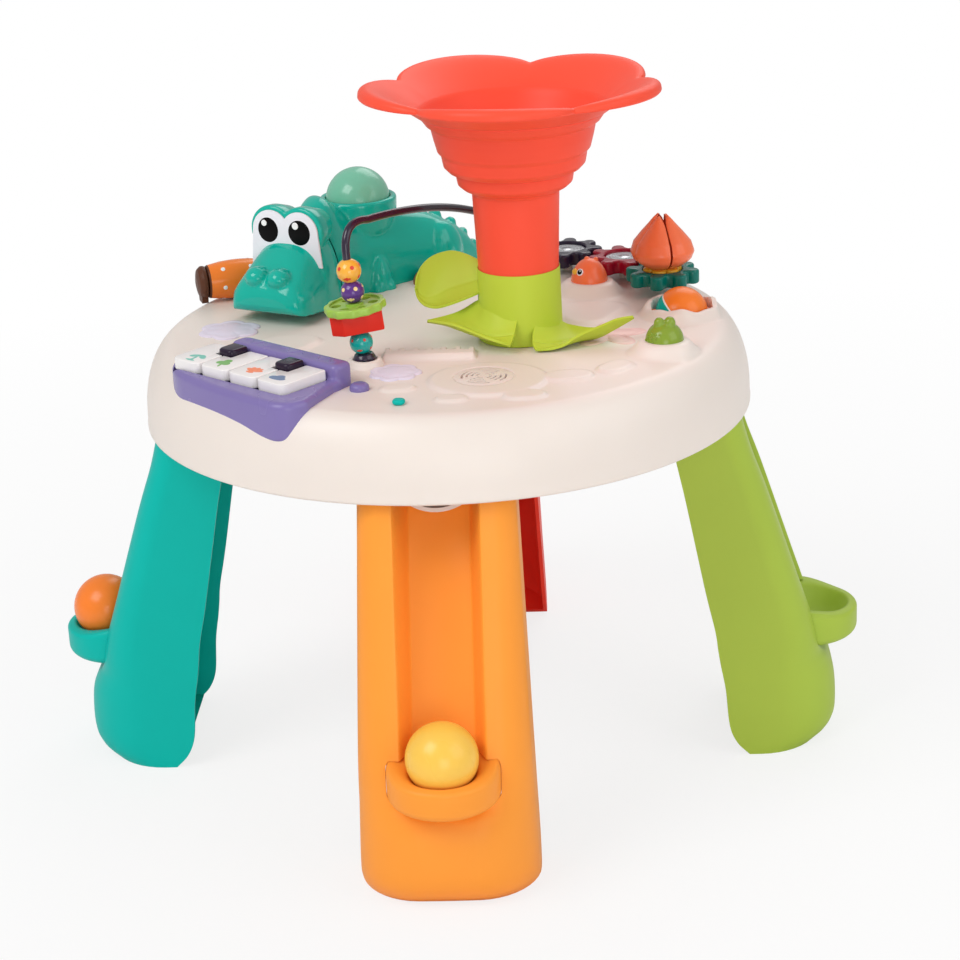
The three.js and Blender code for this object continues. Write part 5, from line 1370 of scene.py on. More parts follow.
@dataclass
class LeafCollar:
    """The green sleeve round the tube with its three scoop leaves.

    A leaf is rows of three points, (right, front, up) from the tube: one edge, the midrib and the other edge.
    """

    thick: float = 1.8
    left_leaf: tuple[LeafRow, ...] = (
        ((-1.3, 28.5, 351.6), (-3.7, 38, 342.5), (-6.8, 48.5, 337.4)),
        ((-15.5, 24.6, 354.2), (-18, 35, 340.5), (-21.6, 43, 341.6)),
        ((-23.8, 16.5, 357), (-29, 27.5, 341.5), (-34.2, 37, 345.5)),
        ((-28.6, 5.5, 359.5), (-39, 19, 343.5), (-47, 31.5, 349.3)),
        ((-41, 2, 351.8), (-49, 15, 345), (-55.5, 27.3, 350)),
        ((-52.4, 8, 349.7), (-57, 16, 346.3), (-61.5, 23.6, 350)),
        ((-65.6, 17.4, 349.6), (-66.7, 19, 349.2), (-66.4, 20.6, 350.0)),
    )
    right_leaf: tuple[LeafRow, ...] = (
        ((10.8, 27.0, 346), (9, 37, 337), (11.5, 44.5, 332.4)),
        ((18, 22.5, 344), (19, 35, 334.2), (22, 44, 332.8)),
        ((23.5, 16, 343.2), (27, 31, 333.4), (30.5, 42.6, 334.6)),
        ((27.9, 7, 342.5), (34.5, 26, 333), (37, 41, 338.2)),
        ((35.5, 7, 339.2), (43.5, 24, 333), (46, 38.3, 342.4)),
        ((53, 13, 338), (56, 25, 335.4), (58.5, 35, 346.2)),
        ((66.5, 20, 343.2), (68, 25.5, 341.5), (70, 31, 349.6)),
        ((81.0, 25.6, 350.0), (81.8, 27, 349.7), (81.2, 28.4, 350.5)),
    )
    scoop: tuple[LeafRow, ...] = (
        ((-27.3, 8, 366.5), (-28.2, -3, 373), (-28.0, -13, 384)),
        ((-35.6, 10, 363.6), (-38, -5, 370), (-38.5, -17, 388.5)),
        ((-49.6, 10.3, 358.7), (-49.9, -6.7, 366.4), (-48.3, -19.7, 390.5)),
        ((-60.9, 6.7, 355.3), (-60, -8, 361.6), (-57.5, -20.5, 389)),
        ((-69, 0, 355.8), (-68.5, -9, 359.6), (-65.5, -19.5, 385.8)),
        ((-74, -6.0, 359.4), (-74, -10, 362.6), (-71.5, -17, 380.5)),
        ((-76, -9.2, 365), (-76.2, -10.3, 367.5), (-75.4, -12.5, 373)),
    )

    def leaf(self, rows: tuple[LeafRow, ...]) -> Object:
        """One leaf as a skin of even thickness with a crease along its midrib.

        Args:
            rows: The leaf's rows of points.

        Returns:
            The leaf.
        """
        rings = []
        for near, middle, far in through(np.array(rows).reshape(len(rows), 9), 7).reshape(-1, 3, 3):
            ring = []
            for k in np.linspace(-1, 1, 33):
                point = near * k * (k - 1) / 2 + middle * (1 - k * k) + far * k * (k + 1) / 2
                ring.append(point - np.array([0, 0, 0.7 * exp(-((k * 11) ** 2))]))
            rings.append(np.array(ring) * np.array([1, -1, 1]))
        thing = raw_object("leaf", loft(rings, capped=False, open_ring=True))
        modified(thing, "SOLIDIFY", thickness=self.thick * METRE, offset=0.0, use_even_offset=False)
        soften_edges(thing, 0.45, 2, 60)
        bore = [(0, 300), (28.35, 300), (28.35, 378), (30.4, 378), (30.4, 420), (0, 420)]
        cut(thing, lathe(bore, 96))
        return thing

    def build(self) -> None:
        """Makes the sleeve and its leaves as one piece."""
        stem = lathe(filleted([
            (28.2, 330.3), (31.2, 330.3, 0.6), (30.7, 336, 2), (29.95, 383, 0.2), (29.55, 383, 0.2), (29.5, 378.6),
            (28.2, 378), (28.2, 330.3)], 4, False), 128)
        leaves = [self.leaf(rows) for rows in (self.left_leaf, self.right_leaf, self.scoop)]
        collar = joined([raw_object("leaf_sleeve", stem), *leaves])
        settle(collar, *STEM)
        place(collar, Dress(slot="leaf", replaces=("leaf_collar",)), LEAF, sharp=38)


# Crocodile


def domed_ring(
    along: float, shift: float, half: float, low: float, high: float, power: float, steps: int
) -> np.ndarray:
    """A domed section across a body that lies along X.

    Args:
        along: The section's X.
        shift: The Y of its middle.
        half: Half its width.
        low: Its lower level.
        high: Its top.
        power: Its squareness, where 1 is round and 0 is square.
        steps: Pieces across it.

    Returns:
        The points of the section.
    """
    ring = []
    for i in range(steps + 1):
        angle = pi * i / steps
        across = copysign(abs(cos(angle)) ** power, cos(angle))
        ring.append((along, shift + half * across, low + (high - low) * abs(sin(angle)) ** power))
    return np.array(ring)


@dataclass
class Crocodile:
    """The glossy crocodile: body with ball seat, pressed head and eye plate."""

    x: float = -71.5
    y: float = 125.0
    heading: float = 39.0
    length: float = 170.0
    width: float = 52.0
    height: float = 75.0
    seat_rim: float = 400.6
    seat_radius: float = 30.4
    ball_radius: float = 25.0
    ball_play: float = 0.8
    head_x: float = -118.0
    head_y: float = 48.0
    head_turn: float = 244.5
    head_back: float = 33.0
    head_length: float = 76.0
    head_width: float = 68.0
    head_height: float = 84.0
    eye_face: float = 37.0
    eye_up: float = 64.0
    eye_lobe: float = 16.0
    eye_spread: float = 12.6
    eye_rim: float = 3.4
    travel: float = 3.0
    head_gap: float = 0.8
    stations: tuple[tuple[float, ...], ...] = (
        (-0.38, -0.11, 1.0, 0.9), (-0.31, -0.088, 1.15, 1.04), (-0.25, -0.06, 1.18, 1.06),
        (-0.17, -0.03, 1.14, 0.92), (-0.08, -0.01, 1.1, 0.8), (0.1, 0, 1.06, 0.76), (0.23, 0, 1.0, 0.7),
        (0.36, 0, 0.95, 0.62), (0.48, -0.01, 0.78, 0.48),
        (0.565, -0.02, 0.5, 0.33), (0.635, -0.035, 0.2, 0.12),
    )
    head_stations: tuple[tuple[float, ...], ...] = (
        (0, 0.5, 0.06, 0.5, 0.3), (0.06, 0.76, 0.02, 0.68, 0.4), (0.22, 0.94, 0, 0.8, 0.45),
        (0.38, 0.98, 0, 0.85, 0.5), (0.46, 0.98, 0, 0.85, 0.5), (0.485, 0.97, 0, 0.66, 0.5),
        (0.58, 0.96, 0.01, 0.6, 0.5), (0.7, 0.97, 0.025, 0.52, 0.5), (0.82, 0.97, 0.04, 0.44, 0.5),
        (0.91, 0.92, 0.05, 0.385, 0.5), (0.97, 0.8, 0.08, 0.31, 0.4), (1, 0.6, 0.13, 0.23, 0.3),
    )

    def _trunk(self) -> Form:
        """The back, neck and tail.

        Returns:
            The form, about the seat's middle.
        """
        rings = [
            domed_ring(a * self.length, s * self.length, max(w * self.width / 2, 1), TABLE_TOP - 1,
                       TABLE_TOP + h * self.height, 0.78, 40)
            for a, s, w, h in through(self.stations, 5)
        ]
        return loft(rings)

    def _limbs(self) -> Form:
        """Feet with two toes each, haunches and the ridge of scales.

        Returns:
            The forms in one.
        """
        parts = []
        for along, side, out in ((-0.01, 1, 23.0), (-0.01, -1, 23.5), (0.42, 1, 19.0), (0.42, -1, 19.0)):
            x, y = along * self.length, side * out
            parts.append(sphere(1, 40).sized(12.0, 12.5, 28).moved(x, y, TABLE_TOP))
            for spread in (-5.2, 5.2):
                parts.append(sphere(1, 32).sized(6.4, 7.6, 8.5).moved(x + spread, y + side * 6.2, TABLE_TOP + 1))
            if along > 0.3:
                parts.append(sphere(1, 40).sized(19, 13, 26).moved(x - 4, side * 15, TABLE_TOP + 14))
        ridge = ((0.34, 0, 0.62), (0.43, 0, 0.56), (0.51, -0.01, 0.45), (0.57, -0.02, 0.32), (0.62, -0.03, 0.18))
        for i, (along, shift, rise) in enumerate(ridge):
            size = 5.8 - 0.4 * i
            centre = (along * self.length, shift * self.length, TABLE_TOP + rise * self.height - 1.2)
            parts.append(sphere(size, 32).moved(*centre))
        return together(parts)

    def _seat(self) -> Form:
        """The rounded cup on the back that holds a ball.

        Returns:
            The cup, about its own middle.
        """
        rim = self.seat_rim - TABLE_TOP
        profile = filleted([
            (0, 20), (12, 22, 4), (26, rim - 24, 8), (self.seat_radius - 0.4, rim - 12, 5),
            (self.seat_radius, rim, 1.9), (self.ball_radius + self.ball_play, rim, 1.2),
            (self.ball_radius - 2, rim - 8), (0, rim - 8)], 6, False)
        return lathe(profile, 96).moved(0, 0, TABLE_TOP)

    def build(self) -> None:
        """Makes the body, the head and the eyes."""
        body = raw_object("crocodile_body", together([self._trunk(), self._limbs(), self._seat()]))
        merge_soft(body, 1.1, 10)
        hollow = sphere(self.ball_radius + self.ball_play, 64).moved(0, 0, self.seat_rim - 2.6)
        cut(body, hollow)
        settle(body, self.x, self.y, self.heading)
        cut(body, block((-260, 260), (-260, 260), (TABLE_TOP - 60, TABLE_TOP + 0.3)))
        for part in (self._head_form(self.head_gap), *self._eye_domes(self.head_gap)):
            for press in (0.0, self.travel / 2, self.travel + 0.3):
                cut(body, self._headed(part).moved(0, 0, -press))
        place(body, Dress(slot="glossy_teal", replaces=("croc_body",)), CROC, sharp=45)
        self._head()
        self._eyes()

    def _headed(self, form: Form) -> Form:
        """A form of the head, which faces +X, put in its place."""
        return form.moved(-self.head_back).turned(self.head_turn).moved(self.head_x, self.head_y)

    def _head_form(self, grown: float) -> Form:
        """The head's main bulk.

        Args:
            grown: How much larger than the head.

        Returns:
            The bulk, facing +X.
        """
        lift = 5.0
        rings = []
        for a, w, low, high, square in through(self.head_stations, 6):
            rings.append(domed_ring(
                a * self.head_length, 0, w * self.head_width / 2 + grown,
                TABLE_TOP + lift + low * self.head_height - grown,
                TABLE_TOP + lift + high * (self.head_height - lift) + grown, 1 - square / 2, 48))
        rings[0][:, 0] -= grown
        rings[-1][:, 0] += grown
        return loft(rings)

    def _eye_domes(self, grown: float) -> list[Form]:
        """The two domes behind the eyes.

        Args:
            grown: How much larger than the domes.

        Returns:
            The domes, facing +X.
        """
        rim = self.eye_lobe + self.eye_rim + grown
        profile = filleted([(0, -30 - grown), (rim - 6, -26 - grown, 4), (rim - 1, -10, 5), (rim, 0, 2.2), (0, 0)],
                           5, False)
        dome = lathe(profile, 64).turned(90, Axis.Y)
        return [dome.moved(self.eye_face, side * self.eye_spread, TABLE_TOP + self.eye_up) for side in (-1, 1)]

    def _head(self) -> None:
        """The head with its two eye domes, nostrils and cheek bumps."""
        parts = [self._head_form(0.0), *self._eye_domes(0.0)]
        for side in (-1, 1):
            parts.append(sphere(1, 40).sized(10, 9.5, 8).moved(66, side * 9.5, TABLE_TOP + 35.5))
            parts.append(sphere(1, 40).sized(13, 9, 10).moved(60, side * 24, TABLE_TOP + 19))
        head = raw_object("crocodile_head", together(parts))
        merge_soft(head, 1.0, 7)
        mouth = [(-34, -36), (80, -36), (80, 36), (-34, 36)]
        cut(head, prism(mouth, TABLE_TOP - 10, TABLE_TOP + 5.2))
        head.data.transform(Matrix.Translation(Vector((-self.head_back, 0, 0)) * METRE))
        settle(head, self.head_x, self.head_y, self.head_turn)
        place(head, Dress("croc_head", "glossy_teal", ("croc_head",)), CROC, sharp=45)

    def _plate(self) -> list[Pair]:
        """The eye plate's outline as (across, up) from between the eyes.

        Returns:
            The outline's points.
        """
        lobe, spread = self.eye_lobe, self.eye_spread
        meet = acos(spread / lobe)
        left = [(-spread + lobe * cos(t), lobe * sin(t)) for t in np.linspace(pi, meet, 30)]
        right = [(spread + lobe * cos(t), lobe * sin(t)) for t in np.linspace(pi - meet, 0, 30)]
        return [(-31.0, -26.0), *left, *right, (31.0, -26.0)]

    def _eyes(self) -> None:
        """The white plate with two dark pupils and their small lights."""
        thick, level = 1.7, TABLE_TOP + self.eye_up
        flat = prism(self._plate(), 0, thick).upright()
        plate = raw_object("crocodile_eyes", self._headed(flat.moved(self.eye_face, 0, level)))
        soften_edges(plate, 0.5, 2, 60)
        place(plate, Dress("croc_head", "ivory", ("croc_eyes",)), EYE_WHITE)
        pupils, lights, front = [], [], self.eye_face + thick
        dot = lathe([(0, -0.4), (1, -0.4), (1, 0.05), (0.92, 0.3), (0, 0.5)], 48).turned(90, Axis.Y)
        light = lathe([(0, -0.2), (1, -0.2), (0.9, 0.25), (0, 0.3)], 32).turned(90, Axis.Y)
        for y, z, wide, size in ((-14.8, 0.6, 8.8, 2.4), (12.6, 0.2, 9.5, 2.8)):
            pupils.append(dot.sized(1, wide, 9.6).moved(front, y, level + z))
            lights.append(light.sized(1, size, size).moved(front + 0.55, y - 3.0, level + z + 5.2))
        piece("crocodile_pupils", self._headed(together(pupils)), Dress("croc_head", "black"), PUPIL)
        piece("crocodile_eye_lights", self._headed(together(lights)), Dress("croc_head", "ivory"), DOT_WHITE)


# Bead maze


@dataclass(frozen=True)
class RoundBead:
    """A ball on the wire, with rows of small printed flowers."""

    name: str
    radius: float
    along: float
    finish: Finish
    dots: Finish
    slot: str
    dot: float


@dataclass
class BeadMaze:
    """The arched wire with five beads threaded on its straight front end."""

    x: float = -52.8
    y: float = -92.0
    lean: float = 6.2
    straight: float = 77.0
    bend: float = 30.0
    swell: float = 10.0
    back: Spot = (58.0, 82.0, 388.0)
    radius: float = 2.9
    bore: float = 3.3
    block_along: float = 33.0
    block_size: tuple[float, float, float] = (38.0, 24.0, 15.0)
    wheel_along: float = 43.8
    wheel_radius: float = 22.2
    wheel_half: float = 3.0
    beads: tuple[RoundBead, ...] = (
        RoundBead("bead_teal", 8.4, 16.9, BEAD_TEAL, DOT_RED, "teal", 1.1),
        RoundBead("bead_purple", 8.4, 54.6, VIOLET, DOT_CREAM, "purple", 1.5),
        RoundBead("bead_yellow", 8.8, 69.9, BEAD_AMBER, DOT_RED, "amber", 1.5),
    )

    def direction(self) -> Vector:
        """The way the straight front end leans."""
        return Vector((-sin(radians(self.lean)), 0, cos(radians(self.lean))))

    def point(self, along: float) -> Vector:
        """A point on the straight end, this far from its foot."""
        return Vector((self.x, self.y, TABLE_TOP)) + self.direction() * along

    def path(self) -> list[tuple[float, ...]]:
        """The wire's middle line from foot to foot.

        Returns:
            The line's points.
        """
        start, corner = self.point(self.straight), self.point(self.straight + self.bend)
        back = Vector(self.back)
        across = (back - corner).normalized()
        bend_end, last = corner + across * self.bend, back - across * self.bend
        arch = (last - bend_end).length
        first = bend_end + across * arch / 3 + Vector((0, 0, self.swell))
        second = last - across * arch / 3 + Vector((0, 0, self.swell + 4))
        low = Vector((back.x, back.y, back.z - self.bend))
        points = [tuple(self.point(a)) for a in np.linspace(0.5, self.straight, 12)]
        points += bezier([start, corner, bend_end], 16)[1:]
        points += bezier([bend_end, first, second, last], 48)[1:]
        points += bezier([last, back, low], 16)[1:]
        foot = Vector((back.x, back.y, TABLE_TOP + 0.5))
        points += [tuple(low + (foot - low) * share) for share in (0.34, 0.67, 1)]
        return points

    def threaded(self, form: Form, along: float) -> Form:
        """A bead's form put on the wire."""
        return form.turned(-self.lean, Axis.Y).moved(*self.point(along))

    def build(self) -> None:
        """Makes the wire with its caps and the five beads."""
        wire = tube(self.path(), self.radius, 28)
        cap = lathe(filleted([(0, 0), (7.4, 0, 1.6), (8.3, 3.2, 1.8), (6.6, 6.2, 1.4), (0, 6.2)], 5, False), 64)
        front = cap.turned(-self.lean, Axis.Y).moved(self.x, self.y, TABLE_TOP + 2.6)
        rear = cap.moved(self.back[0], self.back[1], TABLE_TOP + 2.2)
        thing = raw_object("bead_wire_sleeve", together([wire, front, rear]))
        place(thing, Dress(slot="plum", replaces=("bead_wire",)), WIRE)
        for bead in self.beads:
            self._round_bead(bead)
        self._block()
        self._wheel()

    def _round_bead(self, bead: RoundBead) -> None:
        """A ball with a bore and rows of small printed flowers.

        Args:
            bead: The bead's sizes, place and finishes.
        """
        radius, rise, cut_at = bead.radius, 0.12, 0.94
        flat = radius * cut_at
        profile = [(self.bore, -flat + 0.3)]
        for turn in np.linspace(-asin(cut_at), asin(cut_at), 29):
            profile.append((radius * cos(turn), radius * sin(turn)))
        profile += [(self.bore, flat - 0.3), (self.bore, -flat + 0.3)]
        form = self.threaded(lathe(profile, 64), bead.along)
        piece(f"{bead.name}_ball", form, Dress(bead.name, bead.slot, (bead.name,)), bead.finish)
        marks = []
        for row, tilt in enumerate((-28, 24)):
            for k in range(5):
                heading, up = radians(72 * k + 36 * row - 100), radians(tilt)
                normal = np.array([cos(heading) * cos(up), sin(heading) * cos(up), sin(up)])
                marks.append(pill(normal * radius, normal, bead.dot, rise, 12))
                if (k + row) % 2 == 0:
                    side = np.cross(normal, (0, 0, 1))
                    for shift in (-1, 1):
                        spot = normal + side * shift * bead.dot * 1.5 / radius
                        spot = spot / np.linalg.norm(spot)
                        marks.append(pill(spot * radius, spot, bead.dot * 0.6, rise, 10))
        form = self.threaded(together(marks), bead.along)
        piece(f"{bead.name}_dots", form, Dress(bead.name, bead.slot), bead.dots)

    def _block(self) -> None:
        """The red five-sided block."""
        width, depth, height = self.block_size
        plan = [(-width / 2, -depth / 4), (-width / 4, -depth / 2), (width / 2, -depth / 4),
                (width / 2 - 3, depth / 2), (-width / 2 + 3, depth / 2)]
        outline = filleted([(x, y, 2.2) for x, y in plan], 5)
        thing = raw_object("bead_block_body", prism(outline, -height / 2, height / 2))
        soften_edges(thing, 1.1, 3, 60)
        cut(thing, rod(self.bore, -20, 20))
        self._seat(thing, self.block_along)
        place(thing, Dress("bead_block", "red", ("bead_block",)), BLOCK)

    def _wheel(self) -> None:
        """The green wheel with its lobed rim, dished top and ring of holes."""
        angles = np.linspace(0, 2 * pi, 180, endpoint=False)
        reach = self.wheel_radius * (1 - 0.06 * (0.5 - 0.5 * np.cos(12 * angles)))
        outline = [(r * cos(a), r * sin(a)) for r, a in zip(reach, angles)]
        thing = raw_object("bead_wheel_body", prism(outline, -self.wheel_half, self.wheel_half))
        soften_edges(thing, 1.4, 4, 60)
        dish = lathe([(6.4, 1.6), (18.2, 1.6), (18.2, 8), (6.4, 8), (6.4, 1.6)], 64)
        holes = [rod(3.7, -9, 9).moved(13.2 * cos(t), 13.2 * sin(t))
                 for t in np.radians(np.arange(0, 360, 60))]
        cut(thing, dish, together(holes), rod(self.bore, -20, 20))
        self._seat(thing, self.wheel_along)
        place(thing, Dress("bead_wheel", "moss", ("bead_wheel",)), WHEEL)

    def _seat(self, thing: Object, along: float) -> None:
        """Puts a finished bead on the wire."""
        turn = Matrix.Rotation(radians(-self.lean), 4, "Y")
        thing.data.transform(Matrix.Translation(self.point(along) * METRE) @ turn)


# Keyboard


@dataclass
class Keyboard:
    """The lilac keyboard: bowed case, raised bar, four pale keys and two dark ones."""

    x: float = -128.0
    y: float = -128.0
    turn: float = -40.0
    bottom: float = 308.0
    rim: float = 337.0
    floor: float = 333.0
    bar_top: float = 347.0
    key_low: float = 335.7
    key_top: float = 344.0
    pitch: float = 28.6
    start: float = -62.2
    back: float = 21.0
    length: float = 42.0
    notch: float = 18.0
    dark_middles: Pair = (-33.6, 23.6)
    dark_half: float = 7.5
    dark_gap: float = 1.0
    dark_front: float = 4.0
    dark_top: float = 348.0

    def put(self, thing: Object) -> Object:
        """Moves a thing from the keyboard's own frame to its place."""
        settle(thing, self.x, self.y, self.turn)
        return thing

    @staticmethod
    def outline() -> list[Pair]:
        """The case's plan, bowed at its front.

        Returns:
            The plan's points.
        """
        plan = [(-63.9, 40.0)]
        plan += bezier([(-63.9, 40), (-76.7, 40), (-76.7, 12)], 10)[1:]
        plan += bezier([(-73.8, -8), (-63.9, -24.8), (-39, -29.6)], 10)
        plan += bezier([(-39, -29.6), (0, -38.5), (52, -38)], 12)[1:]
        plan += bezier([(52, -38), (71, -38), (72.5, -18)], 14)[1:]
        plan += bezier([(61, 18), (61, 40), (46.9, 40)], 10)
        return plan

    def _case(self) -> None:
        """The case with its pocket, bar and small round lobe."""
        base = raw_object("keyboard_base", prism(self.outline(), self.bottom, self.rim))
        bar = prism(rounded_box((-48.8, 59.6), (22.5, 40), 7, 7), self.floor - 6, self.bar_top)
        lobe = rod(7, self.bottom, 335, 48).moved(71, 33)
        extra = raw_object("bar", together([bar, lobe]))
        soften_edges(base, 4.5, 4, 60)
        soften_edges(extra, 3.4, 4, 60)
        modified(base, "BOOLEAN", operation=Combine.JOIN.value, solver="EXACT", object=extra)
        bpy.data.objects.remove(extra)
        merge_soft(base, 0.9, 4)
        cut(base, prism(rounded_box((-62.7, 52.7), (-22, 21.6), 5, 3), self.floor, 360))
        place(self.put(base), Dress(slot="lilac", replaces=("keyboard_case",)), LILAC, sharp=40)
        lines = raw_object("keyboard_lines", together(self._lines()))
        place(self.put(lines), Dress(slot="lilac"), LILAC)

    def _lines(self) -> list[Form]:
        """The wavy lines on the bar.

        Returns:
            One form for each line.
        """
        waves = []
        for start, end, swing, turns in ((-40.0, -14.0, 3.2, 2.0), (-4.0, 18.0, 3.6, 1.5), (28.0, 51.0, 3.2, 2.0)):
            path = []
            for share in np.linspace(0, 1, 40):
                x = between(start, end, share)
                path.append((x, 31.4 + swing * sin(share * turns * 2 * pi), self.bar_top - 0.5))
            waves.append(tube(path, 0.9, 12))
        return waves

    def _white_plan(self, index: int) -> list[tuple[float, ...]]:
        """The plan of a pale key with its notches for the dark keys.

        Args:
            index: Which key, from 0 at the left.

        Returns:
            The corners with their radii.
        """
        x0 = self.start + self.pitch * index + 0.5
        x1 = x0 + self.pitch - 1
        front, notch, room = self.back - self.length, self.back - self.notch, self.dark_half + self.dark_gap
        plan: list[tuple[float, ...]] = [(x0, front, 6.5), (x1, front, 6.5)]
        if index % 2 == 0:
            side = self.dark_middles[index // 2] - room
            plan += [(x1, notch, 1.2), (side, notch, 1.0), (side, self.back, 2.0), (x0, self.back, 2.0)]
        else:
            side = self.dark_middles[index // 2] + room
            plan += [(x1, self.back, 2.0), (side, self.back, 2.0), (side, notch, 1.0), (x0, notch, 1.2)]
        return plan

    def build(self) -> None:
        """Makes the case, the keys and their prints."""
        self._case()
        for index in range(4):
            name = f"white_key_{index + 1}"
            key = raw_object(f"{name}_top", prism(filleted(self._white_plan(index), 6), self.key_low, self.key_top))
            soften_edges(key, 1.5, 4, 60)
            place(self.put(key), Dress(name, "ivory", (name,)), IVORY)
            self._print(index)
        for index, middle in enumerate(self.dark_middles):
            name = f"dark_key_{index + 1}"
            sides = (middle - self.dark_half, middle + self.dark_half)
            plan = rounded_box(sides, (self.dark_front, self.back), 5, 3)
            key = raw_object(f"{name}_top", prism(plan, self.key_low, self.dark_top))
            soften_edges(key, 2.6, 5, 60)
            place(self.put(key), Dress(name, "plum", (name,)), PLUM)

    def _print(self, index: int) -> None:
        """The plain printed motif in front on a pale key.

        Args:
            index: Which key, from 0 at the left.
        """
        finish = (PRINT_MINT, PRINT_GREEN, PRINT_CORAL, PRINT_BLUE)[index]
        x = self.start + self.pitch * (index + 0.5) + (1.5, -1.0, 1.0, -1.5)[index]
        y = (-10.5, -8.5, -9.0, -10.0)[index]
        low, high = self.key_top - 0.2, self.key_top + 0.12
        form = together(prism(plan, low, high + 0.02 * k) for k, plan in enumerate(self._motif(index))).moved(x, y)
        thing = raw_object(f"key_print_{index + 1}", form)
        place(self.put(thing), Dress(f"white_key_{index + 1}", "ivory"), finish)

    @staticmethod
    def _motif(index: int) -> list[np.ndarray]:
        """The flat shapes of one print: a sprout, a clover, a shell or a cloud.

        Args:
            index: Which key, from 0 at the left.

        Returns:
            The outline of each shape.
        """

        def disc(x: float, y: float, wide: float, tall: float, turn: float = 0.0) -> np.ndarray:
            """An oval of points.

            Args:
                x: The middle's X.
                y: The middle's Y.
                wide: Half its width.
                tall: Half its height.
                turn: Its turn in degrees.

            Returns:
                The points.
            """
            t = np.linspace(0, 2 * pi, 28, endpoint=False)
            c, s = cos(radians(turn)), sin(radians(turn))
            a, b = wide * np.cos(t), tall * np.sin(t)
            return np.column_stack([x + a * c - b * s, y + a * s + b * c])

        if index == 0:
            return [disc(-3.2, 2, 4.4, 2.4, 35), disc(3.4, 2.6, 4.6, 2.4, -40), disc(0, -3, 0.9, 4.2, 6),
                    disc(0.3, -6.6, 4.2, 1.2)]
        if index == 1:
            leaves = [disc(3.2 * cos(t), 1 + 3.2 * sin(t), 3.1, 3.1) for t in np.radians((90, 210, 330))]
            return [*leaves, disc(1.2, -5.0, 0.9, 3.6, 20)]
        if index == 2:
            fans = [disc(3.6 * cos(t), 3.2 * sin(t) - 0.5, 2.0, 4.2, degrees(t) - 90)
                    for t in np.radians((20, 55, 90, 125, 160))]
            return [*fans, disc(0, -3.4, 3.2, 1.6)]
        return [disc(-3.6, -1, 3.4, 3.0), disc(0.4, 1.2, 3.8, 3.8), disc(4.2, -1.2, 3.0, 2.6),
                disc(0, -2.6, 6.4, 1.9)]


# Buttons and roller


@dataclass
class FishButton:
    """The round fish that is pressed down, in its heap of sand."""

    x: float = 108.0
    y: float = 79.0
    radius: float = 14.5
    low: float = 336.0
    high: float = 356.0

    def surface(self, heading: float, up: float) -> tuple[np.ndarray, np.ndarray]:
        """A point on the dome and the way out of it there.

        Args:
            heading: The angle round the dome in degrees.
            up: The angle up it in degrees.

        Returns:
            The point and the direction.
        """
        a, b = radians(heading), radians(up)
        rise = self.high - self.low
        point = np.array([self.radius * cos(b) * cos(a), self.radius * cos(b) * sin(a),
                          self.low + rise * sin(b)])
        normal = np.array([cos(b) * cos(a) / self.radius, cos(b) * sin(a) / self.radius,
                           sin(b) / rise])
        return point, normal / np.linalg.norm(normal)

    def build(self) -> None:
        """Makes the dome with its fins, and the face on it."""
        rise = self.high - self.low
        skirt = [(0, self.low - 7), (self.radius, self.low - 7), (self.radius, self.low)]
        parts = [lathe(skirt + dome_line(self.radius, self.low, rise, 20)[1:], 72)]
        parts.append(sphere(1, 24).sized(2.2, 2.0, 1.9).moved(-1.5, 1, self.high - 0.4))
        parts.append(sphere(1, 24).sized(2.0, 1.8, 2.2).moved(5.4, 1, self.high - 1.4))
        body = raw_object("fish_button_dome", together(parts))
        merge_soft(body, 0.5, 5)
        settle(body, self.x, self.y)
        place(body, Dress("fish_button", "bud_coral", ("fish_button",)), BUD, sharp=50)
        self._face()

    def _face(self) -> None:
        """The ringed eye and the mouth."""
        white, dark, yellow = [], [], []
        point, normal = self.surface(-127, 36)
        white.append(pill(point, normal, 2.8, 0.4, 32))
        dark.append(pill(point + normal * 0.35, normal, 2.0, 0.4, 28))
        white.append(pill(point + normal * 0.7 + np.array([0.5, 0, 0.7]), normal, 0.6, 0.3, 16))
        point, normal = self.surface(-156, 34)
        yellow.append(sphere(1, 24).sized(3.6, 2.4, 1.5).aimed(normal).moved(*point))
        for forms, name, finish in ((white, "ring", EYE_WHITE), (dark, "pupil", PUPIL), (yellow, "mouth", AMBER)):
            form = together(forms).moved(self.x, self.y)
            piece(f"fish_{name}", form, Dress("fish_button", "bud_coral"), finish)


@dataclass
class FrogButton:
    """The round frog that is pressed down, with two eye bumps and rough cheeks."""

    x: float = 160.0
    y: float = -83.0
    radius: float = 13.8
    low: float = 338.5
    rise: float = 14.0

    def build(self) -> None:
        """Makes the head, the eye bumps and the cheeks."""
        skirt = [(0, self.low - 8), (self.radius, self.low - 8), (self.radius, self.low)]
        parts = [lathe(skirt + dome_line(self.radius, self.low, self.rise, 18)[1:], 64)]
        for x, size in ((-3.7, 3.9), (3.7, 4.3)):
            parts.append(sphere(1, 32).sized(size, size, size + 0.8).moved(x, -2.0, self.low + self.rise - 1.0))
        body = raw_object("frog_button_head", together(parts))
        merge_soft(body, 0.5, 3)
        settle(body, self.x, self.y)
        place(body, Dress("frog_button", "olive", ("frog_button",)), OLIVE, sharp=50)
        warts = []
        for heading in (-172, -156, -140):
            for up in (8, 20, 32):
                a, b = radians(heading + up), radians(up)
                spot = (self.radius * cos(b) * cos(a), self.radius * cos(b) * sin(a),
                        self.low + self.rise * sin(b))
                warts.append(sphere(1.0, 14).moved(*spot))
        piece("frog_warts", together(warts).moved(self.x, self.y), Dress("frog_button", "olive"), OLIVE)


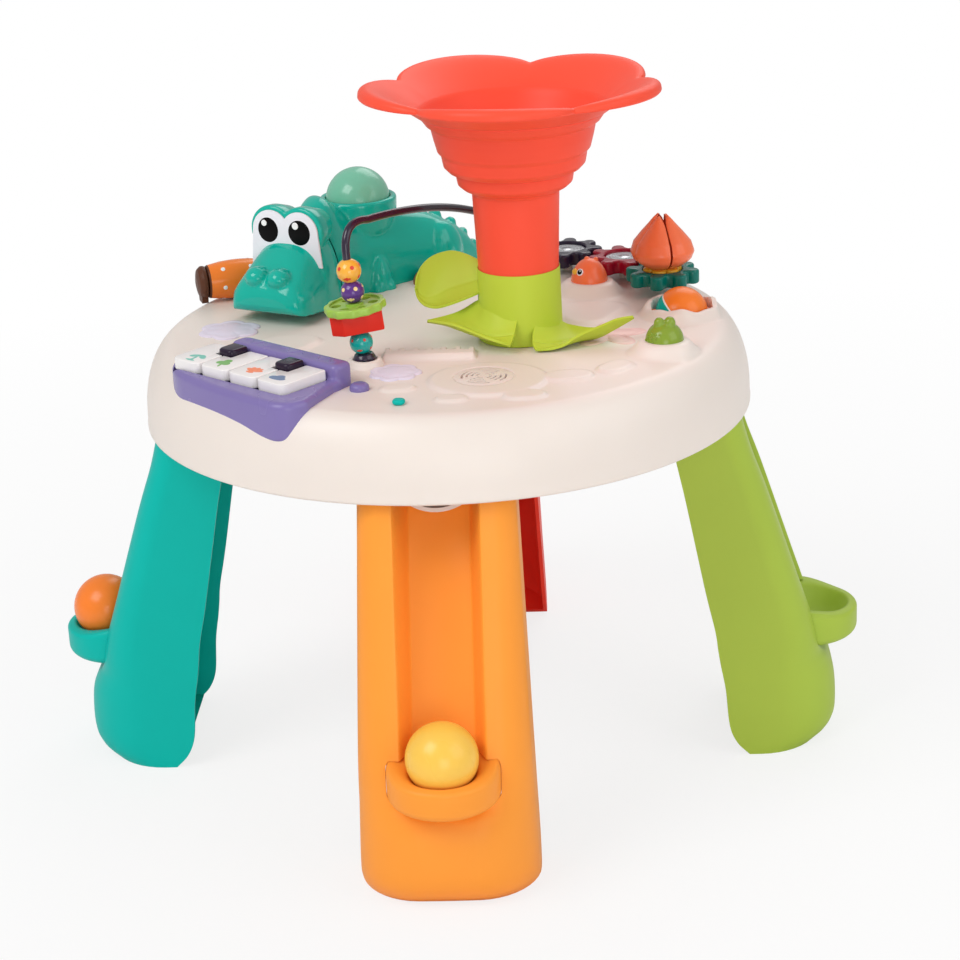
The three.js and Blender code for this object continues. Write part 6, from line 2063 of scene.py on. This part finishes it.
@dataclass
class Roller:
    """The two-coloured ball that turns in its wavy rim."""

    x: float = 176.0
    y: float = 10.0
    z: float = 331.0
    radius: float = 19.4
    line: float = 0.3
    pole: Spot = (0.69, -0.13, 0.71)

    def build(self) -> None:
        """Makes the ball with its pale line and its axle."""
        turns = np.radians([*np.linspace(-90, -1.8, 40), *np.linspace(1.8, 90, 40)])
        profile = [(self.radius * cos(t), self.radius * sin(t)) for t in turns]
        ball = raw_object("roller_ball", lathe(profile, 96).aimed(self.pole).moved(self.x, self.y, self.z))
        centre, pole = Vector((self.x, self.y, self.z)), Vector(self.pole).normalized()

        def rule(point: Vector) -> int:
            """Teal below the pale line, orange above it."""
            height = (point - centre).dot(pole)
            return 2 if abs(height) < self.line else int(height < 0)

        paint(ball, rule)
        place(ball, Dress("roller", "ball_orange", ("roller",)), ORANGE_BALL, TEAL, DOT_WHITE, sharp=60)
        axle = rod(3, -24, 24).turned(90, Axis.Y).moved(self.x, self.y, self.z)
        piece("roller_axle", axle, Dress("roller", "ball_orange"), ORANGE_BALL)


# Gears and bud


@dataclass
class Gear:
    """One gear of the meshed train, with eight round lobes."""

    name: str
    x: float
    y: float
    phase: float
    finish: Finish
    slot: str
    disc: bool
    circle: float = 23.0
    lobe: float = 5.4
    valley: float = 19.2
    lobes: int = 8
    low: float = 338.5
    high: float = 349.5
    recess: float = 15.5
    recess_depth: float = 4.0

    def outline(self) -> list[Pair]:
        """The lobed edge of the gear.

        Returns:
            The points of the edge.
        """
        points = []
        for k in range(self.lobes):
            heading = radians(self.phase + 360 * k / self.lobes)
            for turn in np.linspace(-0.6 * pi, 0.6 * pi, 13):
                points.append((
                    self.circle * cos(heading) + self.lobe * cos(heading + turn),
                    self.circle * sin(heading) + self.lobe * sin(heading + turn),
                ))
            step = radians(180 / self.lobes)
            points.append((self.valley * cos(heading + step), self.valley * sin(heading + step)))
        return points

    def build(self) -> None:
        """Makes the gear and, where it has one, its silver disc."""
        gear = raw_object(f"{self.name}_wheel", prism(self.outline(), self.low, self.high))
        soften_edges(gear, 2.0, 4, 60)
        floor = self.high - self.recess_depth
        bowl = filleted([(0, floor), (self.recess - 1, floor, 0.8), (self.recess, floor + 1, 0.4),
                         (self.recess, self.high - 0.8), (self.recess + 1.2, self.high + 0.3),
                         (0, self.high + 0.3)], 3, False)
        cut(gear, lathe(bowl, 96), rod(5, 300, 360))
        settle(gear, self.x, self.y)
        place(gear, Dress(self.name, self.slot, (self.name,)), self.finish)
        if self.disc:
            self._disc()

    def _disc(self) -> None:
        """The silver disc with a raised middle and fine rings."""
        profile = [(0, 0.3), (14.6, 0.3), (14.8, 1.2), (14.2, 1.9), (12.8, 2.0)]
        for radius in (11.2, 8.6, 6.2):
            profile += [(radius + 0.6, 2.0), (radius, 1.5), (radius - 0.6, 2.0)]
        profile += [(3.6, 2.0), (3.0, 2.3), (1.0, 2.4), (0, 2.4)]
        form = lathe(profile, 96).moved(self.x, self.y, self.high - self.recess_depth)
        piece(f"{self.name}_face", form, Dress(self.name, "silver", (f"{self.name}_disc",)), SILVER)
        post = rod(4.4, TABLE_TOP + 1, 345.2).moved(self.x, self.y)
        piece(f"{self.name}_post", post, Dress(), CREAM)


@dataclass
class Bud:
    """The closed flower that stands in the teal gear on yellow sepals."""

    x: float = 164.0
    y: float = 68.0
    low: float = 350.6
    height: float = 41.0
    radius: float = 25.0
    half_span: float = 36.8
    thick: float = 1.9
    headings: tuple[float, ...] = (-113, -35, 43, 115, 187)
    sunk: tuple[float, ...] = (0.0, -0.4, -1.5, 0.0, -1.5)
    outline: tuple[Pair, ...] = (
        (0, 0.42), (0.06, 0.64), (0.18, 0.9), (0.33, 1), (0.52, 0.9), (0.7, 0.66), (0.86, 0.42), (1, 0.24),
    )
    spans: tuple[Pair, ...] = (
        (0, 1), (0.3, 1.0), (0.5, 1.0), (0.7, 1.0), (0.84, 0.97), (0.92, 0.85), (0.97, 0.62), (1, 0.25),
    )

    def _petal(self, index: int) -> Form:
        """One cupped petal, overlapping its neighbours.

        Args:
            index: Which petal.

        Returns:
            The petal, about the bud's own axis.
        """
        heading, raised = radians(self.headings[index]), self.sunk[index]
        shares = np.linspace(0, 1, 26)
        radii = np.interp(shares, *zip(*self.outline))
        spans = np.interp(shares, *zip(*self.spans))
        rings = []
        for share, reach, span in zip(shares, radii, spans):
            half = radians(self.half_span) * float(span)
            ring = []
            for inner in (False, True):
                row = []
                for k in np.linspace(-1, 1, 19):
                    bulge = self.radius * float(reach) + raised + 0.9 * (1 - k * k) * float(span) - 0.6 * abs(k) ** 4
                    radius = bulge - (self.thick * (1 - 0.75 * abs(k) ** 8) if inner else 0)
                    angle = heading + half * k
                    height = self.low + self.height * float(share) - 1.2 * abs(k) ** 2 * float(share)
                    row.append((max(radius, 0.4) * cos(angle), max(radius, 0.4) * sin(angle), height))
                ring += row if not inner else row[::-1]
            rings.append(np.array(ring))
        return loft(rings)

    def build(self) -> None:
        """Makes the petals and the sepals."""
        petals = []
        for index in range(len(self.headings)):
            thing = raw_object("petal", self._petal(index))
            soften_edges(thing, 0.45, 2, 50)
            petals.append(thing)
        whole = joined(petals)
        whole.name = "bud_petals"
        settle(whole, self.x, self.y)
        place(whole, Dress("gear_teal", "bud_coral", ("flower_bud",)), BUD)
        self._sepals()

    def _sepals(self) -> None:
        """The yellow plate of six rounded sepals and its foot."""
        angles = np.linspace(0, 2 * pi, 180, endpoint=False)
        reach = 15.2 - 4.5 * (1 - np.abs(np.cos(3 * angles)) ** 0.5)
        plan = np.column_stack([reach * np.cos(angles), reach * np.sin(angles)])
        rings = []
        levels = ((0.6, 345.8), (0.97, 346.2), (1.0, 348.4), (0.97, 350.2), (0.85, 351.0), (0.6, 350.8))
        for share, height in levels:
            rings.append(np.column_stack([plan * share, np.full(len(plan), height)]))
        form = loft(rings).turned(14).moved(self.x, self.y)
        piece("bud_sepals", form, Dress("gear_teal", "amber", ("bud_calyx",)), AMBER)


# Barrel, dome and switch


@dataclass
class Barrel:
    """The striped barrel that turns between two brown ends."""

    x: float = -168.0
    y: float = 92.0
    z: float = 345.6
    turn: float = 20.0
    half: float = 23.0
    radius: float = 13.0
    swell: float = 2.0
    band: float = 21.4
    pin: float = 24.6
    post: float = 26.1

    def put(self, form: Form) -> Form:
        """A form that lies along X put in the barrel's place."""
        return form.turned(self.turn).moved(self.x, self.y, self.z)

    def build(self) -> None:
        """Makes the barrel, its caps and the two ends that carry it."""
        edge = [(0.0, self.half), (10.6, self.half), (12.4, self.half - 0.6), (self.radius, self.half - 1.8)]
        profile = [(reach, -along) for reach, along in edge]
        for share in np.linspace(-1, 1, 25):
            profile.append((self.radius + self.swell * (1 - share * share), share * (self.half - 2.4)))
        profile += edge[::-1]
        body = raw_object("barrel_body", self.put(lathe(profile, 96).turned(90, Axis.Y)))
        heading = Vector((cos(radians(self.turn)), sin(radians(self.turn)), 0))
        centre = Vector((self.x, self.y, self.z))

        def rule(point: Vector) -> int:
            """Brown at both ends, orange between them."""
            return 1 if abs((point - centre).dot(heading)) > self.band else 0

        paint(body, rule)
        place(body, Dress("barrel", "ball_orange", ("barrel_roller",)), BARREL, BROWN, sharp=45)
        # White dots spread in two rings from one glint on the barrel: painted highlights, not print.
        dots = []
        for shift in (-11.0, 11.0):
            for turn in range(0, 360, 60):
                angle = radians(turn - 50)
                normal = np.array([0.0, cos(angle), sin(angle)])
                reach = self.radius + self.swell * (1 - (shift / (self.half - 2.4)) ** 2)
                dots.append(pill(normal * reach + np.array([shift, 0.0, 0.0]), normal, 1.7, 0.25, 20))
        form = self.put(together(dots))
        piece("barrel_painted_highlights", form, Dress("barrel", "ball_orange"), DOT_WHITE)
        pins = [rod(3, -2.4, 2.4, 24).turned(90, Axis.Y).moved(end.value * self.pin) for end in End]
        piece("barrel_pins", self.put(together(pins)), Dress("barrel", "ball_orange"), BROWN)
        for end in End:
            self._post(end)

    def _post(self, end: End) -> None:
        """One end: a round domed cap over the barrel's end, with a foot to the table.

        Args:
            end: Which end.
        """
        word = end.name.lower()
        foot = prism([(-5.5, -15.4), (5.5, -15.4), (7.4, -4.0), (-7.4, -4.0)], -2.5, 2.5).upright()
        profile = [(0, -2.2), (12.6, -2.2, 0.6), (12.8, 0.6, 1.5), (10.4, 3.6, 2.5), (5.0, 4.8, 2), (0, 5.0)]
        cap = lathe(filleted(profile, 4, False), 72).turned(90 * end.value, Axis.Y)
        post = raw_object(f"barrel_end_{word}", self.put(together([foot, cap]).moved(end.value * self.post)))
        place(post, Dress(slot="brown", replaces=(f"barrel_post_{word}",)), BROWN)


@dataclass
class SmallParts:
    """The low brown dome at the back and the sound switch at the front edge."""

    dome: Pair = (-19.0, 116.0)
    dome_radius: float = 12.0
    switch: Pair = (-23.0, -183.0)
    switch_turn: float = -7.0

    def build(self) -> None:
        """Makes both."""
        foot = TABLE_TOP + 0.3
        profile = dome_line(self.dome_radius, foot, self.dome_radius, 24)
        form = lathe([(0, foot), *profile], 64).moved(*self.dome)
        piece("brown_dome", form, Dress(slot="brown", replaces=("back_dome",)), RUST)
        knob = raw_object("switch_knob", prism(rounded_box((-4.4, 4.4), (-4.2, 4.2), 4, 4, 8), foot, TABLE_TOP + 4))
        soften_edges(knob, 1.8, 5, 60)
        settle(knob, *self.switch, self.switch_turn)
        place(knob, Dress("mode_switch", "teal", ("mode_switch",)), TEAL)
        # A flat dark plate on the top where the switch's slot opens: painted shade, not a real opening.
        slot = rounded_box((-4.6, 12.6), (-3.4, 3.4), 3.4, 3.4, 8)
        plate = prism(slot, TABLE_TOP - 1.0, TABLE_TOP + 0.15).turned(self.switch_turn).moved(*self.switch)
        piece("switch_slot_painted_shade", plate, Dress(), DARK_AND_SHADE)


# Studio


@dataclass(frozen=True)
class Lamp:
    """A large soft lamp that points at the table."""

    name: str
    spot: Spot
    size: float
    power: float
    target: Spot = (0, 0, 0.3)

    def build(self) -> None:
        """Hangs the lamp."""
        data = bpy.data.lights.new(self.name, "AREA")
        data.shape = "SQUARE"
        data.size = self.size
        data.energy = self.power
        lamp = bpy.data.objects.new(self.name, data)
        lamp.location = self.spot
        aim = Vector(self.target) - Vector(self.spot)
        lamp.rotation_euler = aim.to_track_quat("-Z", "Y").to_euler()
        bpy.context.collection.objects.link(lamp)
        lamp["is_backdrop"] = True


@dataclass
class Studio:
    """The pale floor, the soft light and the camera of the picture."""

    glow: float = 0.78
    ambient: float = 0.5
    lens: float = 92.2
    sensor: float = 36.0
    roll: float = 2.61
    eye: Spot = (0.10746, -1.75449, 0.85769)
    forward: Spot = (-0.04645, 0.93641, -0.34781)
    right: Spot = (0.99877, 0.04954, 0.0)
    floor_reach: float = 14.0
    floor_shade: float = 0.86
    lamps: tuple[Lamp, ...] = (
        Lamp("key_light", (-1.5, -1.3, 2.3), 1.5, 33.5),
        Lamp("low_light", (0.4, -2.3, 0.45), 1.0, 8.0),
        Lamp("fill_light", (1.9, -1.1, 1.5), 1.8, 14.0),
        Lamp("rim_light", (0.6, 1.8, 2.0), 1.6, 14.0),
    )

    def build(self) -> None:
        """Sets up everything that isn't part of the table."""
        self._floor()
        self._world()
        for lamp in self.lamps:
            lamp.build()
        self._camera()
        bpy.context.scene.view_settings.view_transform = "Standard"

    def _floor(self) -> None:
        """A wide pale floor that reads as white paper and still takes a soft shadow."""
        mesh, reach = bpy.data.meshes.new("floor"), self.floor_reach
        square = [(-reach, -reach, 0), (reach, -reach, 0), (reach, reach, 0), (-reach, reach, 0)]
        mesh.from_pydata(square, [], [(0, 1, 2, 3)])
        floor = bpy.data.objects.new("floor", mesh)
        bpy.context.collection.objects.link(floor)
        material = bpy.data.materials.new("paper")
        material.use_nodes = True
        nodes, links = material.node_tree.nodes, material.node_tree.links
        nodes.clear()
        matt = new_node(nodes, "ShaderNodeBsdfDiffuse", {"Color": (*[self.floor_shade] * 3, 1)})
        light = new_node(nodes, "ShaderNodeEmission", {"Strength": 1.0})
        path = nodes.new("ShaderNodeLightPath")
        spot = nodes.new("ShaderNodeTexCoord")
        far = new_node(nodes, "ShaderNodeVectorMath", operation="LENGTH")
        fade = new_node(nodes, "ShaderNodeMapRange", {"From Min": 0.35, "From Max": 1.3, "To Min": self.glow})
        share = new_node(nodes, "ShaderNodeMath", operation="MULTIPLY")
        links.new(spot.outputs["Object"], far.inputs[0])
        links.new(far.outputs["Value"], fade.inputs["Value"])
        mix = nodes.new("ShaderNodeMixShader")
        out = nodes.new("ShaderNodeOutputMaterial")
        links.new(fade.outputs["Result"], share.inputs[1])
        links.new(path.outputs["Is Camera Ray"], share.inputs[0])
        links.new(share.outputs[0], mix.inputs[0])
        links.new(matt.outputs[0], mix.inputs[1])
        links.new(light.outputs[0], mix.inputs[2])
        links.new(mix.outputs[0], out.inputs["Surface"])
        mesh.materials.append(material)
        floor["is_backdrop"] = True

    def _world(self) -> None:
        """White for what the camera and transmission rays see, softer for every other ray."""
        world = bpy.data.worlds.new("studio")
        bpy.context.scene.world = world
        world.use_nodes = True
        nodes, links = world.node_tree.nodes, world.node_tree.links
        nodes.clear()
        seen = new_node(nodes, "ShaderNodeBackground", {"Color": (1, 1, 1, 1), "Strength": 1.0})
        lit = new_node(nodes, "ShaderNodeBackground", {"Color": (1, 1, 1, 1), "Strength": self.ambient})
        path = nodes.new("ShaderNodeLightPath")
        most = new_node(nodes, "ShaderNodeMath", operation="MAXIMUM")
        mix = nodes.new("ShaderNodeMixShader")
        out = nodes.new("ShaderNodeOutputWorld")
        links.new(path.outputs["Is Camera Ray"], most.inputs[0])
        links.new(path.outputs["Is Transmission Ray"], most.inputs[1])
        links.new(most.outputs[0], mix.inputs[0])
        links.new(lit.outputs[0], mix.inputs[1])
        links.new(seen.outputs[0], mix.inputs[2])
        links.new(mix.outputs[0], out.inputs["Surface"])

    def _camera(self) -> None:
        """The camera where the photograph was taken from."""
        data = bpy.data.cameras.new("camera")
        data.lens = self.lens
        data.sensor_width = self.sensor
        data.clip_start = 0.05
        camera = bpy.data.objects.new("camera", data)
        forward, right = Vector(self.forward).normalized(), Vector(self.right).normalized()
        up = right.cross(forward)
        roll = radians(self.roll)
        across = right * cos(roll) - up * sin(roll)
        above = right * sin(roll) + up * cos(roll)
        turn = Matrix((across, above, -forward)).transposed().to_4x4()
        camera.matrix_world = Matrix.Translation(Vector(self.eye)) @ turn
        bpy.context.collection.objects.link(camera)
        bpy.context.scene.camera = camera
        camera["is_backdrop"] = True


# The whole table


def dress_kept(frame: dict) -> None:
    """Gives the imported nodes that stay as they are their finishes.

    Args:
        frame: What the frame holds.
    """
    kept = {
        "ball_guide": CORAL, "speaker": DARK_AND_SHADE, "circuit_board": BOARD, "battery_1": CELL, "battery_2": CELL,
        "battery_3": CELL, "battery_door": CREAM,
    }
    for name, finish in kept.items():
        mesh = frame["nodes"][name].data
        mesh.materials.clear()
        mesh.materials.append(finish.material())
        LOG.info("%s keeps its packed shape", name)


def corners(box: tuple[Vector, Vector]) -> list[list[float]]:
    """The lowest and highest corner as plain numbers."""
    return [[round(float(value), 6) for value in corner] for corner in box]


def main() -> None:
    """Builds the table, its toys and the studio round them."""
    logging.basicConfig(level=logging.INFO, format="%(name)s: %(message)s")
    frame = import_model()
    packed = corners(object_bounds())
    dress_kept(frame)
    TableShell().build()
    Underside().build()
    looks = {
        Side.FRONT: (ORANGE, "orange"), Side.RIGHT: (MOSS, "moss"),
        Side.BACK: (RED, "red"), Side.LEFT: (TEAL, "teal"),
    }
    for side, (finish, slot) in looks.items():
        Leg(side, finish, slot).build()
        Cup(side, finish, slot).build()
    Ball("ball_yellow", YELLOW_BALL, (0.0, -275.8, 110.2), "yellow").build()
    Ball("ball_orange", ORANGE_BALL, (-275.8, 0.0, 110.2), "ball_orange").build()
    Ball("ball_mint", MINT_BALL, (-71.5, 125.0, 398.0), "mint", tilt=-50).build()
    Flower().build()
    LeafCollar().build()
    Crocodile().build()
    BeadMaze().build()
    Keyboard().build()
    FishButton().build()
    FrogButton().build()
    Roller().build()
    Gear("gear_teal", 164.0, 68.0, 122.5, PINE, "pine", False).build()
    Gear("gear_maroon", 135.52, 112.70, 325.0, MAROON, "maroon", True).build()
    Gear("gear_navy", 90.58, 140.79, 173.5, NAVY, "navy", True).build()
    Bud().build()
    Barrel().build()
    SmallParts().build()
    Studio().build()
    {"cad": packed, "visual": corners(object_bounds())}


if __name__ == "__main__":
    main()
